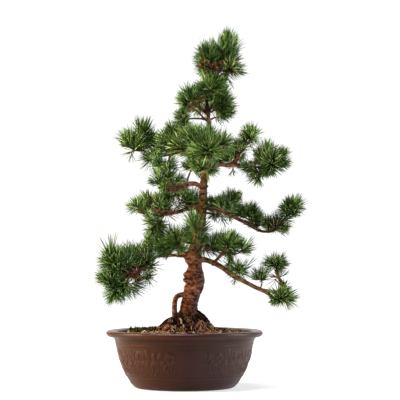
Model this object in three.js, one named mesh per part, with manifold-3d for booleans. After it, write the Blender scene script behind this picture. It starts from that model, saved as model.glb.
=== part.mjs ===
// Scots pine bonsai in a round stoneware pot. Millimetres, +Z up.
// The origin is the centre of the pot's underside, where the pot stands on a table. -Y is the front.
// The plant grew as one piece, so trunk, roots and branches are one solid. Each cluster of needle shoots is one closed soft solid around its twigs.
import * as THREE from "three";
import { ConvexGeometry } from "three/addons/geometries/ConvexGeometry.js";
import { mergeVertices } from "three/addons/utils/BufferGeometryUtils.js";
import Module from "manifold-3d";

const wasm = await Module();
wasm.setup();

// ---- driving dimensions, mm ----
const POT_HEIGHT = 99.5;
const RIM_RADIUS = 136.5; // outside of the rolled lip
const LIP_HEIGHT = 9; // the lip's roll, from its underside to its top
const MOUTH_RADIUS = 118; // inside of the lip
const BASE_RADIUS = 78; // the flat that the pot stands on
const FLOOR_THICKNESS = 7;
const POT_SEGMENTS = 40;
const DRAIN_HOLE_RADIUS = 7;
const DRAIN_HOLE_CIRCLE = 42; // radius of the circle of drain holes
const DRAIN_HOLE_ANGLES = [90, 210, 330]; // degrees
const DRAIN_GROOVE_DEPTH = 2;
const DRAIN_GROOVE_WIDTH = 8;
const SCREEN_RADIUS = 13;
const SCREEN_THICKNESS = 1.2;
const SOIL_EDGE_Z = 90.5; // soil level against the pot's wall
const MOUND_X = 4; // the mound that the trunk stands on
const MOUND_TOP_Z = 122;
const GAP = 0.3; // between neighbouring solids
const MOSS = { x: -72, y: 4, z: 97.5, rx: 27, ry: 43, rz: 8.5 };

// Each limb runs from inside its parent to its tip, through points [x, y, z, radius].
const LIMBS = [
  // trunk
  [[6.9, 2, 71.9, 7.9], [7.4, 2, 99.8, 15.8], [7.8, 0, 120.8, 14.3], [7.3, 0, 134.8, 15.2], [9.2, 0, 148.7, 14], [17.9, -3, 178.4, 15.7], [17.8, -4, 187.2, 16.9], [17.8, -5, 213.3, 12.1], [15.1, -5, 227.3, 15.2], [21.1, -3, 248.2, 10], [23.9, -2, 262.2, 9.4], [31.6, 2, 316.6, 9.6], [32.4, 3, 337.6, 7], [42.8, -1, 449.8, 4.4], [39.6, -3, 486.5, 3.7], [39.1, -2, 504.2, 2.7], [49.1, 0, 544.9, 2.1], [55.1, 0, 552, 2.1]],
  // limb low right
  [[16.5, -5, 224.5, 5.2], [36.6, -14, 222.2, 4.7], [53, -20, 216.2, 4.5], [87.5, -31, 193.8, 4.9], [138.7, -44, 167.7, 3.1], [155.7, -48, 155.6, 1.9], [164.2, -50, 154.6, 1.5]],
  // limb low right end
  [[135.3, -43, 170.6, 2.2], [157.5, -47, 168.3, 2], [167.8, -47, 171.7, 2.1], [169.5, -47, 177.5, 2.1], [162, -44, 193.9, 2.3], [157.9, -40, 221.1, 1.6]],
  // limb low right dry
  [[169.2, -46.9, 178.1, 1.3], [167.8, -47, 177.5, 1.3], [155.9, -44, 189.1, 0.9]],
  // limb low right up
  [[51.3, -19, 216.9, 2.1], [70.6, -28, 237, 1.9], [74, -33, 250.4, 1.3]],
  // limb low right up b
  [[65.1, -25, 232.1, 1.5], [42.6, -17, 241.2, 1]],
  // limb low right up c
  [[67.7, -26, 233.2, 1.3], [87.5, -31, 231.7, 1], [96.1, -32, 235.1, 1]],
  // limb low right spur
  [[130.2, -42, 172.3, 1.6], [133.3, -43, 181.6, 1.3], [131.2, -43, 191.9, 1.1]],
  // limb low right star
  [[89.2, -32, 191.8, 1.9], [90.6, -46, 205.6, 1.2]],
  // limb mid right
  [[30.5, 2, 316.6, 4.6], [49.9, 14, 313.8, 4], [76.5, 25, 303.5, 3.5], [130, 39, 275.1, 2.5], [140.6, 40, 272.3, 2.2], [152.2, 40, 272.3, 2], [162.7, 38, 276.9, 2], [184.5, 30, 305.4, 1.9]],
  // limb mid right b
  [[78.2, 25, 304.9, 1.8], [97.8, 31, 300.5, 1.6], [131.9, 43, 284.1, 1.3], [137.3, 46, 285.2, 1.2]],
  // limb mid right c
  [[81.1, 26, 304.3, 1.4], [82.9, 12, 319.3, 1.1]],
  // limb mid right front
  [[44.6, 11, 314.7, 2.3], [60.1, -16, 306.9, 1.7], [65.2, -24, 307.7, 1.5]],
  // limb mid right low
  [[32.3, 0, 303.9, 2], [53.4, 12, 302.1, 1.5], [64, 16, 298.7, 1.2]],
  // limb mid right w
  [[161.1, 38.3, 276.2, 1.3], [161.9, 38, 274.2, 1.3], [171.8, 24, 280.7, 1.1]],
  // limb upper right
  [[36.6, 0, 383.8, 3.9], [56.7, -11, 387.4, 3.3], [75.8, -17, 386.8, 4.1], [83.7, -20, 389.6, 4.3], [90.6, -22, 396.8, 4.3], [94.4, -23, 406.2, 3.5]],
  // limb upper right b
  [[82.7, -20, 387.2, 3.1], [118.9, -29, 383.2, 2.2], [144.7, -33, 384.7, 1.6]],
  // limb upper right c
  [[94.1, -23, 404.4, 2.3], [113.8, -28, 430.2, 1.2]],
  // limb upper right d
  [[137.8, -31.9, 384.3, 1.5], [137.8, -32, 383.4, 1.5], [163.5, -38, 393.4, 1.1]],
  // limb upper right e
  [[127.4, -30.3, 383.7, 1.5], [127.5, -30, 382.4, 1.5], [132.9, -26, 372.9, 1.3], [131.3, -22, 364.4, 1.1]],
  // limb front
  [[36.8, 0, 380.5, 4.2], [35.6, -50, 391.2, 3.1], [37.2, -94, 406.8, 2]],
  // limb front left
  [[35.8, -40, 389, 2.1], [30.4, -58, 398.1, 1.7], [24.4, -70, 407.5, 1.4], [17.6, -76, 412.4, 1.2]],
  // limb front right
  [[35.9, -58, 394.4, 2.1], [42.4, -72, 402.8, 1.7], [55, -86, 413.4, 1.2]],
  // limb front low
  [[36.2, -16, 382.7, 2.3], [39, -56, 377.3, 1.5]],
  // limb left
  [[33.1, 2, 347.1, 4.4], [14.8, -8, 355.7, 3.8], [-23.3, -24, 345.2, 4.7], [-43.1, -33, 351.8, 1.5]],
  // limb left up
  [[3.6, -12, 354.5, 1.8], [12.6, 6, 381, 1.3]],
  // limb left front
  [[-20.7, -24, 345.9, 2.3], [-25.7, -38, 359.3, 1.4]],
  // limb left long
  [[37.5, 0, 408.5, 3.5], [18.2, 9, 414.8, 2.8], [-43.8, 25, 406, 2.2], [-75.9, 33, 416.1, 1.7], [-86.7, 35, 416.6, 1.6], [-94.6, 37, 420.7, 1.3], [-99.2, 38, 427.6, 1.1]],
  // limb left long down
  [[-25.1, 20, 407.9, 1.4], [-33.9, 13, 382.3, 1.1]],
  // limb left long up
  [[-26.9, 20, 407.9, 1.4], [-26.6, -18, 431.5, 1.2]],
  // limb left long up b
  [[-72.3, 32, 415.2, 1.3], [-73.9, 35, 438.2, 1.1]],
  // limb left long up c
  [[-49.1, 27, 406.9, 1.3], [-66.6, 50, 432.1, 1]],
  // limb shoulder
  [[41, -2, 466.2, 2.8], [30.5, -7, 468.9, 1.7], [4, -17, 466.1, 1.7], [-20.9, -30, 440.4, 1]],
  // limb shoulder up
  [[40, -3, 477, 2.6], [12, -18, 496.3, 1.4]],
  // limb shoulder low
  [[40, -3, 466.1, 2.3], [23.5, -12, 480.7, 1.5], [9.6, -20, 488.7, 1.1]],
  // limb shoulder up b
  [[27.7, -9, 485.9, 1.9], [22.4, 0, 506.2, 1.2]],
  // limb shoulder up c
  [[16.5, -16, 485.1, 1.3], [6.1, -22, 490.3, 1]],
  // limb top right
  [[42.1, -2, 465.9, 2.3], [68.3, 13, 478.8, 1.1]],
  // limb top right b
  [[42.1, -3, 479.5, 2.1], [62.9, 11, 491.4, 1.1]],
  // limb top right c
  [[40.7, -3, 479.5, 2.6], [53.4, 10, 511.4, 1.2]],
  // limb crown front
  [[41, -1, 513.1, 1.7], [43.8, -15, 521.4, 1.3]],
  // limb crown left
  [[43.5, 0, 527.3, 1.6], [32.2, -11, 523.3, 1.1]],
  // limb crown right
  [[44.6, 0, 530.8, 1.6], [59.5, -13, 524.1, 1.1]],
  // limb apex left
  [[55.1, 0, 552, 1.9], [40.3, -10, 570.1, 1.1]],
  // limb apex left b
  [[53.3, -1, 553.3, 1.5], [36.5, -10, 566.6, 1.1]],
  // limb apex
  [[54, 0, 551.3, 2.1], [62.1, 1, 555.3, 1.8], [68.5, 3, 563.6, 1.6], [76.3, 6, 583.4, 1.2]],
  // limb apex b
  [[70.1, 4, 567.5, 1.3], [69.1, -7, 578.6, 1]],
  // limb apex right
  [[60.4, 1, 553.8, 1.6], [70.1, -4, 553.2, 1.4], [84, -11, 560.5, 1]],
  // limb apex back
  [[60.4, 1, 553.8, 1.5], [57.1, 22, 577.7, 1.1]],
  // limb left mid
  [[32.3, 2, 315.5, 4.6], [12.2, -7, 313.5, 4.3], [-32.9, -23, 300.5, 2.3], [-57.8, -31, 302, 2], [-86.9, -39, 310.4, 1.1]],
  // limb left mid up
  [[7.8, -9, 312.7, 2.3], [-13.2, -2, 308, 1.7], [-41.5, 9, 307.3, 1.6], [-55.7, 13, 308.8, 1.4], [-65.6, 16, 313.8, 1.1]],
  // limb left mid down
  [[-36.3, -24.1, 300.7, 1.3], [-36.5, -24, 297.1, 1.3], [-44.9, -33, 284.4, 1]],
  // limb left mid dark
  [[20, -3, 314.5, 1.6], [10.1, 13, 317.8, 1.1]],
  // limb left mid front
  [[-43.7, -26.5, 301.1, 1.3], [-44.1, -26, 296.7, 1.3], [-47.2, -40, 308.1, 0.9]],
  // limb low left
  [[16.5, -4, 230.8, 5.4], [-2.6, -12, 228.7, 3.5], [-33.7, -24, 232.8, 2.8], [-45.7, -29, 229.7, 2.8], [-91.6, -45, 193.6, 2.2], [-115.1, -54, 168.1, 1]],
  // limb low left up
  [[-86.5, -44, 197.3, 1.9], [-95.1, -43, 203.9, 1.8], [-98.6, -42, 212.3, 1.6], [-96.9, -42, 217.3, 1.2]],
  // limb low left up b
  [[-72.9, -39, 206.6, 1.6], [-82.6, -30, 218.3, 1]],
  // limb low left tip
  [[-95.6, -47, 189, 1.6], [-124.5, -54, 220.7, 0.9]],
  // limb low left out
  [[-97.7, -47, 186.6, 1.5], [-125.2, -58, 185.8, 0.9]],
  // limb low left star
  [[-68.5, -38, 211.1, 1.3], [-63.9, -42, 204.9, 1.2], [-63.9, -50, 189.2, 0.9]],
  // limb low left in
  [[-62, -34.7, 216.9, 1.3], [-61, -36, 216.2, 1.3], [-58.1, -39, 209.7, 0.9]],
  // limb low left v
  [[-97.7, -47, 186.6, 1.3], [-89.5, -38, 176.1, 0.9]],
  // limb low left rise
  [[-9.5, -15, 229, 1.9], [-10.3, -34, 248, 1.6], [-11.8, -48, 271.9, 1.1]],
  // limb low left rise b
  [[-35.4, -24, 232.5, 1.6], [-59.9, 4, 242.7, 1]],
  // limb low left long
  [[-23.3, -20, 231.8, 1.6], [-24.9, -30, 237.6, 1.4], [-29.9, -38, 240.7, 1.1]],
  // limb front low b
  [[17.6, -6, 234.1, 3.1], [18.7, -42, 245.8, 2.1], [16, -56, 256.7, 1.5]],
  // limb front low c
  [[19, -22, 239.2, 1.7], [25.3, -36, 244.8, 1.5], [26.3, -46, 254.1, 1.2]],
  // limb low left small
  [[5, -9, 230, 1.3], [0, -24, 235.2, 0.9]],
  // snag left
  [[12.2, -5, 224.6, 6.1], [-1.6, -8, 229.4, 3]],
  // snag knot
  [[11.3, -8, 186.5, 4], [-2, -13, 188.7, 1.5]],
  // limb back high
  [[42.1, 0, 467.4, 2.3], [39.4, 22, 480, 1.9], [32.3, 42, 496.2, 1.7], [21.6, 56, 506.5, 1.3]],
  // limb back high b
  [[38.3, 26, 484, 1.5], [48.4, 44, 500, 1.3], [61.1, 58, 503.1, 1.1]],
  // limb back mid
  [[38.9, 2, 410.5, 3.5], [36, 58, 424.5, 2.5], [28.1, 104, 437.9, 1.4]],
  // limb back mid b
  [[36.3, 55, 423.4, 1.8], [57, 98, 425.4, 1.2]],
  // limb back mid c
  [[37.7, 36, 417.4, 1.7], [25.2, 54, 414.8, 1.4], [10.8, 70, 415.5, 1.1]],
  // limb back right
  [[37.2, 2, 389.7, 3], [55.3, 28, 390.8, 2.6], [84.1, 50, 392.9, 2.2], [113.2, 66, 394.3, 1.9], [150.1, 88, 400.7, 1.1]],
  // limb back right b
  [[116.8, 68, 394.8, 1.4], [145.4, 62, 411.9, 1]],
  // limb back left
  [[33.3, 3, 354.3, 2.6], [4.9, 42, 355.1, 2], [-12.3, 56, 352.8, 1.6], [-25.1, 68, 359.1, 1.2]],
  // limb back low right
  [[31.9, 4, 318.2, 2.8], [41.2, 30, 312.7, 2.4], [53.8, 54, 309.1, 2], [72.9, 90, 314.9, 1.1]],
  // limb back low right b
  [[50.2, 48, 309.7, 1.5], [66.3, 58, 305.7, 1.3], [86.2, 68, 309.6, 1.1]],
  // limb back low left
  [[28.4, 2, 296.4, 2.8], [15.2, 52, 275.2, 2], [9.7, 86, 260, 1.1]],
  // limb back low left b
  [[18.1, 40, 280.7, 1.5], [25.2, 58, 276.4, 1.3], [27, 72, 269.4, 1.1]],
  // limb back base left
  [[15.8, 0, 237.6, 3.5], [0.5, 26, 233.2, 2.9], [-19.3, 48, 230.1, 2.5], [-41.1, 66, 228.4, 2.1], [-77.8, 90, 224.5, 1.2]],
  // limb back base left b
  [[-26.5, 54, 229.4, 1.6], [-41.7, 90, 241.4, 1.1]],
  // limb back base left c
  [[-66.7, 83, 225.6, 1.4], [-98.5, 68, 221.4, 1]],
  // limb back base right
  [[21.8, 0, 248.5, 2.6], [37.6, 24, 241.8, 2.3], [55.5, 46, 239.4, 1.9], [82.7, 74, 244.8, 1.1]],
  // limb back base right b
  [[51.9, 42, 239.8, 1.4], [61.1, 68, 247.2, 1]],
  // limb back midleft
  [[31.9, 3, 314.7, 2.5], [9.3, 30, 311.3, 2.1], [-15.8, 50, 309, 1.9], [-57.6, 76, 313.4, 1.1]],
  // limb back midleft b
  [[-19.4, 52, 309.1, 1.3], [-29.9, 44, 309.2, 1.2], [-35.1, 38, 312.2, 1]],
  // root loop
  [[4.3, -6, 161.4, 4.4], [-10.3, -9, 160.1, 4], [-15, -9, 156.1, 3.9], [-16.8, -10, 126.4, 4.4], [-19.8, -16, 95.5, 3]],
  // root left c
  [[-0.2, -5, 138.4, 5.2], [-20.8, -19, 99.1, 2.6]],
  // root left a
  [[2.6, -6, 129.8, 4.9], [-15.3, -17, 113.5, 3.8], [-30, -28, 96.1, 2.1]],
  // root left b
  [[-1, 4, 124.2, 4.4], [-27.5, 20, 104.9, 2.8], [-38.2, 27, 93.4, 1.9]],
  // root front a
  [[4.4, -10, 128.2, 4.9], [-10.8, -44, 100.3, 2.4]],
  // root front b
  [[13.1, -10, 128.2, 4.7], [16.6, -23, 118.3, 4.2], [30.4, -46, 99.4, 2.2]],
  // root right a
  [[16.5, -4, 131.4, 4.4], [34, -10, 118.1, 2.8], [50.6, -16, 100.7, 1.7]],
  // root right b
  [[16.5, 4, 125.9, 4.4], [49.2, 28, 95.1, 1.8]],
  // root right c
  [[14.8, -8, 122.9, 4], [49.4, -34, 97.4, 1.7]],
  // root back
  [[9.5, 10, 127.4, 4.6], [11.1, 24, 116.4, 3.9], [23.4, 50, 92.2, 2]],
  // root back b
  [[2.5, 8, 124, 3.9], [-13.7, 34, 100.1, 2.1]],
];

// Needle clusters. Each lobe is [x, y, z of its middle, direction of its shoot, half length, half width].
const NEEDLES = {
  needles_apex: [[75.4, 1, 600.8, 0.07, -0.07, 1.00, 27.6, 21.8], [56.3, 28.9, 596, 0.00, 0.37, 0.93, 18.1, 22.9], [79.2, -4.8, 562.6, 0.69, 0.08, 0.72, 14.3, 15.3], [59.5, -5.7, 571.3, -0.15, 0.02, 0.99, 12.6, 11.8]],
  needles_apex_right: [[85.8, -19.2, 564.9, 0.52, -0.60, 0.61, 13.4, 19], [90.1, 0.2, 577.6, 0.77, 0.02, 0.64, 11.4, 15.1], [99.7, 2.5, 553.5, 0.98, -0.21, -0.05, 9.8, 13.2]],
  needles_apex_left: [[36.7, -11.7, 586.2, -0.33, -0.09, 0.94, 18.4, 20.6], [46.9, -6.7, 583.2, -0.13, -0.14, 0.98, 19.4, 24.6], [25.1, -12.4, 569.8, -0.92, -0.19, 0.34, 12.4, 14.4], [29.5, -10.4, 552.3, -0.62, -0.24, -0.75, 9.8, 12.8]],
  needles_crown_front: [[52.9, -19.2, 533.9, 0.42, -0.24, 0.87, 17.3, 20.8], [47.9, 14, 551.8, 0.04, 0.62, 0.78, 21.9, 22.1], [27.1, -16.1, 524.7, -0.72, -0.49, 0.49, 10.2, 12.6], [68.8, -17.1, 536.4, 0.76, -0.34, 0.56, 11.8, 12]],
  needles_shoulder_up: [[9.3, -24.9, 513.8, -0.18, -0.37, 0.91, 18, 19.7], [34.1, -2.6, 522.6, 0.46, -0.14, 0.87, 18.7, 19.2], [-1.7, -21.9, 503.2, -0.74, -0.28, 0.61, 13.3, 17.1], [-4.4, -23, 488.9, -0.99, -0.08, -0.13, 11.3, 15]],
  needles_top_right: [[74.6, 1.9, 494.2, 0.78, -0.61, 0.15, 14.7, 18.2], [55.3, 4.9, 521.8, 0.29, -0.15, 0.95, 19.6, 22.4], [75.1, 11, 480.3, 0.99, -0.06, -0.13, 15.1, 16.1], [67.7, 5.6, 518.1, 0.39, -0.27, 0.88, 15.8, 17]],
  needles_shoulder: [[-6.8, -28.8, 463.1, -0.67, -0.65, 0.35, 13.2, 16.2], [-5, -20.5, 476.2, -0.49, -0.20, 0.85, 12.2, 13], [7.8, -8.9, 460.6, 0.87, 0.44, 0.24, 5.8, 7.1]],
  needles_inner_left_high: [[-31.4, -32.2, 434.2, -0.18, -0.82, 0.54, 17, 19.6], [-29.7, -25.1, 423.8, -0.20, -0.61, 0.77, 17.7, 24.8], [-8.9, -25.5, 445.7, 0.72, -0.61, 0.34, 15.3, 20.6], [-24.3, -34.2, 451, -0.46, -0.35, 0.82, 11.9, 13.8]],
  needles_far_left_high: [[-83, 32.7, 434.7, 0.42, -0.11, 0.90, 19.7, 22], [-74.1, 32.3, 458.4, 0.04, -0.15, 0.99, 17, 21.7], [-101.8, 38.1, 442.1, -0.37, 0.01, 0.93, 16.8, 19.6], [-106, 33.7, 427.5, -0.87, -0.28, 0.41, 11.7, 15.1]],
  needles_left_dark: [[-49.3, 42, 434.7, 0.76, 0.00, 0.65, 14.3, 17.5], [-69.3, 45.2, 441.9, 0.02, 0.06, 1.00, 20.1, 24.5], [-61, 53.4, 443.9, 0.10, 0.24, 0.97, 14.1, 16.3]],
  needles_left_low: [[-47.2, 10.2, 394.5, -0.65, -0.14, 0.74, 19, 15.3], [-21.1, 9.8, 393, 0.73, -0.21, 0.65, 12.6, 15.7], [-47.4, 25.5, 416.6, 0.48, -0.04, 0.88, 11.8, 13.8], [-66.9, 21.4, 407.8, -0.64, -0.22, 0.73, 11.3, 12.9]],
  needles_left_front: [[-27.8, -43.4, 378.5, -0.07, -0.32, 0.94, 16.5, 15.3], [-39, -27.9, 351.8, -0.81, 0.01, 0.58, 8.5, 10.2], [-46.6, -35.1, 367.8, -0.37, -0.13, 0.92, 16.3, 17.3], [-5.5, -34, 362, 0.85, -0.00, 0.53, 9.5, 11.1]],
  needles_inner_dark: [[13.1, 7.2, 397.2, -0.20, 0.08, 0.98, 15.3, 14.5], [3.6, 5, 387.1, -0.89, -0.08, 0.44, 11.7, 13.9]],
  needles_front_big: [[40.3, -112.1, 414.9, 0.01, -0.88, 0.47, 20.1, 28.9], [68.1, -94.2, 424.2, 0.69, -0.43, 0.58, 18.6, 20], [41.4, -81.9, 438, 0.10, -0.11, 0.99, 18, 20.5], [32.9, -94.3, 395.8, -0.28, -0.20, -0.94, 11.4, 15.1]],
  needles_front_left: [[9.1, -81.3, 434.4, -0.41, -0.24, 0.88, 21.3, 22.1], [-13.9, -78.2, 417.7, -0.83, -0.37, 0.41, 21.8, 24.1]],
  needles_front_low: [[23.3, -61.2, 393.1, -0.47, -0.32, 0.82, 15.9, 17.7], [52.6, -56.4, 381.4, 0.93, -0.22, 0.31, 10.7, 13], [22.5, -58, 378.2, -0.94, -0.31, 0.16, 12.5, 11], [44.6, -53.7, 371.4, 0.05, -0.24, -0.97, 5.9, 7.7]],
  needles_inner_right: [[60.3, -21, 405.6, -0.43, -0.19, 0.88, 15.3, 19], [73, -26.9, 402.6, -0.50, -0.22, 0.84, 13, 14.5], [91.5, -20.5, 422, 0.03, 0.11, 0.99, 13.8, 15.4], [102.6, -31.1, 388.3, -0.53, -0.47, 0.71, 10.6, 14.3]],
  needles_right_star: [[114.1, -28.6, 445.9, 0.00, -0.04, 1.00, 14.2, 16.4], [102.3, -24.3, 435.1, -0.58, 0.22, 0.79, 11.9, 13.4]],
  needles_right_big: [[151.5, -53.5, 395.6, 0.05, -0.82, 0.56, 20.7, 22], [145.4, -30.4, 372, 0.14, -0.05, -0.99, 9.6, 13.6], [131.8, -33.4, 404.6, -0.17, -0.19, 0.97, 17.2, 13.6], [169.3, -44.6, 406.1, 0.26, -0.47, 0.84, 13.8, 14.4]],
  needles_right_big_low: [[115.2, -29.6, 372.9, -0.89, -0.13, -0.44, 12.4, 15.7], [124.8, -23.1, 356.7, -0.35, -0.10, -0.93, 8.8, 12.6], [134.5, -20.4, 368.3, 0.38, 0.21, -0.90, 6.6, 8.5]],
  needles_right_mid_front: [[61.9, -23.7, 322.4, -0.25, 0.02, 0.97, 13.8, 15.9], [75.6, -25.9, 316.6, 0.58, -0.39, 0.71, 9.8, 11.7], [48.7, -8, 323.6, -0.45, -0.15, 0.88, 13.1, 13.2], [56.7, 10.2, 297.3, 0.14, 0.03, -0.99, 7, 9.3]],
  needles_right_mid_up: [[83.6, 7.9, 334.1, 0.18, -0.29, 0.94, 13.9, 17], [92.9, 9.9, 332.6, 0.66, -0.17, 0.74, 12, 13.2]],
  needles_right_mid_b: [[117.5, 23.7, 311.5, 0.18, -0.42, 0.89, 14.8, 17.4], [100.8, 26.7, 308.1, -0.62, -0.26, 0.74, 12.4, 16.8], [132.3, 35.7, 302.9, 0.70, -0.03, 0.71, 8.4, 10.1]],
  needles_right_mid_c: [[165.9, 43, 291.4, 0.37, 0.18, 0.91, 16.2, 19.2], [124.4, 42.4, 296.3, -0.23, -0.21, 0.95, 16.7, 19.5], [148, 42.4, 288.4, -0.08, -0.10, 0.99, 15.2, 16.2]],
  needles_right_tip: [[189.2, 23.5, 321.4, 0.01, -0.38, 0.93, 16.7, 18.6], [201.2, 28.8, 322.7, 0.76, -0.01, 0.65, 13.6, 15.1], [173.6, 29.6, 313.7, -0.65, -0.03, 0.76, 12.3, 13.7], [178.6, 23.6, 278.2, 0.99, -0.04, -0.13, 10.2, 12.5]],
  needles_left_mid: [[-76.1, -10.7, 318.1, -0.35, 0.17, 0.92, 18.6, 16.5], [-65.6, 14.5, 329.3, -0.14, 0.03, 0.99, 16.1, 17.6], [-86.8, -33.4, 319.4, -0.69, 0.35, 0.63, 12.6, 15.5]],
  needles_left_mid_in: [[-32.8, -25.3, 328.4, 0.17, -0.29, 0.94, 17.8, 14.4], [-44.1, -43.4, 325, -0.09, -0.22, 0.97, 15, 15], [0.8, -13.7, 326.4, 0.75, -0.07, 0.66, 23.4, 17.3]],
  needles_inner_mid_dark: [[7.6, 13.6, 336.9, -0.16, 0.03, 0.99, 19.2, 25.8]],
  needles_left_down: [[-47.2, -27.9, 274.9, -0.09, 0.37, -0.92, 13.6, 15.6], [-58.6, -38.1, 293.1, -0.68, -0.37, 0.63, 13.6, 16.5], [-58.6, -41.5, 269.5, -0.53, -0.71, -0.47, 11.7, 12.9], [-42.2, -30.8, 292.5, 0.51, 0.14, 0.85, 7.1, 8.6]],
  needles_left_low_back: [[-45.7, -7.5, 267, 0.10, -0.08, 0.99, 17.7, 21], [-62.2, 4.4, 256.8, -0.15, 0.03, 0.99, 13.6, 12.5]],
  needles_low_left_rise: [[-23.1, -41.5, 255.6, -0.79, -0.37, 0.49, 14.5, 20.5], [-45.1, -35.9, 246.9, -0.98, 0.12, 0.16, 17.1, 18.8], [-22.2, -37.6, 267.8, -0.49, -0.09, 0.86, 17.3, 19.8], [-35.1, -32.6, 237.7, -0.91, -0.41, 0.06, 15.7, 16.6]],
  needles_front_fan: [[14.1, -60.7, 290.3, -0.15, -0.20, 0.97, 22.6, 19.2], [-5.2, -29.3, 243.9, -0.42, -0.50, 0.75, 10.2, 12.7], [28.9, -48.5, 261.2, 0.15, -0.19, 0.97, 13, 15.4], [9.7, -44.7, 258.8, -0.21, -0.21, 0.95, 10.7, 12.2]],
  needles_right_low_dark: [[61.2, -26.5, 249.1, 0.73, -0.45, 0.52, 18.6, 21.9], [37.6, -12.8, 253.7, -0.35, -0.06, 0.94, 12.1, 15], [36.7, -18.1, 231.2, 0.16, -0.01, -0.99, 9.3, 13.4]],
  needles_right_low: [[84.7, -37, 257.6, 0.28, -0.34, 0.90, 14.2, 18.7], [72.5, -47.3, 256.3, -0.07, -0.68, 0.73, 20.5, 20.9], [95, -30.3, 247.3, 0.87, -0.02, 0.50, 17.5, 14], [79, -33.6, 225.1, 0.08, -0.29, -0.95, 15.3, 10.4]],
  needles_right_low_star: [[87.7, -49.5, 212.3, -0.39, -0.42, 0.82, 12.8, 16.3], [104.7, -44.9, 205.7, 0.91, -0.06, 0.40, 11.9, 13.2]],
  needles_right_spur: [[129.8, -51.3, 197.9, -0.14, -0.61, 0.78, 13.3, 18.6], [124.4, -43.3, 195.1, -0.96, -0.03, 0.27, 8.4, 8.4]],
  needles_right_end_up: [[166.2, -44.4, 212.9, 0.93, -0.34, 0.13, 9.7, 13.7], [166.2, -42.2, 223.5, 0.58, -0.19, 0.79, 11.5, 16.5], [145.1, -43.6, 217.7, -0.90, -0.27, 0.35, 13.2, 14.5]],
  needles_right_end: [[163.5, -62.5, 163.1, -0.10, -0.88, 0.47, 13.9, 18.9], [181.7, -59.4, 158.6, 0.81, -0.58, 0.03, 15.8, 19.9], [166.8, -52.8, 150.6, 0.26, -0.27, -0.93, 10, 12.3], [151.9, -52.2, 151.5, -0.87, -0.42, -0.26, 6.2, 7.7]],
  needles_low_left_up: [[-73.3, -22.7, 221.2, 0.37, 0.40, 0.84, 18.1, 21.2], [-63.3, -34.8, 233.8, 0.05, -0.04, 1.00, 19.1, 21.3], [-125.5, -49.3, 213.8, -0.84, -0.37, 0.40, 19.3, 26], [-103.5, -50.4, 226, -0.17, -0.45, 0.88, 18.2, 23.7]],
  needles_low_left_tip: [[-115.5, -49.9, 229.1, -0.07, 0.06, 1.00, 18.5, 21.2], [-127.1, -57.1, 234.6, -0.20, -0.20, 0.96, 14.9, 17.9], [-135.6, -58.6, 223.2, -0.82, -0.31, 0.48, 14.5, 15.9], [-126.7, -58.2, 246.8, -0.10, -0.22, 0.97, 15.9, 20.4]],
  needles_low_left_in: [[-58, -55.1, 194.3, 0.81, -0.57, 0.13, 7.4, 10.3], [-50.4, -40.3, 214.9, 0.93, -0.13, 0.36, 8.6, 11.4]],
  needles_low_left_out: [[-124.9, -60.5, 196.5, -0.09, -0.27, 0.96, 16, 20], [-138.2, -60.9, 192.1, -0.88, -0.19, 0.44, 15.1, 14.3], [-110.5, -50.6, 183.5, 0.10, -0.06, 0.99, 9.4, 11.7]],
  needles_low_left_end: [[-120.4, -63.7, 159, -0.16, -0.67, -0.73, 14.3, 19.8], [-99.2, -61.8, 169, 0.38, -0.65, -0.65, 14.6, 19], [-74.1, -34.8, 189.7, 0.84, 0.18, 0.50, 14.8, 15.1], [-127.2, -58.3, 173.4, -0.92, -0.36, -0.14, 10, 11.7]],
  needles_back_high: [[62.5, 68, 509.6, 0.03, 0.63, 0.78, 15.5, 21.8], [26.6, 54.2, 504.1, -0.39, 0.59, 0.71, 17, 20], [7.2, 68.1, 510.5, -0.57, 0.52, 0.64, 23, 23.7]],
  needles_back_mid: [[24.4, 118, 451.8, -0.18, 0.70, 0.69, 19.6, 21.5], [64.3, 109, 438.1, 0.40, 0.60, 0.69, 18, 18.8], [-0.8, 76.6, 425.2, -0.70, 0.40, 0.59, 16.2, 17.3], [35.3, 85.7, 447.2, 0.17, 0.10, 0.98, 16.2, 18.7]],
  needles_back_right: [[155.5, 97.1, 414, 0.30, 0.50, 0.81, 17.9, 18.7], [135, 89, 408, -0.14, 0.60, 0.79, 14.6, 16], [145.4, 65, 426.4, 0.00, 0.20, 0.98, 14.5, 15.9]],
  needles_back_left: [[-17.2, 64, 360.6, -0.01, 0.36, 0.93, 16.3, 20.8], [-31.2, 74.3, 372.2, -0.39, 0.40, 0.83, 15.3, 15.9]],
  needles_back_low_right: [[74.3, 98.7, 330, 0.08, 0.50, 0.86, 17.1, 17.4], [91.9, 72.2, 321.7, 0.40, 0.30, 0.86, 13.7, 14.6]],
  needles_back_low_left: [[4.7, 97, 273.7, -0.27, 0.60, 0.75, 17.9, 18.7], [29.5, 80.3, 283.5, 0.15, 0.50, 0.85, 16.2, 17.3]],
  needles_back_base_left: [[-85.8, 97, 238.4, -0.46, 0.40, 0.79, 17.1, 17.4], [-40.3, 96.7, 256.6, 0.08, 0.40, 0.91, 16.3, 17.4], [-104.1, 69.7, 236.8, -0.34, 0.10, 0.93, 16.1, 17.3]],
  needles_back_base_right: [[86.6, 80.6, 259.5, 0.24, 0.40, 0.89, 16.2, 17.3], [58.7, 75.8, 260.6, -0.15, 0.50, 0.85, 15.3, 15.9]],
  needles_back_midleft: [[-36.8, 29, 319.4, -0.23, -0.50, 0.84, 17.7, 23.7], [-62.8, 82.6, 327.7, -0.31, 0.40, 0.86, 16.2, 17.3]],
};

// ---- helpers ----
const V = (x, y, z) => new THREE.Vector3(x, y, z);

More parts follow.
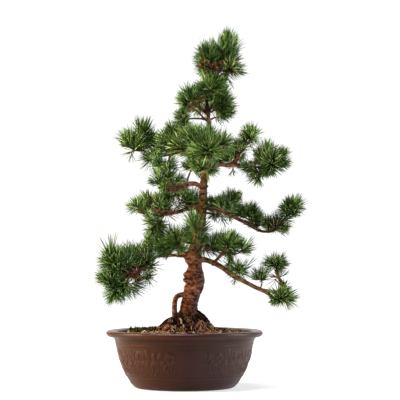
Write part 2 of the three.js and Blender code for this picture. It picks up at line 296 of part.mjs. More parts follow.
// A closed geometry as a solid.
function solid(geometry) {
  const g = geometry.clone();
  for (const name of Object.keys(g.attributes))
    if (name !== "position") g.deleteAttribute(name);
  const merged = mergeVertices(g, 1e-3);
  return new wasm.Manifold(
    new wasm.Mesh({
      numProp: 3,
      vertProperties: Float32Array.from(merged.attributes.position.array),
      triVerts: Uint32Array.from(merged.index.array),
    }),
  );
}

function geometryOf(body) {
  const m = body.getMesh();
  const g = new THREE.BufferGeometry();
  g.setAttribute(
    "position",
    new THREE.BufferAttribute(Float32Array.from(m.vertProperties), 3),
  );
  g.setIndex(new THREE.BufferAttribute(Uint32Array.from(m.triVerts), 1));
  const flat = g.toNonIndexed();
  flat.computeVertexNormals();
  return flat;
}

function largest(body) {
  const parts = body.decompose();
  parts.sort((a, b) => b.volume() - a.volume());
  return parts[0];
}

// A tapering limb through points [x, y, z, radius]: a cylinder whose rings are moved onto the points, with no twist.
function limb(points, grow = 0) {
  const n = points.length;
  const p = points.map((q) => V(q[0], q[1], q[2]));
  const tangents = p.map((q, i) =>
    p[Math.min(i + 1, n - 1)]
      .clone()
      .sub(p[Math.max(i - 1, 0)])
      .normalize(),
  );
  p[0].addScaledVector(tangents[0], -grow);
  p[n - 1].addScaledVector(tangents[n - 1], grow);
  const widest = Math.max(...points.map((q) => q[3]));
  const sides = widest > 6.5 ? 9 : widest > 3.2 ? 6 : widest > 1.7 ? 4 : 3;
  let normal = V(0, -1, 0);
  const frames = tangents.map((t) => {
    normal = normal.clone().addScaledVector(t, -normal.dot(t));
    if (normal.lengthSq() < 1e-6) normal = V(1, 0, 0).addScaledVector(t, -t.x);
    normal.normalize();
    return [normal.clone(), normal.clone().cross(t)];
  });
  const g = new THREE.CylinderGeometry(1, 1, 1, sides, n - 1);
  const a = g.attributes.position;
  for (let i = 0; i < a.count; i++) {
    const k = Math.round((a.getY(i) + 0.5) * (n - 1));
    const r = points[k][3] + grow;
    const v = p[k]
      .clone()
      .addScaledVector(frames[k][0], a.getX(i) * r)
      .addScaledVector(frames[k][1], a.getZ(i) * r);
    a.setXYZ(i, v.x, v.y, v.z);
  }
  return solid(g);
}

function plant(grow) {
  return wasm.Manifold.union(LIMBS.map((points) => limb(points, grow)));
}

// The lobe of needles round one shoot: a spheroid along the shoot.
function lobePoints([x, y, z, dx, dy, dz, long, wide]) {
  const g = new THREE.IcosahedronGeometry(1.1, 0);
  const turn = new THREE.Quaternion().setFromUnitVectors(
    V(0, 0, 1),
    V(dx, dy, dz).normalize(),
  );
  g.scale(wide, wide, long).applyQuaternion(turn).translate(x, y, z);
  const a = mergeVertices(
    new THREE.BufferGeometry().setAttribute(
      "position",
      g.attributes.position.clone(),
    ),
    1e-3,
  ).attributes.position;
  return Array.from({ length: a.count }, (_, i) => V(a.getX(i), a.getY(i), a.getZ(i)));
}

// A cluster: the skin stretched over its lobes. grow moves the skin out from the middle.
function cluster(lobes, grow = 0) {
  const points = lobes.flatMap(lobePoints);
  const middle = points
    .reduce((s, q) => s.add(q), V(0, 0, 0))
    .divideScalar(points.length);
  if (grow)
    for (const q of points) {
      const d = q.clone().sub(middle);
      q.addScaledVector(d.normalize(), grow);
    }
  return solid(new ConvexGeometry(points));
}

function lathe(profile, segments) {
  const g = new THREE.LatheGeometry(
    profile.map(([r, z]) => new THREE.Vector2(r, z)),
    segments,
  );
  return g.rotateX(Math.PI / 2);
}

// ---- the pot ----
const LIP_UNDER = POT_HEIGHT - LIP_HEIGHT;
const potProfile = [
  [0, 0],
  [BASE_RADIUS, 0],
  [85.5, 1.6],
  [91, 5.8],
  [97, 14],
  [106.8, 30.3],
  [112, 44.3],
  [116.6, 60],
  [120.4, 78],
  [123.6, LIP_UNDER - 3.2],
  [128.5, LIP_UNDER],
  [133.6, LIP_UNDER + 1.6],
  [RIM_RADIUS, LIP_UNDER + 4.8],
  [135.6, POT_HEIGHT - 1.7],
  [132.6, POT_HEIGHT],
  [125, POT_HEIGHT - 0.2],
  [120, POT_HEIGHT - 1.2],
  [MOUTH_RADIUS, POT_HEIGHT - 3.6],
  [117, 86],
  [113, 72],
  [104.4, 42],
  [89, 15],
  [74, FLOOR_THICKNESS],
  [0, FLOOR_THICKNESS],
];
let pot = solid(lathe(potProfile, POT_SEGMENTS));
for (const angle of DRAIN_HOLE_ANGLES) {
  const a = THREE.MathUtils.degToRad(angle);
  const hole = new THREE.CylinderGeometry(
    DRAIN_HOLE_RADIUS,
    DRAIN_HOLE_RADIUS,
    FLOOR_THICKNESS * 4,
    12,
  )
    .rotateX(Math.PI / 2)
    .translate(
      DRAIN_HOLE_CIRCLE * Math.cos(a),
      DRAIN_HOLE_CIRCLE * Math.sin(a),
      0,
    );
  const length = 60;
  const groove = new THREE.BoxGeometry(
    length,
    DRAIN_GROOVE_WIDTH,
    2 * DRAIN_GROOVE_DEPTH,
  )
    .translate(DRAIN_HOLE_CIRCLE + length / 2, 0, 0)
    .rotateZ(a);
  pot = pot.subtract(solid(hole)).subtract(solid(groove));
}

// ---- the screens over the drain holes ----
const screenGeometry = (radius, thickness, z) =>
  new THREE.CylinderGeometry(radius, radius, thickness, 16)
    .rotateX(Math.PI / 2)
    .translate(0, 0, z + thickness / 2);

// ---- the plant ----
const wood = plant(0);
const woodRoom = plant(GAP);

// ---- the soil ----
const soilProfile = [
  [0, FLOOR_THICKNESS + GAP],
  [73.4, FLOOR_THICKNESS + GAP],
  [88.2, 15.4],
  [103.6, 42.4],
  [112.2, 72.4],
  [116.2, SOIL_EDGE_Z - 2],
  [113, SOIL_EDGE_Z],
  [100, 95],
  [66, 97.5],
  [0, 99],
];
const moundProfile = [
  [0, 60],
  [62, 60],
  [62, 97],
  [45, 107.5],
  [27, 118],
  [16, MOUND_TOP_Z],
  [0, MOUND_TOP_Z + 1],
];
const earth = (grow) => {
  const raise = ([r, z]) => [r, z + grow];
  return solid(lathe(soilProfile.map(raise), 28)).add(
    solid(lathe(moundProfile.map(raise), 16).translate(MOUND_X, 0, 0)),
  );
};
let soil = earth(0).subtract(woodRoom);
for (const angle of DRAIN_HOLE_ANGLES) {
  const a = THREE.MathUtils.degToRad(angle);
  const room = screenGeometry(
    SCREEN_RADIUS + GAP,
    SCREEN_THICKNESS + 2 * GAP,
    FLOOR_THICKNESS,
  ).translate(
    DRAIN_HOLE_CIRCLE * Math.cos(a),
    DRAIN_HOLE_CIRCLE * Math.sin(a),
    0,
  );
  soil = soil.subtract(solid(room));
}
soil = largest(soil);

// ---- the moss ----
const mossGeometry = new THREE.IcosahedronGeometry(1, 1)
  .scale(MOSS.rx, MOSS.ry, MOSS.rz)
  .translate(MOSS.x, MOSS.y, MOSS.z);
const moss = largest(
  solid(mossGeometry).subtract(earth(GAP)).subtract(woodRoom),
);

// ---- the needles ----
const needleSolids = [];
{
  let taken = woodRoom;
  for (const [name, lobes] of Object.entries(NEEDLES)) {
    const body = largest(cluster(lobes).subtract(taken));
    taken = taken.add(cluster(lobes, GAP + 0.15));
    needleSolids.push([name, body]);
  }
}

// ---- the scene ----
const material = (color, roughness, metalness = 0) =>
  new THREE.MeshStandardMaterial({ color, roughness, metalness });
const root = new THREE.Group();
function place(name, geometry, mat, parent = root) {
  const mesh = new THREE.Mesh(geometry, mat);
  mesh.name = name;
  parent.add(mesh);
  return mesh;
}

place("pot", geometryOf(pot), material(0x5a392b, 0.48));
DRAIN_HOLE_ANGLES.forEach((angle, i) => {
  const a = THREE.MathUtils.degToRad(angle);
  place(
    "drain_screen_" + (i + 1),
    screenGeometry(SCREEN_RADIUS, SCREEN_THICKNESS, 0),
    material(0x2b2b2b, 0.6),
  ).position.set(
    DRAIN_HOLE_CIRCLE * Math.cos(a),
    DRAIN_HOLE_CIRCLE * Math.sin(a),
    FLOOR_THICKNESS + GAP,
  );
});
place("soil", geometryOf(soil), material(0x3a2a1e, 0.95));
place("moss", geometryOf(moss), material(0x4d6128, 0.95));
place(
  "trunk_roots_and_branches",
  geometryOf(wood),
  material(0x7a4a30, 0.85),
);
const foliage = new THREE.Group();
root.add(foliage);
for (const [name, body] of needleSolids)
  place(name, geometryOf(body), material(0x3d6b32, 0.6), foliage);

export default root;
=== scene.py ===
"""A Scots pine bonsai in a round brown pot: how every surface looks. Lengths in the tables are millimetres."""

import math

import bmesh
import bpy
import numpy as np
from mathutils import Matrix, Vector


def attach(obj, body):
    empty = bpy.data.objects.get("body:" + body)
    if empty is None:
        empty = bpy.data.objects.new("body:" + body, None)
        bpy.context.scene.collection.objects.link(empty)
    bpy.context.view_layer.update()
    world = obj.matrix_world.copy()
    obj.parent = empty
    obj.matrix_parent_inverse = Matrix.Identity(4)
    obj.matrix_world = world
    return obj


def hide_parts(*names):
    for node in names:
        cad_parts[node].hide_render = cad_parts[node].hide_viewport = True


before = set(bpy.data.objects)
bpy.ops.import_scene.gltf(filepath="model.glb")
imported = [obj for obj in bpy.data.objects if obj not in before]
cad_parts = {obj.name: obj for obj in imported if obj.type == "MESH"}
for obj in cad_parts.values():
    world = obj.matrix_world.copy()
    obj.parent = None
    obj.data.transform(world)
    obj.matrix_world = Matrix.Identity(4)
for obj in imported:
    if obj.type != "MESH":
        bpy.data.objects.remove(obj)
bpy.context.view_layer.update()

# each limb and root: x, y, z and radius along its middle
LIMBS = {
    "trunk": ((6.9, 2, 71.9, 7.88), (6.9, 2, 85.9, 11.38), (7.4, 2, 99.8, 15.76), (7.8, 1, 110.3, 16.19), (7.8, 0, 120.8, 14.35), (7.3, 0, 134.8, 15.22), (9.2, 0, 148.7, 14.00), (12.3, -1, 160.9, 13.82), (14.3, -2, 169.7, 15.21), (17.9, -3, 178.4, 15.73), (17.8, -4, 187.2, 16.86), (17.6, -4, 195.9, 15.73), (18.1, -5, 204.6, 12.75), (17.8, -5, 213.3, 12.05), (16.5, -5, 220.3, 13.10), (15.1, -5, 227.3, 15.20), (17.6, -4, 236, 11.79), (21.1, -3, 248.2, 9.96), (23.9, -2, 262.2, 9.44), (26.3, -1, 276.2, 9.27), (28.1, 0, 292, 9.28), (29.1, 1, 306, 9.10), (31.6, 2, 316.6, 9.63), (32.6, 3, 327.1, 8.41), (32.4, 3, 337.6, 7.01), (32.8, 3, 348.2, 6.31), (34, 3, 358.7, 6.31), (34.7, 2, 369.2, 6.30), (35.8, 1, 379.7, 6.13), (37.2, 0, 395.4, 5.60), (38.9, 0, 411.2, 5.25), (41, 0, 430.5, 5.08), (42.8, -1, 449.8, 4.37), (42.4, -2, 463.7, 3.76), (41.4, -3, 472.4, 3.50), (40.7, -3, 479.5, 3.76), (39.6, -3, 486.5, 3.67), (39.1, -3, 495.3, 3.06), (39.1, -2, 504.2, 2.71), (40.7, -1, 514.9, 2.62), (44.6, 0, 530.8, 2.45), (49.1, 0, 544.9, 2.10), (55.1, 0, 552, 2.10)),
    "limb_low_right": ((16.5, -5, 224.5, 5.24), (28.7, -12, 222.7, 5.23), (36.6, -14, 222.2, 4.70), (44.4, -17, 219.8, 4.35), (53, -20, 216.2, 4.52), (61.7, -23, 211.3, 4.42), (70.3, -26, 206, 4.42), (78.9, -29, 199.3, 4.76), (87.5, -31, 193.8, 4.93), (96, -34, 189.3, 4.32), (104.6, -36, 184.4, 3.71), (113.1, -38, 179.9, 3.54), (121.7, -40, 175.5, 3.53), (130.2, -42, 171.7, 3.53), (138.7, -44, 167.7, 3.10), (147.2, -46, 161.7, 2.49), (155.7, -48, 155.6, 1.89), (164.2, -50, 154.6, 1.55)),
    "limb_low_right_end": ((135.3, -43, 170.6, 2.24), (145.5, -45, 168.9, 2.06), (157.5, -47, 168.3, 1.98), (167.8, -47, 171.7, 2.06), (169.5, -47, 177.5, 2.15), (167.2, -46, 182.6, 2.24), (164.5, -45, 187.8, 2.32), (162, -44, 193.9, 2.32), (160, -43, 201.5, 2.24), (158.5, -41, 211.8, 1.98), (157.9, -40, 221.1, 1.64)),
    "limb_low_right_dry": ((167.8, -47, 177.5, 1.29), (164.4, -46, 180.9, 1.20), (160, -45, 185.4, 1.20), (155.9, -44, 189.1, 0.95)),
    "limb_low_right_up": ((51.3, -19, 216.9, 2.09), (55.5, -21, 222.1, 1.74), (60.3, -23, 227.3, 1.74), (65.4, -26, 232.8, 2.17), (70.6, -28, 237, 1.91), (72.7, -30, 243.5, 1.64), (74, -33, 250.4, 1.30)),
    "limb_low_right_up_b": ((65.1, -25, 232.1, 1.47), (58.2, -22, 235.9, 1.30), (50.6, -19, 238.7, 1.13), (42.6, -17, 241.2, 1.04)),
    "limb_low_right_up_c": ((67.7, -26, 233.2, 1.30), (77.2, -29, 231.4, 1.13), (87.5, -31, 231.7, 1.04), (96.1, -32, 235.1, 0.95)),
    "limb_low_right_spur": ((130.2, -42, 172.3, 1.55), (131.9, -42, 176.7, 1.29), (133.3, -43, 181.6, 1.29), (132.3, -43, 186.4, 1.29), (131.2, -43, 191.9, 1.12)),
    "limb_low_right_star": ((89.2, -32, 191.8, 1.90), (89.9, -40, 198.9, 1.47), (90.6, -46, 205.6, 1.20)),
    "limb_mid_right": ((30.5, 2, 316.6, 4.55), (39.3, 8, 315.7, 4.30), (49.9, 14, 313.8, 3.96), (62.3, 19, 310.1, 3.61), (76.5, 25, 303.5, 3.53), (90.7, 30, 296.2, 3.36), (106.7, 34, 288.2, 3.10), (119.2, 37, 281.1, 2.75), (130, 39, 275.1, 2.49), (140.6, 40, 272.3, 2.22), (152.2, 40, 272.3, 1.95), (162.7, 38, 276.9, 1.95), (170.6, 35, 285.7, 2.13), (178.4, 32, 296.6, 2.12), (184.5, 30, 305.4, 1.86)),
    "limb_mid_right_b": ((78.2, 25, 304.9, 1.77), (87.1, 28, 304, 1.68), (97.8, 31, 300.5, 1.59), (108.6, 35, 295.6, 1.51), (119.3, 39, 290.8, 1.42), (131.9, 43, 284.1, 1.33), (137.3, 46, 285.2, 1.16)),
    "limb_mid_right_c": ((81.1, 26, 304.3, 1.41), (82.2, 20, 311.9, 1.23), (82.9, 12, 319.3, 1.14)),
    "limb_mid_right_front": ((44.6, 11, 314.7, 2.28), (51.5, -4, 310.8, 1.92), (60.1, -16, 306.9, 1.74), (65.2, -24, 307.7, 1.47)),
    "limb_mid_right_low": ((32.3, 0, 303.9, 2.01), (42.8, 6, 303, 1.67), (53.4, 12, 302.1, 1.49), (64, 16, 298.7, 1.23)),
    "limb_mid_right_w": ((161.9, 38, 274.2, 1.33), (168.5, 30, 278.3, 1.24), (171.8, 24, 280.7, 1.15)),
    "limb_upper_right": ((36.6, 0, 383.8, 3.85), (46.2, -6, 384.9, 3.49), (56.7, -11, 387.4, 3.31), (66.2, -14, 387.9, 3.48), (75.8, -17, 386.8, 4.09), (83.7, -20, 389.6, 4.34), (90.6, -22, 396.8, 4.34), (94.4, -23, 406.2, 3.47)),
    "limb_upper_right_b": ((82.7, -20, 387.2, 3.13), (94.8, -23, 386, 2.60), (106.8, -26, 385.1, 2.34), (118.9, -29, 383.2, 2.16), (132.7, -31, 383.1, 1.90), (144.7, -33, 384.7, 1.56)),
    "limb_upper_right_c": ((94.1, -23, 404.4, 2.26), (102.6, -25, 413.9, 1.73), (110.3, -27, 424.2, 1.47), (113.8, -28, 430.2, 1.21)),
    "limb_upper_right_d": ((137.8, -32, 383.4, 1.47), (151.5, -36, 387.3, 1.29), (163.5, -38, 393.4, 1.12)),
    "limb_upper_right_e": ((127.5, -30, 382.4, 1.47), (132.9, -26, 372.9, 1.30), (131.3, -22, 364.4, 1.13)),
    "limb_front": ((36.8, 0, 380.5, 4.20), (36, -25, 384.3, 3.64), (35.6, -50, 391.2, 3.09), (36.2, -74, 399.9, 2.64), (37.2, -94, 406.8, 2.03)),
    "limb_front_left": ((35.8, -40, 389, 2.07), (30.4, -58, 398.1, 1.71), (24.4, -70, 407.5, 1.45), (17.6, -76, 412.4, 1.19)),
    "limb_front_right": ((35.9, -58, 394.4, 2.05), (42.4, -72, 402.8, 1.70), (49.9, -82, 409.4, 1.44), (55, -86, 413.4, 1.19)),
    "limb_front_low": ((36.2, -16, 382.7, 2.26), (38.1, -38, 379.2, 1.90), (39, -56, 377.3, 1.54)),
    "limb_left": ((33.1, 2, 347.1, 4.38), (27, -2, 351.4, 4.28), (21.1, -5, 354.5, 4.02), (14.8, -8, 355.7, 3.84), (7.8, -12, 354.7, 4.01), (0, -15, 351.9, 4.35), (-7.8, -18, 348.6, 4.69), (-15.6, -21, 346.2, 5.21), (-23.3, -24, 345.2, 4.68), (-30.2, -27, 345.8, 3.29), (-37.1, -30, 348.4, 2.16), (-43.1, -33, 351.8, 1.47)),
    "limb_left_up": ((3.6, -12, 354.5, 1.83), (5.7, -6, 364.2, 1.66), (8.8, 0, 373.6, 1.57), (12.6, 6, 381, 1.32)),
    "limb_left_front": ((-20.7, -24, 345.9, 2.25), (-24.2, -32, 352.2, 1.82), (-25.7, -38, 359.3, 1.38)),
    "limb_left_long": ((37.5, 0, 408.5, 3.50), (27, 5, 412.6, 3.07), (18.2, 9, 414.8, 2.81), (4.1, 13, 414.3, 2.55), (-11.8, 17, 410.8, 2.47), (-29.5, 21, 407.6, 2.38), (-43.8, 25, 406, 2.21), (-54.5, 28, 408.5, 1.94), (-63.4, 30, 412.4, 1.77), (-75.9, 33, 416.1, 1.68), (-86.7, 35, 416.6, 1.60), (-94.6, 37, 420.7, 1.33), (-99.2, 38, 427.6, 1.06)),
    "limb_left_long_down": ((-25.1, 20, 407.9, 1.41), (-27.7, 18, 399.4, 1.32), (-31.5, 15, 389.3, 1.14), (-33.9, 13, 382.3, 1.06)),
    "limb_left_long_down_b": ((-57.2, 29, 409.3, 1.24), (-59, 26, 402.6, 1.15), (-59.6, 24, 396.3, 0.97)),
    "limb_left_long_up": ((-26.9, 20, 407.9, 1.41), (-26.7, 4, 418, 1.31), (-26.8, -10, 425.9, 1.31), (-26.6, -18, 431.5, 1.22)),
    "limb_left_long_up_b": ((-72.3, 32, 415.2, 1.33), (-73.5, 34, 423.7, 1.24), (-73.9, 35, 431.9, 1.15), (-73.9, 35, 438.2, 1.06)),
    "limb_left_long_up_c": ((-49.1, 27, 406.9, 1.33), (-58.3, 38, 418.6, 1.24), (-63.9, 46, 426.4, 1.16), (-66.6, 50, 432.1, 0.98)),
    "limb_shoulder": ((41, -2, 466.2, 2.80), (35.8, -5, 467.7, 2.10), (30.5, -7, 468.9, 1.75), (21.8, -10, 468.8, 1.66), (11.3, -14, 468.8, 1.65), (4, -17, 466.1, 1.65), (-1.2, -20, 460.1, 1.56), (-9.5, -24, 450, 1.39), (-16.4, -27, 444.9, 1.21), (-20.9, -30, 440.4, 1.04)),
    "limb_shoulder_up": ((40, -3, 477, 2.62), (34.7, -5, 481.7, 2.53), (30.5, -7, 484.4, 2.36), (26, -10, 486.9, 2.09), (21.8, -12, 490.2, 1.83), (16.5, -15, 493.1, 1.65), (12, -18, 496.3, 1.39)),
    "limb_shoulder_low": ((40, -3, 466.1, 2.27), (34.4, -6, 470.1, 2.01), (30.5, -8, 473.7, 1.74), (27, -10, 477.4, 1.57), (23.5, -12, 480.7, 1.48), (20, -14, 483.4, 1.48), (14.8, -17, 485.9, 1.30), (9.6, -20, 488.7, 1.13)),
    "limb_shoulder_up_b": ((27.7, -9, 485.9, 1.92), (25.6, -5, 493.7, 1.57), (23.5, -2, 500.7, 1.40), (22.4, 0, 506.2, 1.22)),
    "limb_shoulder_up_c": ((16.5, -16, 485.1, 1.30), (11.3, -19, 487.8, 1.30), (6.1, -22, 490.3, 1.04)),
    "limb_top_right": ((42.1, -2, 465.9, 2.27), (48.1, 2, 469.9, 1.75), (53.4, 5, 472.6, 1.49), (58.7, 8, 474.3, 1.40), (64, 11, 476.5, 1.23), (68.3, 13, 478.8, 1.06)),
    "limb_top_right_b": ((42.1, -3, 479.5, 2.10), (48.8, 1, 483, 1.40), (53.4, 5, 485.5, 1.31), (57.6, 8, 488.6, 1.23), (62.9, 11, 491.4, 1.14)),
    "limb_top_right_c": ((40.7, -3, 479.5, 2.62), (44.5, 0, 485.7, 2.27), (47, 3, 492.4, 2.01), (48.6, 5, 498.9, 1.75), (49.7, 7, 505.8, 1.58), (53.4, 10, 511.4, 1.23)),
    "limb_crown_front": ((41, -1, 513.1, 1.75), (42.1, -8, 516.7, 1.57), (43.8, -15, 521.4, 1.31)),
    "limb_crown_left": ((43.5, 0, 527.3, 1.57), (37.5, -6, 524.2, 1.40), (32.2, -11, 523.3, 1.13)),
    "limb_crown_right": ((44.6, 0, 530.8, 1.57), (52.6, -7, 526.5, 1.40), (59.5, -13, 524.1, 1.13)),
    "limb_apex_left": ((55.1, 0, 552, 1.93), (49.8, -3, 555.8, 1.57), (43.8, -7, 562.7, 1.40), (40.3, -10, 570.1, 1.13)),
    "limb_apex_left_b": ((53.3, -1, 553.3, 1.49), (44.5, -6, 558.3, 1.31), (36.5, -10, 566.6, 1.13)),
    "limb_apex": ((54, 0, 551.3, 2.10), (62.1, 1, 555.3, 1.75), (68.5, 3, 563.6, 1.58), (72.8, 5, 573.8, 1.49), (76.3, 6, 583.4, 1.23)),
    "limb_apex_b": ((70.1, 4, 567.5, 1.31), (69.8, -2, 573.6, 1.14), (69.1, -7, 578.6, 0.96)),
    "limb_apex_right": ((60.4, 1, 553.8, 1.58), (70.1, -4, 553.2, 1.40), (77.8, -8, 555.6, 1.22), (84, -11, 560.5, 1.05)),
    "limb_apex_right_b": ((73.3, -5, 553.8, 1.14), (82.5, 0, 550.9, 1.05), (92.1, 5, 553.3, 0.88)),
    "limb_apex_back": ((60.4, 1, 553.8, 1.49), (58.8, 12, 565.8, 1.32), (57.1, 22, 577.7, 1.06)),
    "limb_left_mid": ((32.3, 2, 315.5, 4.55), (21.8, -3, 315, 4.63), (12.2, -7, 313.5, 4.28), (2.6, -11, 310.5, 3.75), (-7.8, -15, 306.8, 3.22), (-19.9, -19, 303, 2.69), (-32.9, -23, 300.5, 2.34), (-45.8, -27, 299.7, 2.17), (-57.8, -31, 302, 1.99), (-69.8, -34, 305.7, 1.73), (-80.1, -37, 308.7, 1.47), (-86.9, -39, 310.4, 1.12)),
    "limb_left_mid_up": ((7.8, -9, 312.7, 2.27), (-2.7, -6, 310, 1.92), (-13.2, -2, 308, 1.75), (-26.5, 4, 307.5, 1.66), (-41.5, 9, 307.3, 1.58), (-55.7, 13, 308.8, 1.41), (-65.6, 16, 313.8, 1.14)),
    "limb_left_mid_down": ((-36.5, -24, 297.1, 1.30), (-40.5, -29, 290.4, 1.21), (-44.9, -33, 284.4, 1.04)),
    "limb_left_mid_dark": ((20, -3, 314.5, 1.57), (14.7, 6, 314.8, 1.40), (10.1, 13, 317.8, 1.14)),
    "limb_left_mid_front": ((-44.1, -26, 296.7, 1.30), (-46.3, -34, 302.4, 1.21), (-47.2, -40, 308.1, 0.95)),
    "limb_low_left": ((16.5, -4, 230.8, 5.42), (6.9, -8, 229.7, 4.36), (-2.6, -12, 228.7, 3.48), (-11.2, -16, 229.2, 3.04), (-21.6, -20, 231.4, 2.87), (-33.7, -24, 232.8, 2.78), (-45.7, -29, 229.7, 2.77), (-54.9, -33, 222.4, 2.77), (-64.4, -37, 214.2, 2.68), (-78, -41, 204.9, 2.50), (-91.6, -45, 193.6, 2.15), (-100.7, -49, 183.4, 1.80), (-110.1, -52, 172.5, 1.29), (-115.1, -54, 168.1, 1.03)),
    "limb_low_left_up": ((-86.5, -44, 197.3, 1.89), (-95.1, -43, 203.9, 1.81), (-98.6, -42, 212.3, 1.64), (-96.9, -42, 217.3, 1.21)),
    "limb_low_left_up_b": ((-72.9, -39, 206.6, 1.55), (-78.3, -34, 213.1, 1.38), (-82.6, -30, 218.3, 1.04)),
    "limb_low_left_tip": ((-95.6, -47, 189, 1.63), (-107.5, -50, 201.3, 1.46), (-117, -52, 211.3, 1.29), (-124.5, -54, 220.7, 0.94)),
    "limb_low_left_out": ((-97.7, -47, 186.6, 1.55), (-110.8, -52, 188.1, 1.37), (-119.5, -56, 186.5, 1.20), (-125.2, -58, 185.8, 0.94)),
    "limb_low_left_star": ((-68.5, -38, 211.1, 1.29), (-63.9, -42, 204.9, 1.21), (-64.4, -47, 196.4, 1.20), (-63.9, -50, 189.2, 0.94)),
    "limb_low_left_in": ((-61, -36, 216.2, 1.29), (-58.5, -38, 212.1, 1.12), (-58.1, -39, 209.7, 0.95)),
    "limb_low_left_v": ((-97.7, -47, 186.6, 1.29), (-94.1, -42, 180.6, 1.12), (-89.5, -38, 176.1, 0.95)),
    "limb_low_left_rise": ((-9.5, -15, 229, 1.91), (-10.4, -25, 238.3, 1.73), (-10.3, -34, 248, 1.64), (-10.5, -42, 260.7, 1.38), (-11.8, -48, 271.9, 1.12)),
    "limb_low_left_rise_b": ((-35.4, -24, 232.5, 1.56), (-42.6, -14, 236.7, 1.39), (-51.6, -4, 239.8, 1.22), (-59.9, 4, 242.7, 0.96)),
    "limb_low_left_long": ((-23.3, -20, 231.8, 1.56), (-24.9, -30, 237.6, 1.38), (-29.9, -38, 240.7, 1.12)),
    "limb_front_low_b": ((17.6, -6, 234.1, 3.14), (19, -24, 238.3, 2.43), (18.7, -42, 245.8, 2.07), (16, -56, 256.7, 1.54)),
    "limb_front_low_c": ((19, -22, 239.2, 1.74), (25.3, -36, 244.8, 1.47), (26.3, -46, 254.1, 1.20)),
    "limb_low_left_small": ((5, -9, 230, 1.31), (2.7, -17, 233.2, 1.04), (-0, -24, 235.2, 0.87)),
    "snag_left": ((12.2, -5, 224.6, 6.11), (4, -7, 227.3, 4.71), (-1.6, -8, 229.4, 2.97)),
    "snag_knot": ((11.3, -8, 186.5, 4.01), (3.3, -12, 188, 2.70), (-2, -13, 188.7, 1.48)),
    "limb_back_high": ((42.1, 0, 467.4, 2.27), (39.4, 22, 480, 1.94), (32.3, 42, 496.2, 1.69), (21.6, 56, 506.5, 1.34)),
    "limb_back_high_b": ((38.3, 26, 484, 1.50), (48.4, 44, 500, 1.33), (61.1, 58, 503.1, 1.07)),
    "limb_back_mid": ((38.9, 2, 410.5, 3.50), (38.3, 30, 416.3, 3.01), (36, 58, 424.5, 2.50), (32.4, 84, 432.8, 1.98), (28.1, 104, 437.9, 1.36)),
    "limb_back_mid_b": ((36.3, 55, 423.4, 1.79), (46.8, 78, 426, 1.53), (57, 98, 425.4, 1.18)),
    "limb_back_mid_c": ((37.7, 36, 417.4, 1.68), (25.2, 54, 414.8, 1.43), (10.8, 70, 415.5, 1.08)),
    "limb_back_right": ((37.2, 2, 389.7, 2.98), (55.3, 28, 390.8, 2.56), (84.1, 50, 392.9, 2.23), (113.2, 66, 394.3, 1.88), (138.9, 80, 399, 1.44), (150.1, 88, 400.7, 1.08)),
    "limb_back_right_b": ((116.8, 68, 394.8, 1.44), (132.9, 66, 403.2, 1.25), (145.4, 62, 411.9, 0.98)),
    "limb_back_left": ((33.3, 3, 354.3, 2.63), (19.9, 24, 355.3, 2.30), (4.9, 42, 355.1, 1.95), (-12.3, 56, 352.8, 1.61), (-25.1, 68, 359.1, 1.17)),
    "limb_back_low_right": ((31.9, 4, 318.2, 2.80), (41.2, 30, 312.7, 2.39), (53.8, 54, 309.1, 1.96), (65.9, 76, 310.9, 1.53), (72.9, 90, 314.9, 1.09)),
    "limb_back_low_right_b": ((50.2, 48, 309.7, 1.51), (66.3, 58, 305.7, 1.34), (86.2, 68, 309.6, 1.08)),
    "limb_back_low_left": ((28.4, 2, 296.4, 2.80), (21, 28, 285.4, 2.39), (15.2, 52, 275.2, 1.96), (11.9, 72, 265.8, 1.53), (9.7, 86, 260, 1.08)),
    "limb_back_low_left_b": ((18.1, 40, 280.7, 1.51), (25.2, 58, 276.4, 1.34), (27, 72, 269.4, 1.08)),
    "limb_back_base_left": ((15.8, 0, 237.6, 3.50), (0.5, 26, 233.2, 2.92), (-19.3, 48, 230.1, 2.49), (-41.1, 66, 228.4, 2.06), (-61.9, 80, 226.3, 1.62), (-77.8, 90, 224.5, 1.18)),
    "limb_back_base_left_b": ((-26.5, 54, 229.4, 1.61), (-35.9, 74, 236.8, 1.35), (-41.7, 90, 241.4, 1.09)),
    "limb_back_base_left_c": ((-66.7, 83, 225.6, 1.44), (-84.4, 74, 223.1, 1.26), (-98.5, 68, 221.4, 0.99)),
    "limb_back_base_right": ((21.8, 0, 248.5, 2.62), (37.6, 24, 241.8, 2.30), (55.5, 46, 239.4, 1.87), (71.7, 62, 242, 1.52), (82.7, 74, 244.8, 1.08)),
    "limb_back_base_right_b": ((51.9, 42, 239.8, 1.42), (58.4, 56, 243.7, 1.25), (61.1, 68, 247.2, 0.99)),
    "limb_back_midleft": ((31.9, 3, 314.7, 2.45), (9.3, 30, 311.3, 2.12), (-15.8, 50, 309, 1.87), (-41.1, 66, 310.6, 1.52), (-57.6, 76, 313.4, 1.08)),
    "limb_back_midleft_b": ((-19.4, 52, 309.1, 1.34), (-29.9, 44, 309.2, 1.16), (-35.1, 38, 312.2, 0.98)),
    "root_loop": ((4.3, -6, 161.4, 4.37), (-3.7, -8, 161.6, 4.10), (-10.3, -9, 160.1, 4.01), (-15, -9, 156.1, 3.92), (-16.7, -9, 150, 3.84), (-17.2, -9, 142.9, 3.92), (-17.4, -9, 135.1, 4.10), (-16.8, -10, 126.4, 4.36), (-16.5, -12, 117.8, 4.27), (-17.8, -14, 107.5, 4.00), (-19.8, -16, 95.5, 2.96)),
    "root_left_c": ((-0.2, -5, 138.4, 5.24), (-6.1, -8, 129.1, 4.89), (-10.9, -11, 121.3, 4.36), (-15.4, -15, 111, 3.65), (-20.8, -19, 99.1, 2.61)),
    "root_left_a": ((2.6, -6, 129.8, 4.89), (-6.7, -11, 122, 4.53), (-15.3, -17, 113.5, 3.83), (-23.2, -23, 105.2, 2.95), (-30, -28, 96.1, 2.08)),
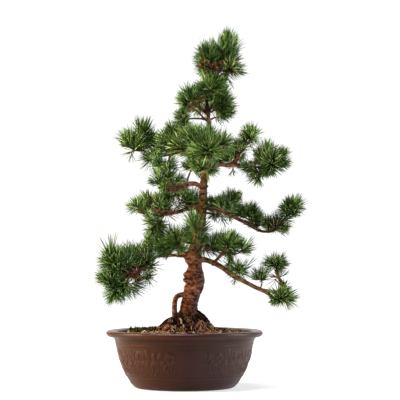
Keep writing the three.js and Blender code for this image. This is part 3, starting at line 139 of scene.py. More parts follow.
    "root_left_b": ((-1, 4, 124.2, 4.38), (-15.1, 12, 115.1, 3.69), (-27.5, 20, 104.9, 2.82), (-38.2, 27, 93.4, 1.94)),
    "root_front_a": ((4.4, -10, 128.2, 4.88), (-0, -22, 118.2, 4.34), (-5.8, -34, 109.4, 3.46), (-10.8, -44, 100.3, 2.41)),
    "root_front_b": ((13.1, -10, 128.2, 4.71), (16.6, -23, 118.3, 4.16), (23.6, -36, 108.5, 3.28), (30.4, -46, 99.4, 2.24)),
    "root_right_a": ((16.5, -4, 131.4, 4.37), (25.6, -7, 124.6, 3.32), (34, -10, 118.1, 2.79), (42.6, -13, 109.9, 2.26), (50.6, -16, 100.7, 1.74)),
    "root_right_b": ((16.5, 4, 125.9, 4.38), (27.7, 12, 115.8, 3.34), (39, 20, 106, 2.47), (49.2, 28, 95.1, 1.77)),
    "root_right_c": ((14.8, -8, 122.9, 4.01), (27, -17, 114.6, 3.30), (39.1, -26, 106.3, 2.43), (49.4, -34, 97.4, 1.73)),
    "root_back": ((9.5, 10, 127.4, 4.57), (11.1, 24, 116.4, 3.88), (16.4, 38, 105.2, 2.84), (23.4, 50, 92.2, 1.96)),
    "root_back_b": ((2.5, 8, 124, 3.86), (-4.7, 22, 112.9, 3.18), (-13.7, 34, 100.1, 2.13)),
}

# each needle-bearing shoot: cluster, foot x y z, direction, length, needle length, number of needles, kind of green, spread, seed
SHOOTS = [
    ("apex", 73.6, 3, 572.6, 0.065, -0.071, 0.995, 32, 29.4, 282, "f", 0.78, 97977),
    ("apex", 68.7, -7, 575.1, -0.12, -0.345, 0.931, 31.8, 18.6, 89, "d", 0.86, 40710),
    ("apex", 77.6, 5, 580.4, 0.323, 0.312, 0.894, 18.5, 30.1, 69, "d", 0.48, 10782),
    ("apex", 56.2, 22, 578.9, 0.005, 0.375, 0.927, 9.2, 31, 126, "d", 0.87, 58277),
    ("apex", 61.4, -6, 558.6, -0.148, 0.02, 0.989, 12, 16, 135, "b", 0.96, 41733),
    ("apex", 69.2, -6, 552.1, 0.687, 0.083, 0.722, 10.9, 20.7, 147, "r", 0.93, 713),
    ("apex_right", 78.6, -11, 556.6, 0.522, -0.601, 0.605, 4.1, 25.7, 162, "e", 1.25, 99068),
    ("apex_right", 79.5, 0, 568.9, 0.77, 0.015, 0.637, 4.3, 25.6, 47, "f", 0.90, 5049),
    ("apex_right", 88.2, 5, 554.1, 0.976, -0.213, -0.046, 3.3, 22.2, 31, "g", 0.65, 85395),
    ("apex_right", 70.8, -4, 555, 0.2, -0.473, -0.858, 5.2, 16.7, 15, "g", 0.57, 99783),
    ("apex_right", 76.2, 0, 540.7, 0.564, -0.2, -0.801, 5.4, 16.3, 7, "c", 0.30, 34242),
    ("apex_left", 42.8, -10, 568.5, -0.327, -0.093, 0.94, 13, 27.8, 234, "d", 0.85, 27499),
    ("apex_left", 36.8, -10, 565.5, -0.921, -0.189, 0.341, 8.1, 19.4, 87, "g", 1.14, 5084),
    ("apex_left", 35.8, -8, 559.8, -0.622, -0.239, -0.746, 4.6, 17.3, 73, "e", 1.06, 51671),
    ("apex_left", 49.6, -4, 563.7, -0.133, -0.138, 0.981, 10, 33.2, 70, "c", 1.10, 45331),
    ("apex_left", 43.6, -9, 547.5, -0.713, -0.243, 0.657, 17.4, 12.7, 59, "r", 0.42, 13736),
    ("apex_left", 59.2, -8, 547.1, -0.325, -0.37, 0.87, 12.3, 11.8, 33, "r", 0.69, 54545),
    ("crown_front", 45.5, -15, 518.4, 0.421, -0.239, 0.875, 10.4, 28, 328, "f", 0.97, 5119),
    ("crown_front", 34.6, -11, 519.6, -0.721, -0.49, 0.491, 5.6, 17, 140, "f", 1.34, 12753),
    ("crown_front", 59.6, -13, 529.7, 0.759, -0.337, 0.557, 10, 16.2, 95, "e", 1.05, 80412),
    ("crown_front", 46.9, 0, 534.2, 0.045, 0.623, 0.781, 18.8, 29.9, 153, "c", 0.99, 51721),
    ("shoulder_up", 12.7, -18, 497, -0.181, -0.372, 0.91, 13.4, 26.6, 164, "d", 0.96, 7735),
    ("shoulder_up", 8.3, -18, 494.9, -0.738, -0.284, 0.612, 6.5, 23.1, 103, "e", 0.53, 11947),
    ("shoulder_up", 7, -22, 490.3, -0.989, -0.083, -0.126, 4.9, 20.3, 60, "d", 1.03, 26372),
    ("shoulder_up", 25.2, 0, 505.9, 0.465, -0.135, 0.875, 15.7, 25.9, 113, "e", 0.85, 30943),
    ("shoulder_up", 16, -16, 483.1, -0.925, -0.346, 0.16, 12.1, 12.3, 41, "r", 0.46, 52068),
    ("top_right", 61.3, 10, 503.9, 0.393, -0.27, 0.879, 12.1, 23, 126, "g", 0.89, 8173),
    ("top_right", 62.9, 11, 491.9, 0.778, -0.61, 0.15, 8, 24.5, 350, "e", 0.96, 84206),
    ("top_right", 59.8, 12, 482.2, 0.99, -0.065, -0.129, 11.8, 21.8, 143, "f", 0.96, 93167),
    ("top_right", 49.6, 8, 502.8, 0.285, -0.152, 0.946, 13.3, 30.3, 134, "g", 0.86, 91747),
    ("shoulder", 2.3, -20, 458.4, -0.673, -0.653, 0.348, 7.5, 21.8, 169, "e", 0.88, 35901),
    ("shoulder", 1.1, -18, 465.6, -0.49, -0.2, 0.849, 9.5, 17.6, 167, "c", 1.07, 18985),
    ("shoulder", 1.7, -12, 458.9, 0.865, 0.441, 0.237, 3.3, 11.9, 33, "b", 0.98, 67156),
    ("inner_left_high", -28.2, -18, 424.8, -0.184, -0.821, 0.541, 11.2, 26.5, 246, "e", 0.94, 13492),
    ("inner_left_high", -18.7, -30, 441.1, -0.457, -0.347, 0.819, 7.9, 18.6, 90, "e", 0.87, 46457),
    ("inner_left_high", -20.1, -16, 440.3, 0.715, -0.61, 0.341, 6.1, 27.8, 124, "e", 0.92, 44996),
    ("inner_left_high", -26.1, -14, 410, -0.199, -0.612, 0.765, 5.8, 33.5, 148, "c", 1.05, 77807),
    ("far_left_high", -74.8, 35, 441.3, 0.039, -0.153, 0.987, 8.4, 29.3, 189, "c", 0.62, 78038),
    ("far_left_high", -95.3, 38, 426.1, -0.374, 0.006, 0.928, 10.9, 26.5, 143, "f", 0.70, 5266),
    ("far_left_high", -95.6, 37, 422.6, -0.868, -0.279, 0.41, 5.6, 20.4, 71, "f", 0.46, 5273),
    ("far_left_high", -89.1, 36, 415.1, -0.786, -0.233, -0.573, 2.4, 24.9, 7, "c", 0.59, 91889),
    ("far_left_high", -91.4, 35, 416.5, 0.415, -0.113, 0.903, 14, 29.7, 388, "e", 0.96, 95035),
    ("far_left_high", -93.5, 37, 417.3, -0.238, 0.206, -0.949, 12.1, 16.4, 9, "a", 0.81, 5294),
    ("left_dark", -62.4, 50, 429.9, 0.096, 0.235, 0.967, 9.4, 22, 95, "c", 0.81, 13575),
    ("left_dark", -69.7, 44, 421.4, 0.019, 0.06, 0.998, 11.6, 33.1, 75, "a", 1.15, 80927),
    ("left_dark", -60.4, 42, 425.2, 0.759, 0.003, 0.651, 8.2, 23.7, 125, "a", 1.08, 72417),
    ("left_low", -59.5, 24, 399.3, -0.644, -0.221, 0.732, 7.7, 17.5, 71, "f", 0.83, 34894),
    ("left_low", -61, 24, 398, -0.913, -0.312, -0.262, 3.9, 20.9, 9, "c", 0.70, 5329),
    ("left_low", -59.9, 24, 399.6, -0.479, -0.232, -0.846, 3.7, 24.6, 21, "b", 1.15, 55791),
    ("left_low", -53.2, 26, 406.1, 0.481, -0.044, 0.876, 7.6, 18.6, 69, "f", 1.10, 61359),
    ("left_low", -34.5, 13, 380.1, -0.654, -0.143, 0.743, 21.6, 20.6, 153, "b", 0.96, 36394),
    ("left_low", -32.2, 13, 383.2, 0.73, -0.214, 0.649, 6.4, 26.5, 57, "b", 0.67, 34923),
    ("left_front", -26.7, -38, 362.6, -0.065, -0.321, 0.945, 15.9, 20.7, 165, "b", 0.78, 5364),
    ("left_front", -40.5, -33, 352.5, -0.368, -0.125, 0.921, 12.9, 23.4, 69, "f", 0.90, 39283),
    ("left_front", -15.2, -34, 355.9, 0.846, -0.001, 0.533, 6, 18.8, 57, "d", 0.60, 66728),
    ("left_front", -44.8, -34, 352.7, -0.944, -0.111, 0.312, 10.5, 14.8, 27, "c", 0.49, 97065),
    ("left_front", -31.9, -28, 346.8, -0.815, 0.007, 0.58, 5.2, 13.8, 133, "i", 0.98, 4776),
    ("left_front", -17.3, -26, 339.7, 0.332, -0.181, -0.926, 5.1, 16.6, 37, "g", 1.16, 79902),
    ("inner_dark", 16.2, 6, 381.9, -0.198, 0.077, 0.977, 14.4, 19.6, 103, "c", 0.52, 5406),
    ("inner_dark", 14.2, 6, 381.8, -0.893, -0.081, 0.442, 7.1, 18.8, 76, "c", 0.46, 24221),
    ("inner_dark", 15.1, 6, 379.4, 0.801, 0.067, -0.595, 6, 26.9, 20, "e", 0.30, 5420),
    ("front_big", 40.1, -94, 405.1, 0.01, -0.88, 0.475, 5.7, 39, 337, "f", 1.01, 94040),
    ("front_big", 55, -86, 413.2, 0.689, -0.434, 0.58, 14.2, 27.1, 182, "e", 1.11, 5434),
    ("front_big", 36.1, -92, 406.8, -0.276, -0.196, -0.941, 4.9, 20.4, 89, "d", 1.09, 74938),
    ("front_big", 39.6, -80, 419.8, 0.101, -0.105, 0.989, 12.3, 27.8, 157, "d", 0.71, 71686),
    ("front_left", 18.1, -76, 415.2, -0.411, -0.245, 0.878, 17.5, 29.9, 287, "f", 0.84, 98261),
    ("front_left", 4.7, -70, 408.6, -0.834, -0.367, 0.411, 15.9, 32.5, 111, "e", 0.66, 68645),
    ("front_low", 31, -56, 379.7, -0.47, -0.321, 0.822, 11.4, 24, 309, "f", 1.02, 36177),
    ("front_low", 42.5, -54, 378.1, 0.926, -0.22, 0.306, 6.1, 17.6, 67, "e", 1.05, 34561),
    ("front_low", 34.6, -54, 376.1, -0.938, -0.308, 0.158, 13, 14.9, 69, "g", 0.72, 95637),
    ("front_low", 44.3, -52, 378.3, 0.048, -0.24, -0.97, 2.3, 13.1, 35, "i", 0.87, 81647),
    ("inner_right", 91.1, -22, 408, 0.029, 0.105, 0.994, 9.7, 20.9, 125, "d", 0.85, 56217),
    ("inner_right", 96.5, -24, 408.8, 0.537, -0.126, 0.834, 13.4, 21, 57, "f", 0.91, 5504),
    ("inner_right", 94.9, -24, 391.5, 0.501, -0.207, 0.84, 8.9, 13.2, 53, "f", 0.30, 48379),
    ("inner_right", 79.7, -24, 391.5, -0.502, -0.216, 0.838, 9.3, 19.6, 141, "d", 0.89, 14614),
    ("inner_right", 67, -18, 391.7, -0.426, -0.194, 0.884, 8.4, 25.7, 184, "e", 1.03, 90679),
    ("inner_right", 87.8, -26, 397.5, -0.418, -0.271, 0.867, 10.1, 16.9, 74, "c", 0.53, 24155),
    ("inner_right", 83.8, -20, 385.1, -0.014, -0.197, -0.98, 10.1, 13.3, 19, "d", 1.04, 78008),
    ("inner_right", 108.3, -26, 380.7, -0.527, -0.473, 0.706, 4.3, 19.3, 73, "d", 1.08, 5546),
    ("right_star", 114.1, -28, 431.4, 0.004, -0.042, 0.999, 9.4, 22.1, 204, "g", 1.11, 81968),
    ("right_star", 112.6, -27, 431, 0.828, -0.31, -0.468, 3.6, 18.6, 20, "b", 0.78, 69940),
    ("right_star", 109.3, -27, 425.6, -0.578, 0.221, 0.786, 8.4, 18.1, 65, "e", 0.88, 95490),
    ("right_big", 134.9, -30, 387.6, -0.173, -0.194, 0.966, 19.8, 18.4, 161, "c", 0.97, 5574),
    ("right_big", 150.3, -36, 383.7, 0.054, -0.825, 0.563, 16.4, 29.7, 358, "e", 1.23, 79401),
    ("right_big", 165.6, -38, 394.2, 0.26, -0.472, 0.842, 11.2, 19.5, 142, "f", 0.78, 90273),
    ("right_big", 163.1, -36, 384.9, 0.885, -0.413, 0.217, 13.8, 15.4, 69, "f", 0.85, 69447),
    ("right_big", 144, -30, 381.7, 0.137, -0.045, -0.99, 2.9, 18.4, 255, "d", 1.29, 85020),
    ("right_big", 115.4, -30, 379.3, -0.708, -0.419, 0.569, 8.5, 16.4, 60, "b", 1.35, 32399),
    ("right_big_low", 126.5, -28, 378.4, -0.891, -0.128, -0.436, 6.3, 21.2, 104, "c", 1.35, 5616),
    ("right_big_low", 128.5, -22, 366.6, -0.348, -0.105, -0.932, 1.7, 21.3, 57, "f", 0.78, 59089),
    ("right_big_low", 131.5, -22, 375.4, 0.382, 0.205, -0.901, 2.9, 14.4, 45, "f", 1.06, 60841),
    ("right_mid_front", 65.4, -24, 308.7, -0.247, 0.023, 0.969, 9.2, 21.5, 160, "e", 0.65, 23070),
    ("right_mid_front", 54.8, -6, 311.7, -0.45, -0.148, 0.881, 11.3, 17.9, 109, "c", 0.58, 48481),
    ("right_mid_front", 69.7, -22, 309.5, 0.584, -0.393, 0.71, 6, 15.8, 128, "d", 0.79, 95531),
    ("right_mid_front", 63.3, 16, 298.6, 0.598, -0.253, -0.761, 6.4, 15.5, 26, "c", 1.07, 93634),
    ("right_mid_front", 56.5, 14, 303.2, -0.934, -0.334, -0.125, 6.5, 17.4, 29, "c", 0.87, 88472),
    ("right_mid_up", 81.1, 12, 320.8, 0.18, -0.291, 0.94, 7.9, 23, 168, "e", 0.81, 5672),
    ("right_mid_up", 84.9, 12, 323.6, 0.655, -0.168, 0.737, 8.8, 17.8, 90, "e", 0.56, 21409),
    ("right_mid_b", 114.8, 30, 298, 0.183, -0.418, 0.89, 9.4, 23.6, 197, "e", 0.97, 5686),
    ("right_mid_b", 108.6, 30, 298.7, -0.617, -0.26, 0.743, 4.8, 22.8, 117, "b", 0.78, 65206),
    ("right_mid_b", 125.2, 36, 295.7, 0.704, -0.034, 0.709, 5, 17, 57, "g", 1.01, 13320),
    ("right_mid_c", 149.3, 44, 273.1, -0.079, -0.104, 0.992, 11.8, 21.9, 149, "c", 0.79, 63736),
    ("right_mid_c", 159.8, 40, 276.3, 0.369, 0.183, 0.911, 10, 25.9, 232, "a", 1.23, 84442),
    ("right_mid_c", 128.3, 46, 280, -0.227, -0.212, 0.951, 10.7, 26.4, 144, "c", 0.99, 75478),
    ("right_mid_c", 145.5, 42, 270.5, -0.88, -0.223, 0.419, 17.4, 15, 7, "h", 0.63, 96467),
    ("right_tip", 189, 30, 305.5, 0.012, -0.378, 0.926, 12, 25.1, 195, "e", 1.03, 92908),
    ("right_tip", 181.8, 30, 304.2, -0.651, -0.035, 0.758, 8.9, 18.5, 97, "d", 1.35, 49411),
    ("right_tip", 190.6, 29, 313.7, 0.763, -0.015, 0.646, 9.9, 20.4, 99, "f", 1.25, 1298),
    ("right_tip", 187.5, 29, 303.3, 0.933, -0.353, 0.07, 3.8, 14.9, 50, "f", 0.58, 72098),
    ("right_tip", 168.2, 24, 279.5, 0.991, -0.042, -0.126, 5.8, 16.9, 99, "e", 0.90, 59903),
    ("right_tip", 175.4, 28, 291.5, 0.826, -0.243, 0.508, 9, 17.7, 41, "d", 0.61, 91807),
    ("left_mid", -69.4, -14, 300.6, -0.35, 0.172, 0.921, 19.2, 22.3, 137, "g", 0.75, 88037),
    ("left_mid", -77.9, -38, 311.3, -0.69, 0.354, 0.631, 7, 21, 77, "f", 0.96, 5784),
    ("left_mid", -63.2, 14, 313, -0.145, 0.028, 0.989, 12, 23.8, 110, "c", 0.56, 42617),
    ("left_mid", -85, -39, 309.9, -0.961, 0.199, 0.193, 2.4, 14.6, 23, "c", 0.81, 95197),
    ("left_mid_in", -42.8, -40, 310.1, -0.085, -0.221, 0.972, 13.1, 20.3, 184, "f", 0.57, 17211),
    ("left_mid_in", -35.8, -20, 311.2, 0.166, -0.292, 0.942, 20.2, 19.4, 314, "f", 0.80, 37906),
    ("left_mid_in", -17.1, -12, 310.6, 0.748, -0.071, 0.66, 28.7, 23.4, 69, "d", 1.11, 25709),
    ("inner_mid_dark", 10.8, 13, 317.6, -0.161, 0.033, 0.986, 7.9, 34.8, 202, "e", 1.08, 58457),
    ("left_down", -46, -33, 287.7, -0.087, 0.371, -0.925, 9.1, 21, 140, "c", 1.25, 92561),
    ("left_down", -49.1, -33, 284.3, -0.682, -0.368, 0.632, 8, 22.3, 79, "g", 0.75, 16404),
    ("left_down", -46.6, -32, 285.3, 0.514, 0.14, 0.847, 4, 14.5, 25, "d", 0.79, 41452),
    ("left_down", -52.2, -33, 275.1, -0.529, -0.709, -0.466, 8.6, 17.4, 69, "d", 1.13, 5854),
    ("left_low_back", -60.1, 4, 243.1, -0.155, 0.027, 0.988, 13.4, 16.8, 111, "c", 0.80, 42981),
    ("left_low_back", -47.5, -6, 249.1, 0.099, -0.083, 0.992, 11, 28.4, 141, "a", 0.69, 18079),
    ("low_left_rise", -13.4, -36, 252.5, -0.494, -0.091, 0.865, 11.8, 26.7, 91, "f", 1.01, 34258),
    ("low_left_rise", -11.4, -36, 248.4, -0.789, -0.373, 0.488, 4.5, 27.7, 249, "e", 1.24, 83853),
    ("low_left_rise", -27.9, -38, 244, -0.979, 0.122, 0.164, 12.6, 25.5, 145, "f", 1.10, 77750),
    ("low_left_rise", -20.5, -26, 236.7, -0.91, -0.41, 0.063, 12.3, 22.5, 89, "f", 0.71, 8971),
    ("front_fan", 17.6, -56, 268, -0.151, -0.203, 0.967, 24.1, 26, 121, "f", 0.88, 54009),
    ("front_fan", 27, -46, 248.3, 0.149, -0.191, 0.97, 8.1, 20.7, 91, "e", 1.03, 61663),
    ("front_fan", 12.3, -42, 246.5, -0.208, -0.212, 0.955, 7.4, 20.6, 55, "g", 1.21, 7420),
    ("front_fan", -0.9, -24, 236.1, -0.42, -0.505, 0.754, 5.4, 17.2, 110, "h", 0.83, 58710),
    ("right_low_dark", 47.3, -18, 239.2, 0.73, -0.446, 0.518, 11.8, 29.6, 166, "c", 0.99, 26836),
    ("right_low_dark", 34.9, -18, 242.3, 0.16, -0.011, -0.987, 1.7, 22.7, 30, "b", 0.98, 81024),
    ("right_low_dark", 41.9, -12, 242.1, -0.346, -0.063, 0.936, 6.7, 20.2, 84, "e", 0.66, 53092),
    ("right_low", 73.9, -33, 241, -0.068, -0.68, 0.73, 17.4, 28.2, 141, "g", 0.80, 47682),
    ("right_low", 80.7, -32, 244.5, 0.278, -0.34, 0.898, 6.3, 25.3, 178, "e", 1.01, 6438),
    ("right_low", 79.5, -30, 238.3, 0.866, -0.015, 0.501, 20.1, 18.9, 106, "d", 1.34, 17813),
    ("right_low", 77.7, -29, 240, 0.082, -0.292, -0.953, 19.9, 14, 95, "g", 0.59, 29943),
    ("right_low", 97.8, -32, 238.3, 0.79, -0.107, 0.604, 6.8, 23.9, 49, "d", 0.73, 14404),
    ("right_low", 93, -32, 236.6, 0.981, -0.191, -0.026, 10.9, 22.2, 21, "c", 0.42, 35799),
    ("right_mid_front", 55.5, 10, 305.6, 0.142, 0.029, -0.989, 2.7, 15.7, 46, "b", 0.88, 16790),
    ("right_mid_front", 75.6, 4, 301.6, 0.452, -0.226, -0.863, 5.3, 11.3, 20, "c", 1.23, 61595),
    ("right_low_star", 92.8, -44, 201.7, -0.39, -0.422, 0.818, 6.3, 22, 123, "e", 1.35, 32761),
    ("right_low_star", 91.7, -44, 200, 0.914, -0.06, 0.402, 8.7, 22.3, 43, "b", 0.96, 41252),
    ("right_low_star", 76.8, -30, 214.5, -0.624, -0.668, -0.404, 1.8, 12.7, 23, "c", 0.79, 89426),
    ("right_low_star", 105.3, -44, 209.3, 0.592, -0.072, 0.803, 6.2, 25.6, 6, "b", 0.49, 6029),
    ("right_low_star", 87.8, -30, 189.8, -0.234, -0.19, -0.954, 5.2, 9.5, 13, "f", 0.73, 26854),
    ("right_spur", 131.6, -43, 187.3, -0.135, -0.612, 0.779, 4.3, 25.2, 95, "c", 0.79, 86181),
    ("right_spur", 134.1, -43, 192.4, -0.964, -0.027, 0.266, 7.6, 14.2, 29, "d", 0.68, 50703),
    ("right_spur", 134.9, -43, 187.2, 0.171, -0.129, 0.977, 4.4, 29.2, 12, "b", 0.63, 54344),
    ("right_end_up", 157.2, -40, 213, -0.896, -0.269, 0.353, 9.8, 19.6, 101, "f", 0.98, 64193),
    ("right_end_up", 159.3, -40, 214.2, 0.583, -0.189, 0.79, 3.3, 22.2, 129, "e", 0.99, 34427),
    ("right_end_up", 157, -41, 211.7, 0.931, -0.342, 0.13, 3, 18.5, 167, "c", 1.08, 6078),
    ("right_end_up", 165.1, -43, 192.7, 0.751, 0.206, 0.627, 2.1, 20.2, 10, "d", 0.30, 6085),
    ("right_end_up", 161.1, -44, 192, -0.937, -0.258, 0.237, 2.2, 23.3, 13, "r", 0.79, 91785),
    ("right_end", 164.9, -50, 156.5, -0.096, -0.88, 0.465, 5.3, 25.5, 193, "f", 0.96, 92392),
    ("right_end", 168.6, -50, 158.2, 0.813, -0.582, 0.025, 8.1, 26.9, 100, "f", 0.92, 41411),
    ("right_end", 164.1, -50, 160.1, 0.258, -0.271, -0.927, 5.7, 16.6, 73, "e", 1.29, 6113),
    ("right_end", 158.4, -49, 153.4, -0.869, -0.424, -0.256, 3.2, 13.1, 51, "d", 0.88, 91096),
    ("right_end", 172.3, -46, 170.5, 0.009, -0.3, 0.954, 9.9, 11.2, 53, "e", 1.20, 67673),
    ("low_left_up", -100.4, -42, 209.7, -0.167, -0.449, 0.878, 8.5, 32, 199, "b", 0.93, 23227),
    ("low_left_up", -80, -30, 205.7, 0.366, 0.397, 0.842, 11.5, 28.7, 348, "e", 1.02, 55292),
    ("low_left_up", -64.2, -34, 214.3, 0.047, -0.04, 0.998, 13.6, 28.8, 254, "c", 0.70, 34321),
    ("low_left_up", -108.9, -42, 206, -0.84, -0.371, 0.395, 7.7, 35.1, 188, "d", 1.05, 6155),
    ("low_left_up", -87.6, -38, 226, -0.244, -0.31, 0.919, 13.1, 27.6, 19, "b", 0.56, 79572),
    ("low_left_up", -95, -43, 191.7, -0.867, 0.032, 0.497, 17.2, 18.5, 153, "r", 0.84, 82945),
    ("low_left_up", -75.2, -38, 199.4, -0.999, -0.029, 0.042, 13.2, 16.5, 176, "r", 1.09, 7409),
    ("low_left_tip", -114.2, -51, 210.3, -0.068, 0.056, 0.996, 12.6, 28.6, 212, "g", 0.87, 632),
    ("low_left_tip", -124, -54, 219.9, -0.204, -0.2, 0.958, 9.1, 24.1, 101, "f", 0.80, 6190),
    ("low_left_tip", -123.4, -54, 216.1, -0.822, -0.309, 0.477, 10.8, 21.5, 81, "f", 1.04, 19835),
    ("low_left_tip", -124.8, -54, 228.3, -0.101, -0.221, 0.97, 7, 34.4, 25, "c", 0.67, 89535),
    ("low_left_in", -60, -39, 211.2, 0.926, -0.126, 0.355, 3.2, 19.2, 37, "c", 0.92, 6211),
    ("low_left_in", -65.2, -50, 193.1, 0.808, -0.575, 0.129, 2.1, 17.4, 55, "c", 1.18, 59296),
    ("low_left_in", -64.1, -49, 191.8, 0.902, -0.43, -0.047, 5.3, 18, 17, "b", 1.35, 25084),
    ("low_left_out", -124.7, -58, 185.3, -0.877, -0.187, 0.443, 14.3, 19.3, 129, "f", 0.88, 71382),
    ("low_left_out", -123.4, -56, 180.8, -0.092, -0.273, 0.958, 8.5, 27.1, 176, "d", 1.01, 50690),
    ("low_left_out", -111.4, -50, 174, 0.098, -0.065, 0.993, 5.1, 15.8, 154, "d", 1.28, 43895),
    ("low_left_end", -118.1, -54, 169.6, -0.158, -0.668, -0.727, 5, 26.8, 150, "g", 1.01, 14171),
    ("low_left_end", -104.9, -52, 178.8, 0.379, -0.654, -0.655, 6.9, 25.6, 111, "f", 1.06, 25485),
    ("low_left_end", -116.2, -54, 175.2, -0.922, -0.359, -0.144, 6.3, 19.8, 49, "g", 0.93, 94609),
    ("low_left_end", -89.1, -38, 180.8, 0.845, 0.18, 0.504, 13.2, 25.4, 59, "c", 0.93, 95664),
    ("low_left_end", -92.4, -40, 175.5, 0.924, -0.03, -0.381, 7.4, 19.8, 35, "b", 0.94, 6281),
    ("back_high", 20.7, 56, 495.6, -0.575, 0.515, 0.636, 19, 32, 101, "d", 1.13, 29517),
    ("back_high", 33.4, 44, 491.8, -0.392, 0.587, 0.708, 10.7, 27.1, 162, "f", 1.35, 7159),
    ("back_high", 61.9, 58, 497.2, 0.034, 0.627, 0.778, 5.1, 29.5, 188, "f", 1.35, 69603),
    ("back_mid", 28.1, 104, 437.9, -0.185, 0.7, 0.69, 14.5, 29.1, 200, "d", 1.00, 6309),
    ("back_mid", 32.4, 84, 431, 0.173, 0.1, 0.98, 10.8, 25.3, 130, "b", 1.00, 6316),
    ("back_mid", 57, 98, 425.4, 0.4, 0.6, 0.693, 14.5, 25.4, 170, "f", 1.00, 6323),
    ("back_mid", 10.8, 70, 415.5, -0.702, 0.4, 0.589, 12.6, 23.3, 150, "f", 1.00, 6330),
    ("back_right", 150.1, 88, 399.1, 0.296, 0.5, 0.814, 14.5, 25.3, 170, "e", 1.00, 6337),
    ("back_right", 137.1, 80, 396.3, -0.139, 0.6, 0.788, 10.8, 21.6, 110, "d", 1.00, 6344),
    ("back_right", 145.4, 62, 411.9, 0, 0.2, 0.98, 10.7, 21.5, 110, "f", 1.00, 6351),
    ("back_left", -25.1, 68, 359.1, -0.387, 0.4, 0.831, 12.6, 21.5, 150, "f", 1.00, 6358),
    ("back_left", -17, 58, 345.1, -0.013, 0.362, 0.932, 8.1, 28.2, 175, "b", 1.30, 93999),
    ("back_low_right", 72.9, 90, 314.9, 0.075, 0.5, 0.863, 14.5, 23.5, 170, "f", 1.00, 6372),
    ("back_low_right", 86.2, 68, 309.6, 0.403, 0.3, 0.865, 10.8, 19.7, 120, "f", 1.00, 6379),
    ("back_low_left", 9.7, 86, 260, -0.274, 0.6, 0.752, 14.4, 25.3, 170, "f", 1.00, 6386),
    ("back_low_left", 27, 72, 269.4, 0.15, 0.5, 0.853, 12.6, 23.4, 130, "d", 1.00, 6393),
    ("back_base_left", -77.8, 90, 224.5, -0.458, 0.4, 0.794, 14.5, 23.5, 160, "d", 1.00, 6400),
    ("back_base_left", -98.5, 68, 221.4, -0.34, 0.1, 0.935, 12.6, 23.3, 120, "b", 1.00, 6407),
    ("back_base_left", -41.7, 90, 241.4, 0.08, 0.4, 0.913, 12.7, 23.5, 150, "d", 1.00, 6414),
    ("back_base_right", 82.7, 74, 244.8, 0.237, 0.4, 0.885, 12.6, 23.4, 150, "f", 1.00, 6421),
    ("back_base_right", 61.1, 68, 247.2, -0.15, 0.5, 0.853, 12.6, 21.5, 130, "e", 1.00, 6428),
    ("back_midleft", -57.6, 76, 313.4, -0.313, 0.4, 0.861, 12.6, 23.4, 150, "g", 1.00, 6435),
    ("back_midleft", -32.6, 38, 304.3, -0.233, -0.496, 0.836, 7.4, 32, 175, "c", 1.25, 61518),
    ("apex", 66.9, 2.5, 561.5, 0.427, 0.181, 0.886, 12.9, 27, 38, "f", 2, 8001),
    ("apex", 69.9, 0, 571.5, -0.08, -0.703, 0.707, 7.6, 17.1, 22, "d", 2, 8002),
    ("apex", 71, 4.2, 569.5, 0.357, 0.128, 0.925, 12.4, 27.7, 37, "d", 2, 8003),
    ("apex", 58.3, 14.5, 568.8, -0.105, 0.639, 0.762, 11.7, 28.5, 35, "d", 2, 8004),
    ("apex", 58.1, 0.5, 553.3, 0.855, 0.125, 0.504, 5.4, 14.7, 16, "b", 2, 8005),
    ("apex_right", 68.5, -3.2, 553.3, 0.855, -0.441, 0.273, 12.7, 23.6, 37, "e", 2, 8006),
    ("apex_left", 47.3, -4.7, 558.7, -0.501, -0.375, 0.78, 12.2, 25.6, 36, "d", 2, 8007),
    ("apex_left", 45.3, -5.6, 557.9, -0.671, -0.337, 0.661, 12.1, 17.9, 36, "g", 2, 8008),
    ("apex_left", 51.1, -2.2, 554.9, -0.635, -0.406, 0.658, 7.6, 30.5, 22, "c", 2, 8009),
    ("crown_front", 41.9, -6.8, 516.1, 0.188, -0.826, 0.532, 8.5, 25.8, 25, "f", 2, 8010),
    ("crown_front", 39, -4.5, 524.9, -0.708, -0.682, -0.184, 8.3, 15.6, 24, "f", 2, 8011),
    ("crown_front", 50.6, -5.2, 527.6, 0.723, -0.628, -0.287, 10.8, 14.9, 32, "e", 2, 8012),
    ("shoulder_up", 21.8, -12, 490.2, -0.753, -0.463, 0.468, 13, 24.5, 38, "d", 2, 8013),
    ("shoulder_up", 12.2, -18.5, 487.3, -0.799, -0.46, 0.388, 7.1, 18.7, 21, "d", 2, 8014),
    ("shoulder_up", 25.6, -5, 493.7, -0.233, 0.364, 0.902, 12.8, 23.8, 38, "e", 2, 8015),
    ("top_right", 48.6, 5, 498.9, 0.309, 0.34, 0.888, 12.5, 21.2, 37, "g", 2, 8016),
    ("top_right", 53.4, 5, 485.5, 0.752, 0.471, 0.461, 12.7, 22.6, 38, "e", 2, 8017),
    ("top_right", 52.5, 4.5, 472.2, 0.828, 0.467, 0.31, 12.8, 20, 38, "f", 2, 8018),
    ("top_right", 46.8, 2.8, 491.8, 0.202, 0.287, 0.936, 12.5, 27.9, 37, "g", 2, 8019),
    ("front_big", 36.6, -82.3, 402.7, 0.045, -0.944, 0.327, 12.4, 35.9, 37, "f", 2, 8020),
    ("front_big", 47.4, -78.7, 407.2, 0.619, -0.598, 0.508, 12.3, 24.9, 36, "e", 2, 8021),
    ("front_left", 24.9, -69, 406.7, -0.63, -0.604, 0.488, 11.6, 27.5, 34, "f", 2, 8022),
    ("front_low", 38.4, -44, 378.6, 0.053, -0.993, -0.104, 12.1, 22.1, 36, "f", 2, 8023),
    ("right_big", 152.5, -36.2, 387.8, 0.882, -0.147, 0.448, 12.5, 17.9, 37, "f", 2, 8024),
    ("right_big", 148.1, -35, 386.3, 0.899, -0.184, 0.398, 12.7, 14.2, 38, "f", 2, 8025),
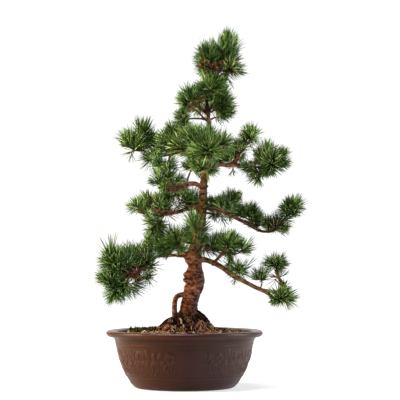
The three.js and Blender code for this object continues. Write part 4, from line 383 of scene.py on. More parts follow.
    ("low_left_up", -93, -43.2, 202.3, -0.505, 0.108, 0.856, 10.1, 29.4, 30, "b", 2, 8026),
    ("low_left_tip", -107.5, -50, 201.3, -0.682, -0.143, 0.717, 11.6, 26.3, 34, "g", 2, 8029),
    ("low_left_tip", -116.2, -51.8, 210.5, -0.622, -0.163, 0.766, 12.3, 22.2, 36, "f", 2, 8030),
    ("low_left_out", -113, -53, 187.7, -0.916, -0.377, -0.139, 12.8, 17.7, 38, "f", 2, 8031),
    ("back_high", 30.6, 44.3, 497.9, -0.524, 0.685, 0.506, 11.9, 29.5, 35, "d", 2, 8032),
    ("back_high", 35.9, 32, 488.1, -0.264, 0.75, 0.606, 11.1, 24.9, 33, "f", 2, 8033),
    ("back_high", 52.6, 48.7, 501, 0.661, 0.731, 0.166, 12.8, 27.1, 38, "f", 2, 8034),
    ("back_mid", 30.6, 92.3, 434.9, -0.205, 0.948, 0.244, 12.3, 26.8, 36, "d", 2, 8035),
    ("back_mid", 33.9, 73.2, 429.3, -0.128, 0.945, 0.3, 11.5, 23.2, 34, "b", 2, 8036),
    ("back_mid", 51.9, 88, 425.7, 0.452, 0.892, -0.027, 11.2, 23.4, 33, "f", 2, 8037),
    ("back_mid", 19.2, 60.7, 415.1, -0.669, 0.743, 0.032, 12.6, 21.5, 37, "f", 2, 8038),
    ("back_right", 139.8, 80.7, 399.1, 0.807, 0.578, 0.12, 12.7, 23.3, 38, "e", 2, 8039),
    ("back_right", 126, 73, 396.6, 0.867, 0.472, 0.16, 12.4, 19.9, 37, "d", 2, 8040),
    ("back_right", 136, 65, 405.4, 0.793, -0.255, 0.554, 11.7, 19.8, 35, "f", 2, 8041),
    ("back_left", -16.6, 60, 354.9, -0.685, 0.645, 0.338, 12.4, 19.8, 37, "f", 2, 8042),
    ("back_left", -3.7, 49, 354, -0.771, 0.636, -0.046, 12.6, 25.9, 37, "b", 2, 8043),
    ("back_low_right", 67.6, 79.5, 311.9, 0.437, 0.864, 0.249, 12.1, 21.6, 36, "f", 2, 8044),
    ("back_low_right", 76.3, 63, 307.6, 0.88, 0.443, 0.171, 11.3, 18.2, 33, "f", 2, 8045),
    ("back_low_left", 11.5, 74.3, 264.9, -0.146, 0.913, -0.38, 12.8, 23.3, 38, "f", 2, 8046),
    ("back_low_left", 25.7, 61.5, 274.6, 0.114, 0.89, -0.441, 11.8, 21.5, 35, "d", 2, 8047),
    ("back_base_left", -67.2, 83.3, 225.7, -0.842, 0.531, -0.094, 12.6, 21.6, 37, "d", 2, 8048),
    ("back_base_left", -86.7, 73, 222.8, -0.914, -0.389, -0.112, 12.8, 21.5, 38, "b", 2, 8049),
    ("back_base_left", -37.8, 79.3, 238.3, -0.328, 0.907, 0.262, 11.8, 21.6, 35, "d", 2, 8050),
    ("back_base_right", 74.5, 65, 242.7, 0.665, 0.727, 0.173, 12.4, 21.5, 37, "f", 2, 8051),
    ("back_base_right", 58.4, 56, 243.7, 0.207, 0.938, 0.278, 12.8, 19.8, 38, "e", 2, 8052),
    ("back_midleft", -46.6, 69.3, 311.5, -0.845, 0.514, 0.145, 13, 21.5, 38, "g", 2, 8053),
    ("back_midleft", -25.5, 47.3, 309.2, -0.731, -0.662, 0.163, 9.6, 29.5, 28, "c", 2, 8054),
    ("apex", 40.1, -16, 564.1, -0.479, -0.55, 0.684, 7, 9, 26, "r", 0.80, 9100),
    ("apex", 46.2, -15, 558.9, 0.274, -0.6, 0.752, 7, 8.7, 26, "r", 0.80, 9101),
    ("apex", 53.2, -14, 555.5, -0.139, -0.6, 0.788, 7, 9.1, 28, "r", 0.90, 9102),
    ("apex_right", 62, -12, 559.3, 0.338, -0.6, 0.725, 7, 8.7, 26, "r", 0.80, 9103),
    ("apex_right", 69, -12, 564.6, 0.497, -0.5, 0.709, 7, 8.7, 22, "r", 0.80, 9104),
    ("apex_left", 34.9, -15, 571.2, -0.663, -0.5, 0.557, 5.2, 8, 20, "r", 0.80, 9105),
    ("crown_front", 16.6, -26, 494.8, -0.693, -0.6, 0.4, 6.9, 8, 26, "r", 0.90, 9106),
    ("crown_front", 25.3, -26, 498.2, 0.274, -0.6, 0.752, 6.9, 8, 24, "r", 0.90, 9107),
    ("shoulder_up", 4.3, -18, 492.1, -0.514, -0.6, 0.613, 5.2, 7.3, 16, "r", 0.90, 9108),
]

# burls and stubs: place, direction, radius, length
KNOTS = [
    (6.9, -6, 195.5, -0.943, -0.236, 0.236, 5.4, 7.4),
    (5.4, -7, 186.5, -0.957, -0.287, -0.048, 3.6, 6.6),
    (12.2, -12, 182.1, -0.243, -0.97, 0, 6.5, 6.5),
    (27, -4, 185.4, 0.984, -0.148, 0.098, 7.5, 4.0),
    (48.9, -19, 215.1, 0.098, -0.195, -0.976, 2.4, 3.2),
    (13.1, -8, 218.6, -0.507, -0.845, 0.169, 5.0, 6.0),
    (24.4, 2, 225.5, 0.445, 0.891, 0.089, 5.0, 8.0),
    (13, 6, 167.8, -0.371, 0.928, 0, 5.0, 8.0),
    (33.1, 0, 272.7, 0.941, -0.282, 0.188, 2.6, 5.5),
    (22.6, 0, 288.5, -0.913, -0.365, 0.183, 2.6, 5.0),
    (37.5, 2, 351.6, 0.854, -0.513, 0.085, 2.2, 4.0),
]
# dark scars in the bark: place, radius, depth
SCARS = [
    (4, -13, 190.8, 5.0, 2.6),
    (8.9, -18, 191.2, 5.4, 2.2),
    (14.2, -19.5, 189.8, 4.0, 1.6),
    (12.1, -19, 189.8, 5.0, 2.0),
    (19, -20.5, 190.9, 4.6, 1.8),
    (20.9, -19, 180.4, 3.4, 0.9),
    (11, -12, 226.2, 6.5, 1.0),
    (26.1, -12, 232.5, 5.0, 0.9),
    (9.6, -14, 145.7, 4.5, 0.9),
    (16.6, -13, 159.5, 3.6, 0.7),
    (26.3, -10, 172.3, 4.0, 0.8),
    (20, 6, 204.5, 5.0, 1.2),
]
# raised lips of old wounds on the trunk: x, y, z, radius
RIDGES = [
    [(3.3, -9, 190, 2.2), (1.6, -11, 194.9, 3.4), (5.4, -15, 199.5, 3.8), (12.4, -19, 197.4, 3.4), (18.3, -20.5, 194.7, 2.8), (23.5, -20.5, 193.3, 1.6)],
    [(-0.2, -9, 187.9, 2.6), (5.4, -15, 184.9, 3.2), (13.1, -19, 184.6, 3.2), (20.1, -21, 186.7, 2.4)],
    [(28.7, -15, 194.3, 2.0), (31.5, -12, 187.3, 2.6), (30.5, -12, 180.3, 2.2)],
    [(4.4, -12, 218.6, 2.0), (9.6, -17, 222.8, 2.6), (16.6, -19, 224.5, 2.4), (25.3, -17, 222.1, 2.0)],
]
# heights where the stem gets painted shade inside the crown
CROWN_SHADE_Z = (469, 520)
# roots and bark strips that lie on the soil: how light, then x, y, z, radius
STRIPS = [
    (0.02, [(21.4, -4, 133.5, 2.5), (28.7, -4, 129, 2.3), (35.7, -4, 123.1, 2.1), (42, -4, 115.8, 2.0), (47.2, -4, 107.1, 1.7), (50.9, -23.5, 99.5, 1.3)]),
    (0.12, [(24.6, -4, 129, 0.9), (32.2, -4, 122.7, 0.8), (38.5, -4, 115.8, 0.7), (43.3, -12.5, 110.1, 0.6), (46, -24, 102.3, 0.6)]),
    # the two pale strips along the big dark root are painted highlights on it
    (0.9, [(26.3, -4, 125.2, 0.8), (32.2, -4, 120.3, 0.8), (37.4, -8.5, 117.3, 0.7), (42.6, -17.5, 109.3, 0.6)]),
    (0.78, [(26.7, -4, 126.5, 0.6), (31.2, -4, 124.5, 0.7), (35, -4, 120.3, 0.6)]),
    (0.5, [(18.8, -46.5, 102.3, 1.5), (22.5, -38, 110.2, 1.7), (27.7, -29.5, 116, 1.7), (32.2, -26.5, 115.2, 1.6), (34.6, -32.5, 107.4, 1.4), (35.6, -46, 99.7, 1.2)]),
    (0.6, [(27, -31, 116, 0.9), (28.2, -37.5, 109.1, 0.9), (29, -60.5, 99.7, 0.8)]),
    (0.34, [(13.3, -51.5, 100.6, 1.0), (17.7, -43, 107.7, 1.1), (22.2, -36, 113.2, 1.1)]),
    (0.93, [(-8, -22.5, 120.3, 1.4), (-4.7, -32, 117.5, 1.6), (-5.7, -37, 113.9, 1.4), (-2.2, -41.5, 110.7, 1.6), (-0.8, -46, 105.8, 1.2)]),
    (1.0, [(-20.8, -38.5, 107.5, 1.3), (-18, -42.5, 106, 1.4)]),
    (1.0, [(-0.4, -52.5, 101.7, 1.2), (3.4, -58, 100.6, 1.3)]),
    (0.96, [(-27.4, -52.5, 100.3, 1.1), (-24.6, -47, 101.4, 1.1)]),
    (0.03, [(-17.6, -4, 125.2, 2.6), (-18.8, -18, 117.8, 2.4), (-21.6, -32.5, 109.5, 2.0), (-24.1, -46, 100.7, 1.4)]),
    (0.05, [(-12.8, -4, 122.7, 2.2), (-11.4, -28, 116.5, 2.0), (-8.8, -41, 108.2, 1.8), (-6.2, -54.5, 100.1, 1.4)]),
    (0.04, [(-0.9, -4, 123.8, 2.3), (0.8, -29.5, 118.3, 2.0), (3.3, -41, 109.9, 1.8), (6.5, -52.5, 100.7, 1.4)]),
    (0.14, [(-14.6, -17.5, 120.7, 0.7), (-16.1, -33.5, 112.7, 0.7), (-16.6, -47, 102.4, 0.6)]),
    (0.02, [(13.1, -4, 125.2, 2.2), (15.6, -25.5, 119.6, 2.0), (16, -39, 109.6, 1.7), (13, -54, 99.9, 1.4)]),
    (0.1, [(13.8, -15, 123.4, 0.9), (21.8, -4, 122.4, 0.9), (28.7, -2.5, 122.3, 0.9), (35, -14, 117.1, 0.7)]),
    (0.6, [(-41, -31, 100.9, 0.7), (-36.3, -18, 107.9, 0.8), (-32, -16, 111.8, 0.8), (-27.2, -15.5, 114.7, 0.6)]),
    (0.62, [(-34.8, -45, 100.1, 0.7), (-31.7, -31, 105.8, 0.8), (-28.3, -28, 109.4, 0.7), (-23.1, -28, 112, 0.6)]),
    (0.5, [(-46, -23, 100.4, 0.5), (-42, -4, 105.7, 0.5), (-35.1, -4, 111.2, 0.5), (-27.4, -3, 117, 0.5)]),
    (0.14, [(-44.2, -38.5, 99.1, 0.9), (-38.8, -20, 105.1, 1.0), (-33, -19, 110, 1.0), (-25.9, -10.5, 116.4, 0.9), (-21.1, -4, 120.3, 1.1)]),
    (0.3, [(-31.1, -59, 98.6, 1.2), (-28.1, -37, 104.4, 1.2), (-24, -34.5, 108, 1.1), (-21, -28, 113.6, 0.9)]),
    (0.8, [(-49, -4, 105.7, 0.9), (-54.2, -4, 101.1, 1.0), (-57.3, -38.5, 97.9, 0.9)]),
    (0.76, [(-48, -4, 106, 0.9), (-50.4, -4, 100.8, 1.0), (-51.2, -49, 97.9, 0.9)]),
    (0.84, [(-46.9, -4, 106.4, 0.9), (-45.3, -12.5, 102.8, 1.0), (-43.5, -53.5, 98.1, 0.9)]),
    (0.72, [(-49.7, -4, 106, 0.9), (-55.6, -4, 103.9, 1.0), (-62.9, -4, 99.4, 0.9)]),
    (0.88, [(-56.2, -20.5, 99.5, 1.2), (-47.1, -46, 99.2, 1.3), (-38.5, -61, 98, 1.0)]),
    (0.7, [(-45.5, -4, 106.7, 0.9), (-40.5, -23, 103.1, 1.0), (-36.5, -59, 98.1, 0.9)]),
    (0.72, [(45.4, -10.5, 108.6, 0.6), (53.2, 0.5, 102.2, 0.6), (63.9, -34.5, 98.1, 0.5)]),
    (0.62, [(49, -4, 105.3, 0.6), (58.4, -4, 101.1, 0.6), (69.4, -36.5, 97.5, 0.5)]),
    (0.94, [(41.5, -30, 103.3, 0.9), (49.4, -32, 100.5, 0.9), (58.8, -54, 97.3, 0.7)]),
    (0.46, [(46, -22, 104, 0.7), (54.7, -23.5, 100.4, 0.7), (65.5, 5, 98.9, 0.5)]),
    (0.8, [(38.4, -34.5, 102.9, 0.6), (41.8, -40, 100.7, 0.6), (44, -67, 97.5, 0.5)]),
]
# standing tufts in the moss: x, y, radius, height
TUFTS = [(-93.7, 2, 3.6, 16.5), (-85.5, 6, 3.2, 14.5), (-89.7, 10, 2.6, 10.5)]
GIRTH = {"limb_low_left_small": 1.3, "root_loop": 1.12, "limb_low_left": 0.72, "limb_low_right_up": 1.55, "limb_low_right_end": 1.25}
ALGAE_Z = (219, 369)

# linear colour of each kind of needle, the greens from dark to light; their spread holds the needles' own colour and
# also painted light and shade of where each shoot stands
TINT_COLOURS = {
    "a": (0.0488, 0.0983, 0.0205),
    "b": (0.0501, 0.1218, 0.0245),
    "c": (0.0663, 0.1247, 0.0253),
    "d": (0.0628, 0.1405, 0.0269),
    "e": (0.0777, 0.1410, 0.0272),
    "f": (0.0836, 0.1643, 0.0308),
    "g": (0.1021, 0.1955, 0.0359),
    "h": (0.1375, 0.2542, 0.0454),
    "i": (0.1728, 0.3074, 0.0541),
    "r": (0.2400, 0.0950, 0.0550),
}
YELLOWISH, BLUISH = "i", "a"
# how light each variant is, and how much of its red and blue it keeps; the spread from dark to light is partly the
# needles' own variation and partly painted light and shade
VARIANT_VALUE = ((0.15, 0.80, 0.60), (0.42, 0.86, 0.66), (0.87, 0.93, 0.80), (1.36, 1.08, 1.00), (1.90, 1.20, 1.24), (2.10, 1.37, 1.58))
# pale added to the lighter variants: a painted sheen
VARIANT_SHEEN = (0.0, 0.0, 0.0, 0.007, 0.045, 0.155)
VARIANT_SHARE = (0.20, 0.20, 0.20, 0.16, 0.14, 0.10)
WIDE = (0.87, 1.70)        # width of a needle
LONG_SHARE = 0.46
VOXEL = 0.00115
GROOVE_ANGLES = (90, 210, 330)
AMBIENT = 0.11
# pot colours from its left side to its right: the warm left, dark middle and greyer right are painted light of the warm
# left lamp and the cool right lamp
POT_SIDE_LIT_COLOURS = ((0.047, 0.0156, 0.0050), (0.041, 0.0118, 0.0046), (0.032, 0.0105, 0.0088), (0.038, 0.0190, 0.0160), (0.050, 0.0270, 0.0230))
SUN_WIDTH = 40
BACK = 14
LIGHTS = [
    ("top", (-0.32, -0.28, 2.4), (0, 0, 0.3), None, 3.3, (1.0, 0.99, 0.97)),
    ("left", (-2.1, -0.22, 0.9), (0, 0, 0.25), (1.0, 1.6), 145, (1.0, 0.82, 0.60)),
    ("back", (0.1, 2.2, 0.75), (0, 0, 0.15), (3.4, 1.5), BACK, (1.0, 1.0, 1.0)),
    ("right", (2.1, -0.05, 0.8), (0, 0, 0.25), (1.0, 1.6), 64, (0.90, 0.95, 1.0)),
]

MM = 0.001
GREEN = {k: i for i, k in enumerate(TINT_COLOURS)}
TINTS = len(GREEN)
PER_TINT = 6
COLUMNS = TINTS * PER_TINT
NEEDLE_SHARE = 1.0         # how many needles are made for each one in the table
rng = np.random.default_rng(20251)


# ---------------------------------------------------------------- noise

def _hash(ix, iy, iz, seed):
    h = (ix * 374761393 + iy * 668265263 + iz * 2147483647 + seed * 1442695041) & 0xFFFFFFFF
    h = ((h ^ (h >> 13)) * 1274126177) & 0xFFFFFFFF
    h = ((h ^ (h >> 16)) * 2246822519) & 0xFFFFFFFF
    return ((h ^ (h >> 15)) & 0xFFFFFF) / float(0x1000000)


def noise(q, seed=0):
    """Smooth value noise, -1 to 1."""
    q = np.asarray(q, float)
    i = np.floor(q).astype(np.int64)
    f = q - i
    f = f * f * (3 - 2 * f)
    out = np.zeros(len(q))
    for dx in (0, 1):
        for dy in (0, 1):
            for dz in (0, 1):
                w = (f[:, 0] if dx else 1 - f[:, 0]) * (f[:, 1] if dy else 1 - f[:, 1]) * (f[:, 2] if dz else 1 - f[:, 2])
                out += w * _hash(i[:, 0] + dx, i[:, 1] + dy, i[:, 2] + dz, seed)
    return out * 2 - 1


def fbm(q, octaves=4, seed=0, gain=0.5):
    q = np.asarray(q, float)
    total, amp, norm = np.zeros(len(q)), 1.0, 0.0
    for o in range(octaves):
        total += amp * noise(q * (2.03 ** o) + 17.3 * o, seed + o)
        norm += amp
        amp *= gain
    return total / norm


def cells(q, seed=0):
    """Nearest and second nearest cell points: (f1, f2, number of the cell 0 to 1, offset to the cell point)."""
    q = np.asarray(q, float)
    i = np.floor(q).astype(np.int64)
    n = len(q)
    f1, f2, ident = np.full(n, 9.0), np.full(n, 9.0), np.zeros(n)
    off = np.zeros((n, 3))
    for dx in (-1, 0, 1):
        for dy in (-1, 0, 1):
            for dz in (-1, 0, 1):
                a, b, c = i[:, 0] + dx, i[:, 1] + dy, i[:, 2] + dz
                p = np.stack([a + _hash(a, b, c, seed), b + _hash(a, b, c, seed + 1), c + _hash(a, b, c, seed + 2)], 1)
                v = q - p
                d = np.sqrt((v * v).sum(1))
                near = d < f1
                f2 = np.where(near, f1, np.minimum(f2, d))
                ident = np.where(near, _hash(a, b, c, seed + 3), ident)
                off[near] = v[near]
                f1 = np.where(near, d, f1)
    return f1, f2, ident, off


def smooth(a, b, x):
    t = np.clip((x - a) / (b - a), 0, 1)
    return t * t * (3 - 2 * t)


# ---------------------------------------------------------------- meshes

def build(name, co, faces, uv=None, attrs=None, shade=True):
    """A mesh object from points in millimetres and lists of faces."""
    me = bpy.data.meshes.new(name)
    flat = [row for block in faces for row in np.asarray(block).tolist()]
    me.from_pydata((np.asarray(co, float) * MM).tolist(), [], flat)
    if uv is not None:
        layer = me.uv_layers.new(name="OFBake")
        layer.data.foreach_set("uv", np.asarray(uv, np.float32).ravel())
    for key, values in (attrs or {}).items():
        a = me.attributes.new(key, "FLOAT", "POINT")
        a.data.foreach_set("value", np.asarray(values, np.float32))
    me.polygons.foreach_set("use_smooth", np.full(len(me.polygons), shade, bool))
    me.update()
    o = bpy.data.objects.new(name, me)
    bpy.context.scene.collection.objects.link(o)
    return o


def unit(v):
    v = np.asarray(v, float)
    return v / np.maximum(np.linalg.norm(v, axis=-1, keepdims=True), 1e-9)


def curve(points, step):
    """Points x, y, z, r on a smooth curve through the given ones."""
    P = np.asarray(points, float)
    ext = np.vstack([2 * P[0] - P[1], P, 2 * P[-1] - P[-2]])
    out = []
    for k in range(1, len(ext) - 2):
        p0, p1, p2, p3 = ext[k - 1:k + 3]
        n = max(1, int(math.ceil(np.linalg.norm(p2[:3] - p1[:3]) / step)))
        for t in np.arange(n) / n:
            out.append(0.5 * (2 * p1 + (p2 - p0) * t + (2 * p0 - 5 * p1 + 4 * p2 - p3) * t * t + (3 * p1 - p0 - 3 * p2 + p3) * t ** 3))
    out.append(P[-1])
    out = np.array(out)
    out[:, 3] = np.maximum(out[:, 3], 0.25)
    return out


def frames(path):
    """Tangents and two side vectors that turn as little as they can."""
    P = np.asarray(path, float)[:, :3]
    T = unit(np.gradient(P, axis=0))
    ref = np.array([0.0, -1.0, 0.0]) if abs(T[0][1]) < 0.8 else np.array([1.0, 0.0, 0.0])
    N = np.zeros_like(P)
    n = unit(ref - T[0] * (ref @ T[0]))
    for k in range(len(P)):
        n = n - T[k] * (n @ T[k])
        n = n / max(np.linalg.norm(n), 1e-9)
        N[k] = n
    return T, N, np.cross(T, N)


def tube(path, sides, swell=None, round_end=True):
    """A closed tube along x, y, z, r points. swell gives a factor for each ring and side."""
    P = np.asarray(path, float)
    T, N, B = frames(P)
    th = np.arange(sides) * 2 * math.pi / sides
    R = P[:, 3][:, None] * np.ones(sides)
    if swell is not None:
        R = R * swell
    ring = P[:, None, :3] + R[:, :, None] * (np.cos(th)[None, :, None] * N[:, None, :] + np.sin(th)[None, :, None] * B[:, None, :])
    co = ring.reshape(-1, 3)
    n = len(P)
    k = np.arange(n - 1)[:, None] * sides
    j = np.arange(sides)[None, :]
    jn = (j + 1) % sides
    quads = np.stack([k + j, k + jn, k + sides + jn, k + sides + j], -1).reshape(-1, 4)
    start = P[0, :3] - T[0] * P[0, 3] * 0.5
    end = P[-1, :3] + T[-1] * P[-1, 3] * (0.8 if round_end else 0.1)
    co = np.vstack([co, start, end])
    a, b = n * sides, n * sides + 1
    jj = np.arange(sides)
    jjn = (jj + 1) % sides
    cap0 = np.stack([np.full(sides, a), jjn, jj], -1)
    cap1 = np.stack([np.full(sides, b), (n - 1) * sides + jj, (n - 1) * sides + jjn], -1)
    return co, quads, np.vstack([cap0, cap1])


class Bag:
    """Collects many small bodies into one mesh."""

    def __init__(self):
        self.co, self.quads, self.tris, self.count = [], [], [], 0
        self.attrs = {}

    def add(self, co, quads=None, tris=None, **attrs):
        co = np.asarray(co, float)
        if quads is not None and len(quads):
            self.quads.append(np.asarray(quads) + self.count)
        if tris is not None and len(tris):
            self.tris.append(np.asarray(tris) + self.count)
        for key, value in attrs.items():
            self.attrs.setdefault(key, []).append(np.broadcast_to(np.asarray(value, float), (len(co),)).copy())
        self.co.append(co)
        self.count += len(co)

    def make(self, name, shade=True):
        faces = [np.vstack(b) for b in (self.quads, self.tris) if b]
        return build(name, np.vstack(self.co), faces, attrs={k: np.concatenate(v) for k, v in self.attrs.items()}, shade=shade)


# ---------------------------------------------------------------- material helpers

class Nodes:
    def __init__(self, name):
        self.m = bpy.data.materials.new(name)
        self.m.use_nodes = True
        self.t = self.m.node_tree
        self.bsdf = next(n for n in self.t.nodes if n.type == "BSDF_PRINCIPLED")
        self.obj = self.new("ShaderNodeTexCoord").outputs["Object"]

    def new(self, kind, **props):
        n = self.t.nodes.new(kind)
        for k, v in props.items():
            setattr(n, k, v)
        return n

    def put(self, socket, value):
        if hasattr(value, "is_output") or isinstance(value, bpy.types.NodeSocket):
            self.t.links.new(value, socket)
        else:
            socket.default_value = value

    def math(self, op, a, b=0.0, c=0.0, clamp=False):
        n = self.new("ShaderNodeMath", operation=op, use_clamp=clamp)
        self.put(n.inputs[0], a)
        self.put(n.inputs[1], b)
        self.put(n.inputs[2], c)
        return n.outputs[0]

    def ramp(self, fac, stops, interpolation="LINEAR"):
        n = self.new("ShaderNodeValToRGB")
        n.color_ramp.interpolation = interpolation
        e = n.color_ramp.elements
        while len(e) < len(stops):
            e.new(0.5)
        for k, (p, c) in enumerate(stops):
            e[k].position = p
            e[k].color = (*c, 1.0)
        self.put(n.inputs[0], fac)
        return n.outputs[0]

    def mix(self, fac, a, b, blend="MIX"):
        n = self.new("ShaderNodeMix", data_type="RGBA", blend_type=blend)
        self.put(n.inputs[0], fac)
        for s, v in ((n.inputs[6], a), (n.inputs[7], b)):
            self.put(s, (*v, 1.0) if isinstance(v, tuple) and len(v) == 3 else v)
        return n.outputs[2]

    def noise(self, scale, detail=4.0, rough=0.55, vector=None, distortion=0.0, dims="3D"):
        n = self.new("ShaderNodeTexNoise", noise_dimensions=dims)
        n.inputs["Scale"].default_value = scale
        n.inputs["Detail"].default_value = detail
        n.inputs["Roughness"].default_value = rough
        n.inputs["Distortion"].default_value = distortion
        self.put(n.inputs["Vector"], self.obj if vector is None else vector)
        return n.outputs[0]

    def voronoi(self, scale, feature="F1", vector=None, out="Distance"):
        n = self.new("ShaderNodeTexVoronoi", feature=feature)
        n.inputs["Scale"].default_value = scale
        self.put(n.inputs["Vector"], self.obj if vector is None else vector)
        return n.outputs[out]

    def stretch(self, x, y, z):
        n = self.new("ShaderNodeMapping")
        self.put(n.inputs["Vector"], self.obj)
        n.inputs["Scale"].default_value = (x, y, z)
        return n.outputs[0]

    def attr(self, name):
        return self.new("ShaderNodeAttribute", attribute_type="GEOMETRY", attribute_name=name).outputs["Fac"]

    def bump(self, height, strength, distance, normal=None):
        n = self.new("ShaderNodeBump")
        n.inputs["Strength"].default_value = strength
        n.inputs["Distance"].default_value = distance
        self.put(n.inputs["Height"], height)
        if normal is not None:
            self.put(n.inputs["Normal"], normal)
        return n.outputs[0]

    def out(self, color=None, rough=None, normal=None, **fixed):
        if color is not None:
            self.put(self.bsdf.inputs["Base Color"], (*color, 1.0) if isinstance(color, tuple) else color)
        if rough is not None:
            self.put(self.bsdf.inputs["Roughness"], rough)
        if normal is not None:
            self.put(self.bsdf.inputs["Normal"], normal)
        for k, v in fixed.items():
            self.bsdf.inputs[k.replace("_", " ")].default_value = v
        return self.m

    def remap(self, v, a, b, c, d):
        n = self.new("ShaderNodeMapRange")
        self.put(n.inputs[0], v)
        for i, x in zip((1, 2, 3, 4), (a, b, c, d)):
            n.inputs[i].default_value = x
        return n.outputs[0]


def pot_material(name="fired_clay", lip=False):
    n = Nodes(name)
    sep = n.new("ShaderNodeSeparateXYZ")
    n.put(sep.inputs[0], n.obj)
    # painted light: the clay runs from warm on the left through dark in the middle to grey on the right, as the side
    # lamps light it
    painted_side_light = n.math("ADD", sep.outputs[0], n.math("MULTIPLY", n.math("SUBTRACT", n.noise(14, 3, 0.55), 0.5), 0.050))
    across = n.remap(painted_side_light, -0.13, 0.13, 0.0, 1.0)
    base = n.ramp(across, [(0.08, POT_SIDE_LIT_COLOURS[0]), (0.33, POT_SIDE_LIT_COLOURS[1]), (0.54, POT_SIDE_LIT_COLOURS[2]), (0.74, POT_SIDE_LIT_COLOURS[3]), (0.92, POT_SIDE_LIT_COLOURS[4])])
    speck = n.noise(900, 2, 0.6)
    cloud = n.noise(45, 5, 0.6, distortion=0.6)
    base = n.mix(n.remap(cloud, 0.35, 0.7, 0.0, 0.40), base, n.mix(1.0, base, (0.72, 0.78, 0.86), "MULTIPLY"))
    base = n.mix(n.remap(speck, 0.62, 0.72, 0.0, 0.35), base, n.mix(1.0, base, (0.55, 0.6, 0.7), "MULTIPLY"))
    rel = n.attr("relief")
    # the raised pattern is lighter: wear on its ridges and a painted highlight on them
    base = n.mix(n.remap(rel, 0.45, 1.0, 0.0, 0.40), base, n.mix(1.0, base, (1.75, 1.75, 1.70), "MULTIPLY"))
    # painted shade: the ground between the raised leaves is darker
    base = n.mix(n.remap(n.attr("hollow"), 0.0, 1.0, 0.0, 0.24), base, n.mix(1.0, base, (0.45, 0.42, 0.42), "MULTIPLY"))
    # painted shadow under the lip and painted shade along the raised lines and their grooves
    base = n.mix(n.attr("line"), base, n.mix(1.0, base, (0.40, 0.38, 0.38), "MULTIPLY"))
    # painted shade: the inside wall under the rim is made near-black
    base = n.mix(n.math("MULTIPLY", n.attr("inner_wall_shade"), 0.94), base, (0.006, 0.004, 0.003))
    ridges = n.new("ShaderNodeTexWave", wave_type="BANDS", bands_direction="Z")
    n.put(ridges.inputs["Vector"], n.obj)
    ridges.inputs["Scale"].default_value = 95
    ridges.inputs["Distortion"].default_value = 1.2
    ridges.inputs["Detail"].default_value = 2
    nor = n.bump(ridges.outputs[1], 0.14, 0.0006)
    nor = n.bump(n.noise(1500, 3, 0.6), 0.12, 0.0004, nor)
    if lip:
        return n.out(base, n.remap(cloud, 0.3, 0.7, 0.20, 0.30), nor, Specular_IOR_Level=0.34)
    return n.out(base, n.remap(cloud, 0.3, 0.7, 0.34, 0.46), nor, Specular_IOR_Level=0.10)


def bark_material():
    n = Nodes("bark")
    fine = n.noise(520, 5, 0.62)
    mid = n.noise(95, 5, 0.66, vector=n.stretch(1, 1, 2.3), distortion=0.5)
    plate = n.attr("plate")
    pick = n.math("ADD", n.math("MULTIPLY", plate, 0.42), n.remap(mid, 0.33, 0.67, -0.02, 0.62))
    warm = n.ramp(pick, [(0.12, (0.036, 0.009, 0.003)), (0.30, (0.155, 0.042, 0.014)), (0.54, (0.450, 0.160, 0.068)), (0.78, (0.620, 0.290, 0.160)), (0.98, (0.780, 0.540, 0.440))])
    grey = n.ramp(pick, [(0.12, (0.015, 0.005, 0.004)), (0.34, (0.054, 0.023, 0.020)), (0.60, (0.120, 0.062, 0.055)), (0.82, (0.220, 0.142, 0.132)), (0.98, (0.380, 0.300, 0.280))])
    # warm bark blends into grey; on the trunk, the greyer right side is painted light of the cool right lamp
    col = n.mix(n.attr("tone"), warm, grey)
    col = n.mix(n.remap(fine, 0.3, 0.72, 0.0, 0.65), col, n.mix(1.0, col, (0.40, 0.27, 0.21), "MULTIPLY"))
    col = n.mix(n.math("MULTIPLY", n.attr("algae"), n.remap(n.noise(60, 3, 0.6), 0.35, 0.6, 0.25, 1.0)), col, n.mix(1.0, col, (0.82, 1.42, 0.62), "MULTIPLY"))
    # near-black: the trunk's foot is darker towards the soil, and the stem gets painted shade inside the crown
    col = n.mix(n.attr("low_dark_and_crown_shade"), col, (0.016, 0.009, 0.006))
    # painted shade: the cracks and creases of the bark are made near-black; the old scars share this mark
    col = n.mix(n.math("MULTIPLY", n.attr("crevice"), 0.96), col, (0.014, 0.0045, 0.0028))
    rough = n.remap(fine, 0.2, 0.8, 0.66, 0.9)
    nor = n.bump(n.noise(700, 5, 0.66, vector=n.stretch(1, 1, 0.45)), 0.55, 0.0006)
    return n.out(col, rough, nor, Specular_IOR_Level=0.08)


def twig_material():
    n = Nodes("twig_bark")
    fine = n.noise(650, 4, 0.6)
    mid = n.noise(140, 3, 0.6)
    age = n.attr("age")
    old = n.ramp(mid, [(0.3, (0.036, 0.018, 0.012)), (0.52, (0.085, 0.045, 0.026)), (0.72, (0.150, 0.092, 0.056))])
    young = n.ramp(mid, [(0.3, (0.150, 0.066, 0.026)), (0.6, (0.330, 0.165, 0.068)), (0.8, (0.420, 0.260, 0.130))])
    col = n.mix(age, young, old)
    col = n.mix(n.remap(fine, 0.35, 0.7, 0.0, 0.55), col, n.mix(1.0, col, (0.38, 0.33, 0.30), "MULTIPLY"))
    nor = n.bump(fine, 0.5, 0.0005)
    return n.out(col, n.remap(fine, 0.2, 0.8, 0.6, 0.85), nor, Specular_IOR_Level=0.1)


def bud_material():
    n = Nodes("bud_scales")
    ring = n.attr("along")
    scale = n.noise(1500, 3, 0.6)
    col = n.ramp(ring, [(0.0, (0.150, 0.060, 0.022)), (0.35, (0.330, 0.135, 0.045)), (0.8, (0.430, 0.205, 0.075)), (1.0, (0.300, 0.140, 0.060))])
    col = n.mix(n.remap(scale, 0.45, 0.7, 0.0, 0.55), col, (0.120, 0.050, 0.022))
    return n.out(col, n.remap(scale, 0.2, 0.8, 0.45, 0.7), n.bump(scale, 0.4, 0.0004), Specular_IOR_Level=0.4)


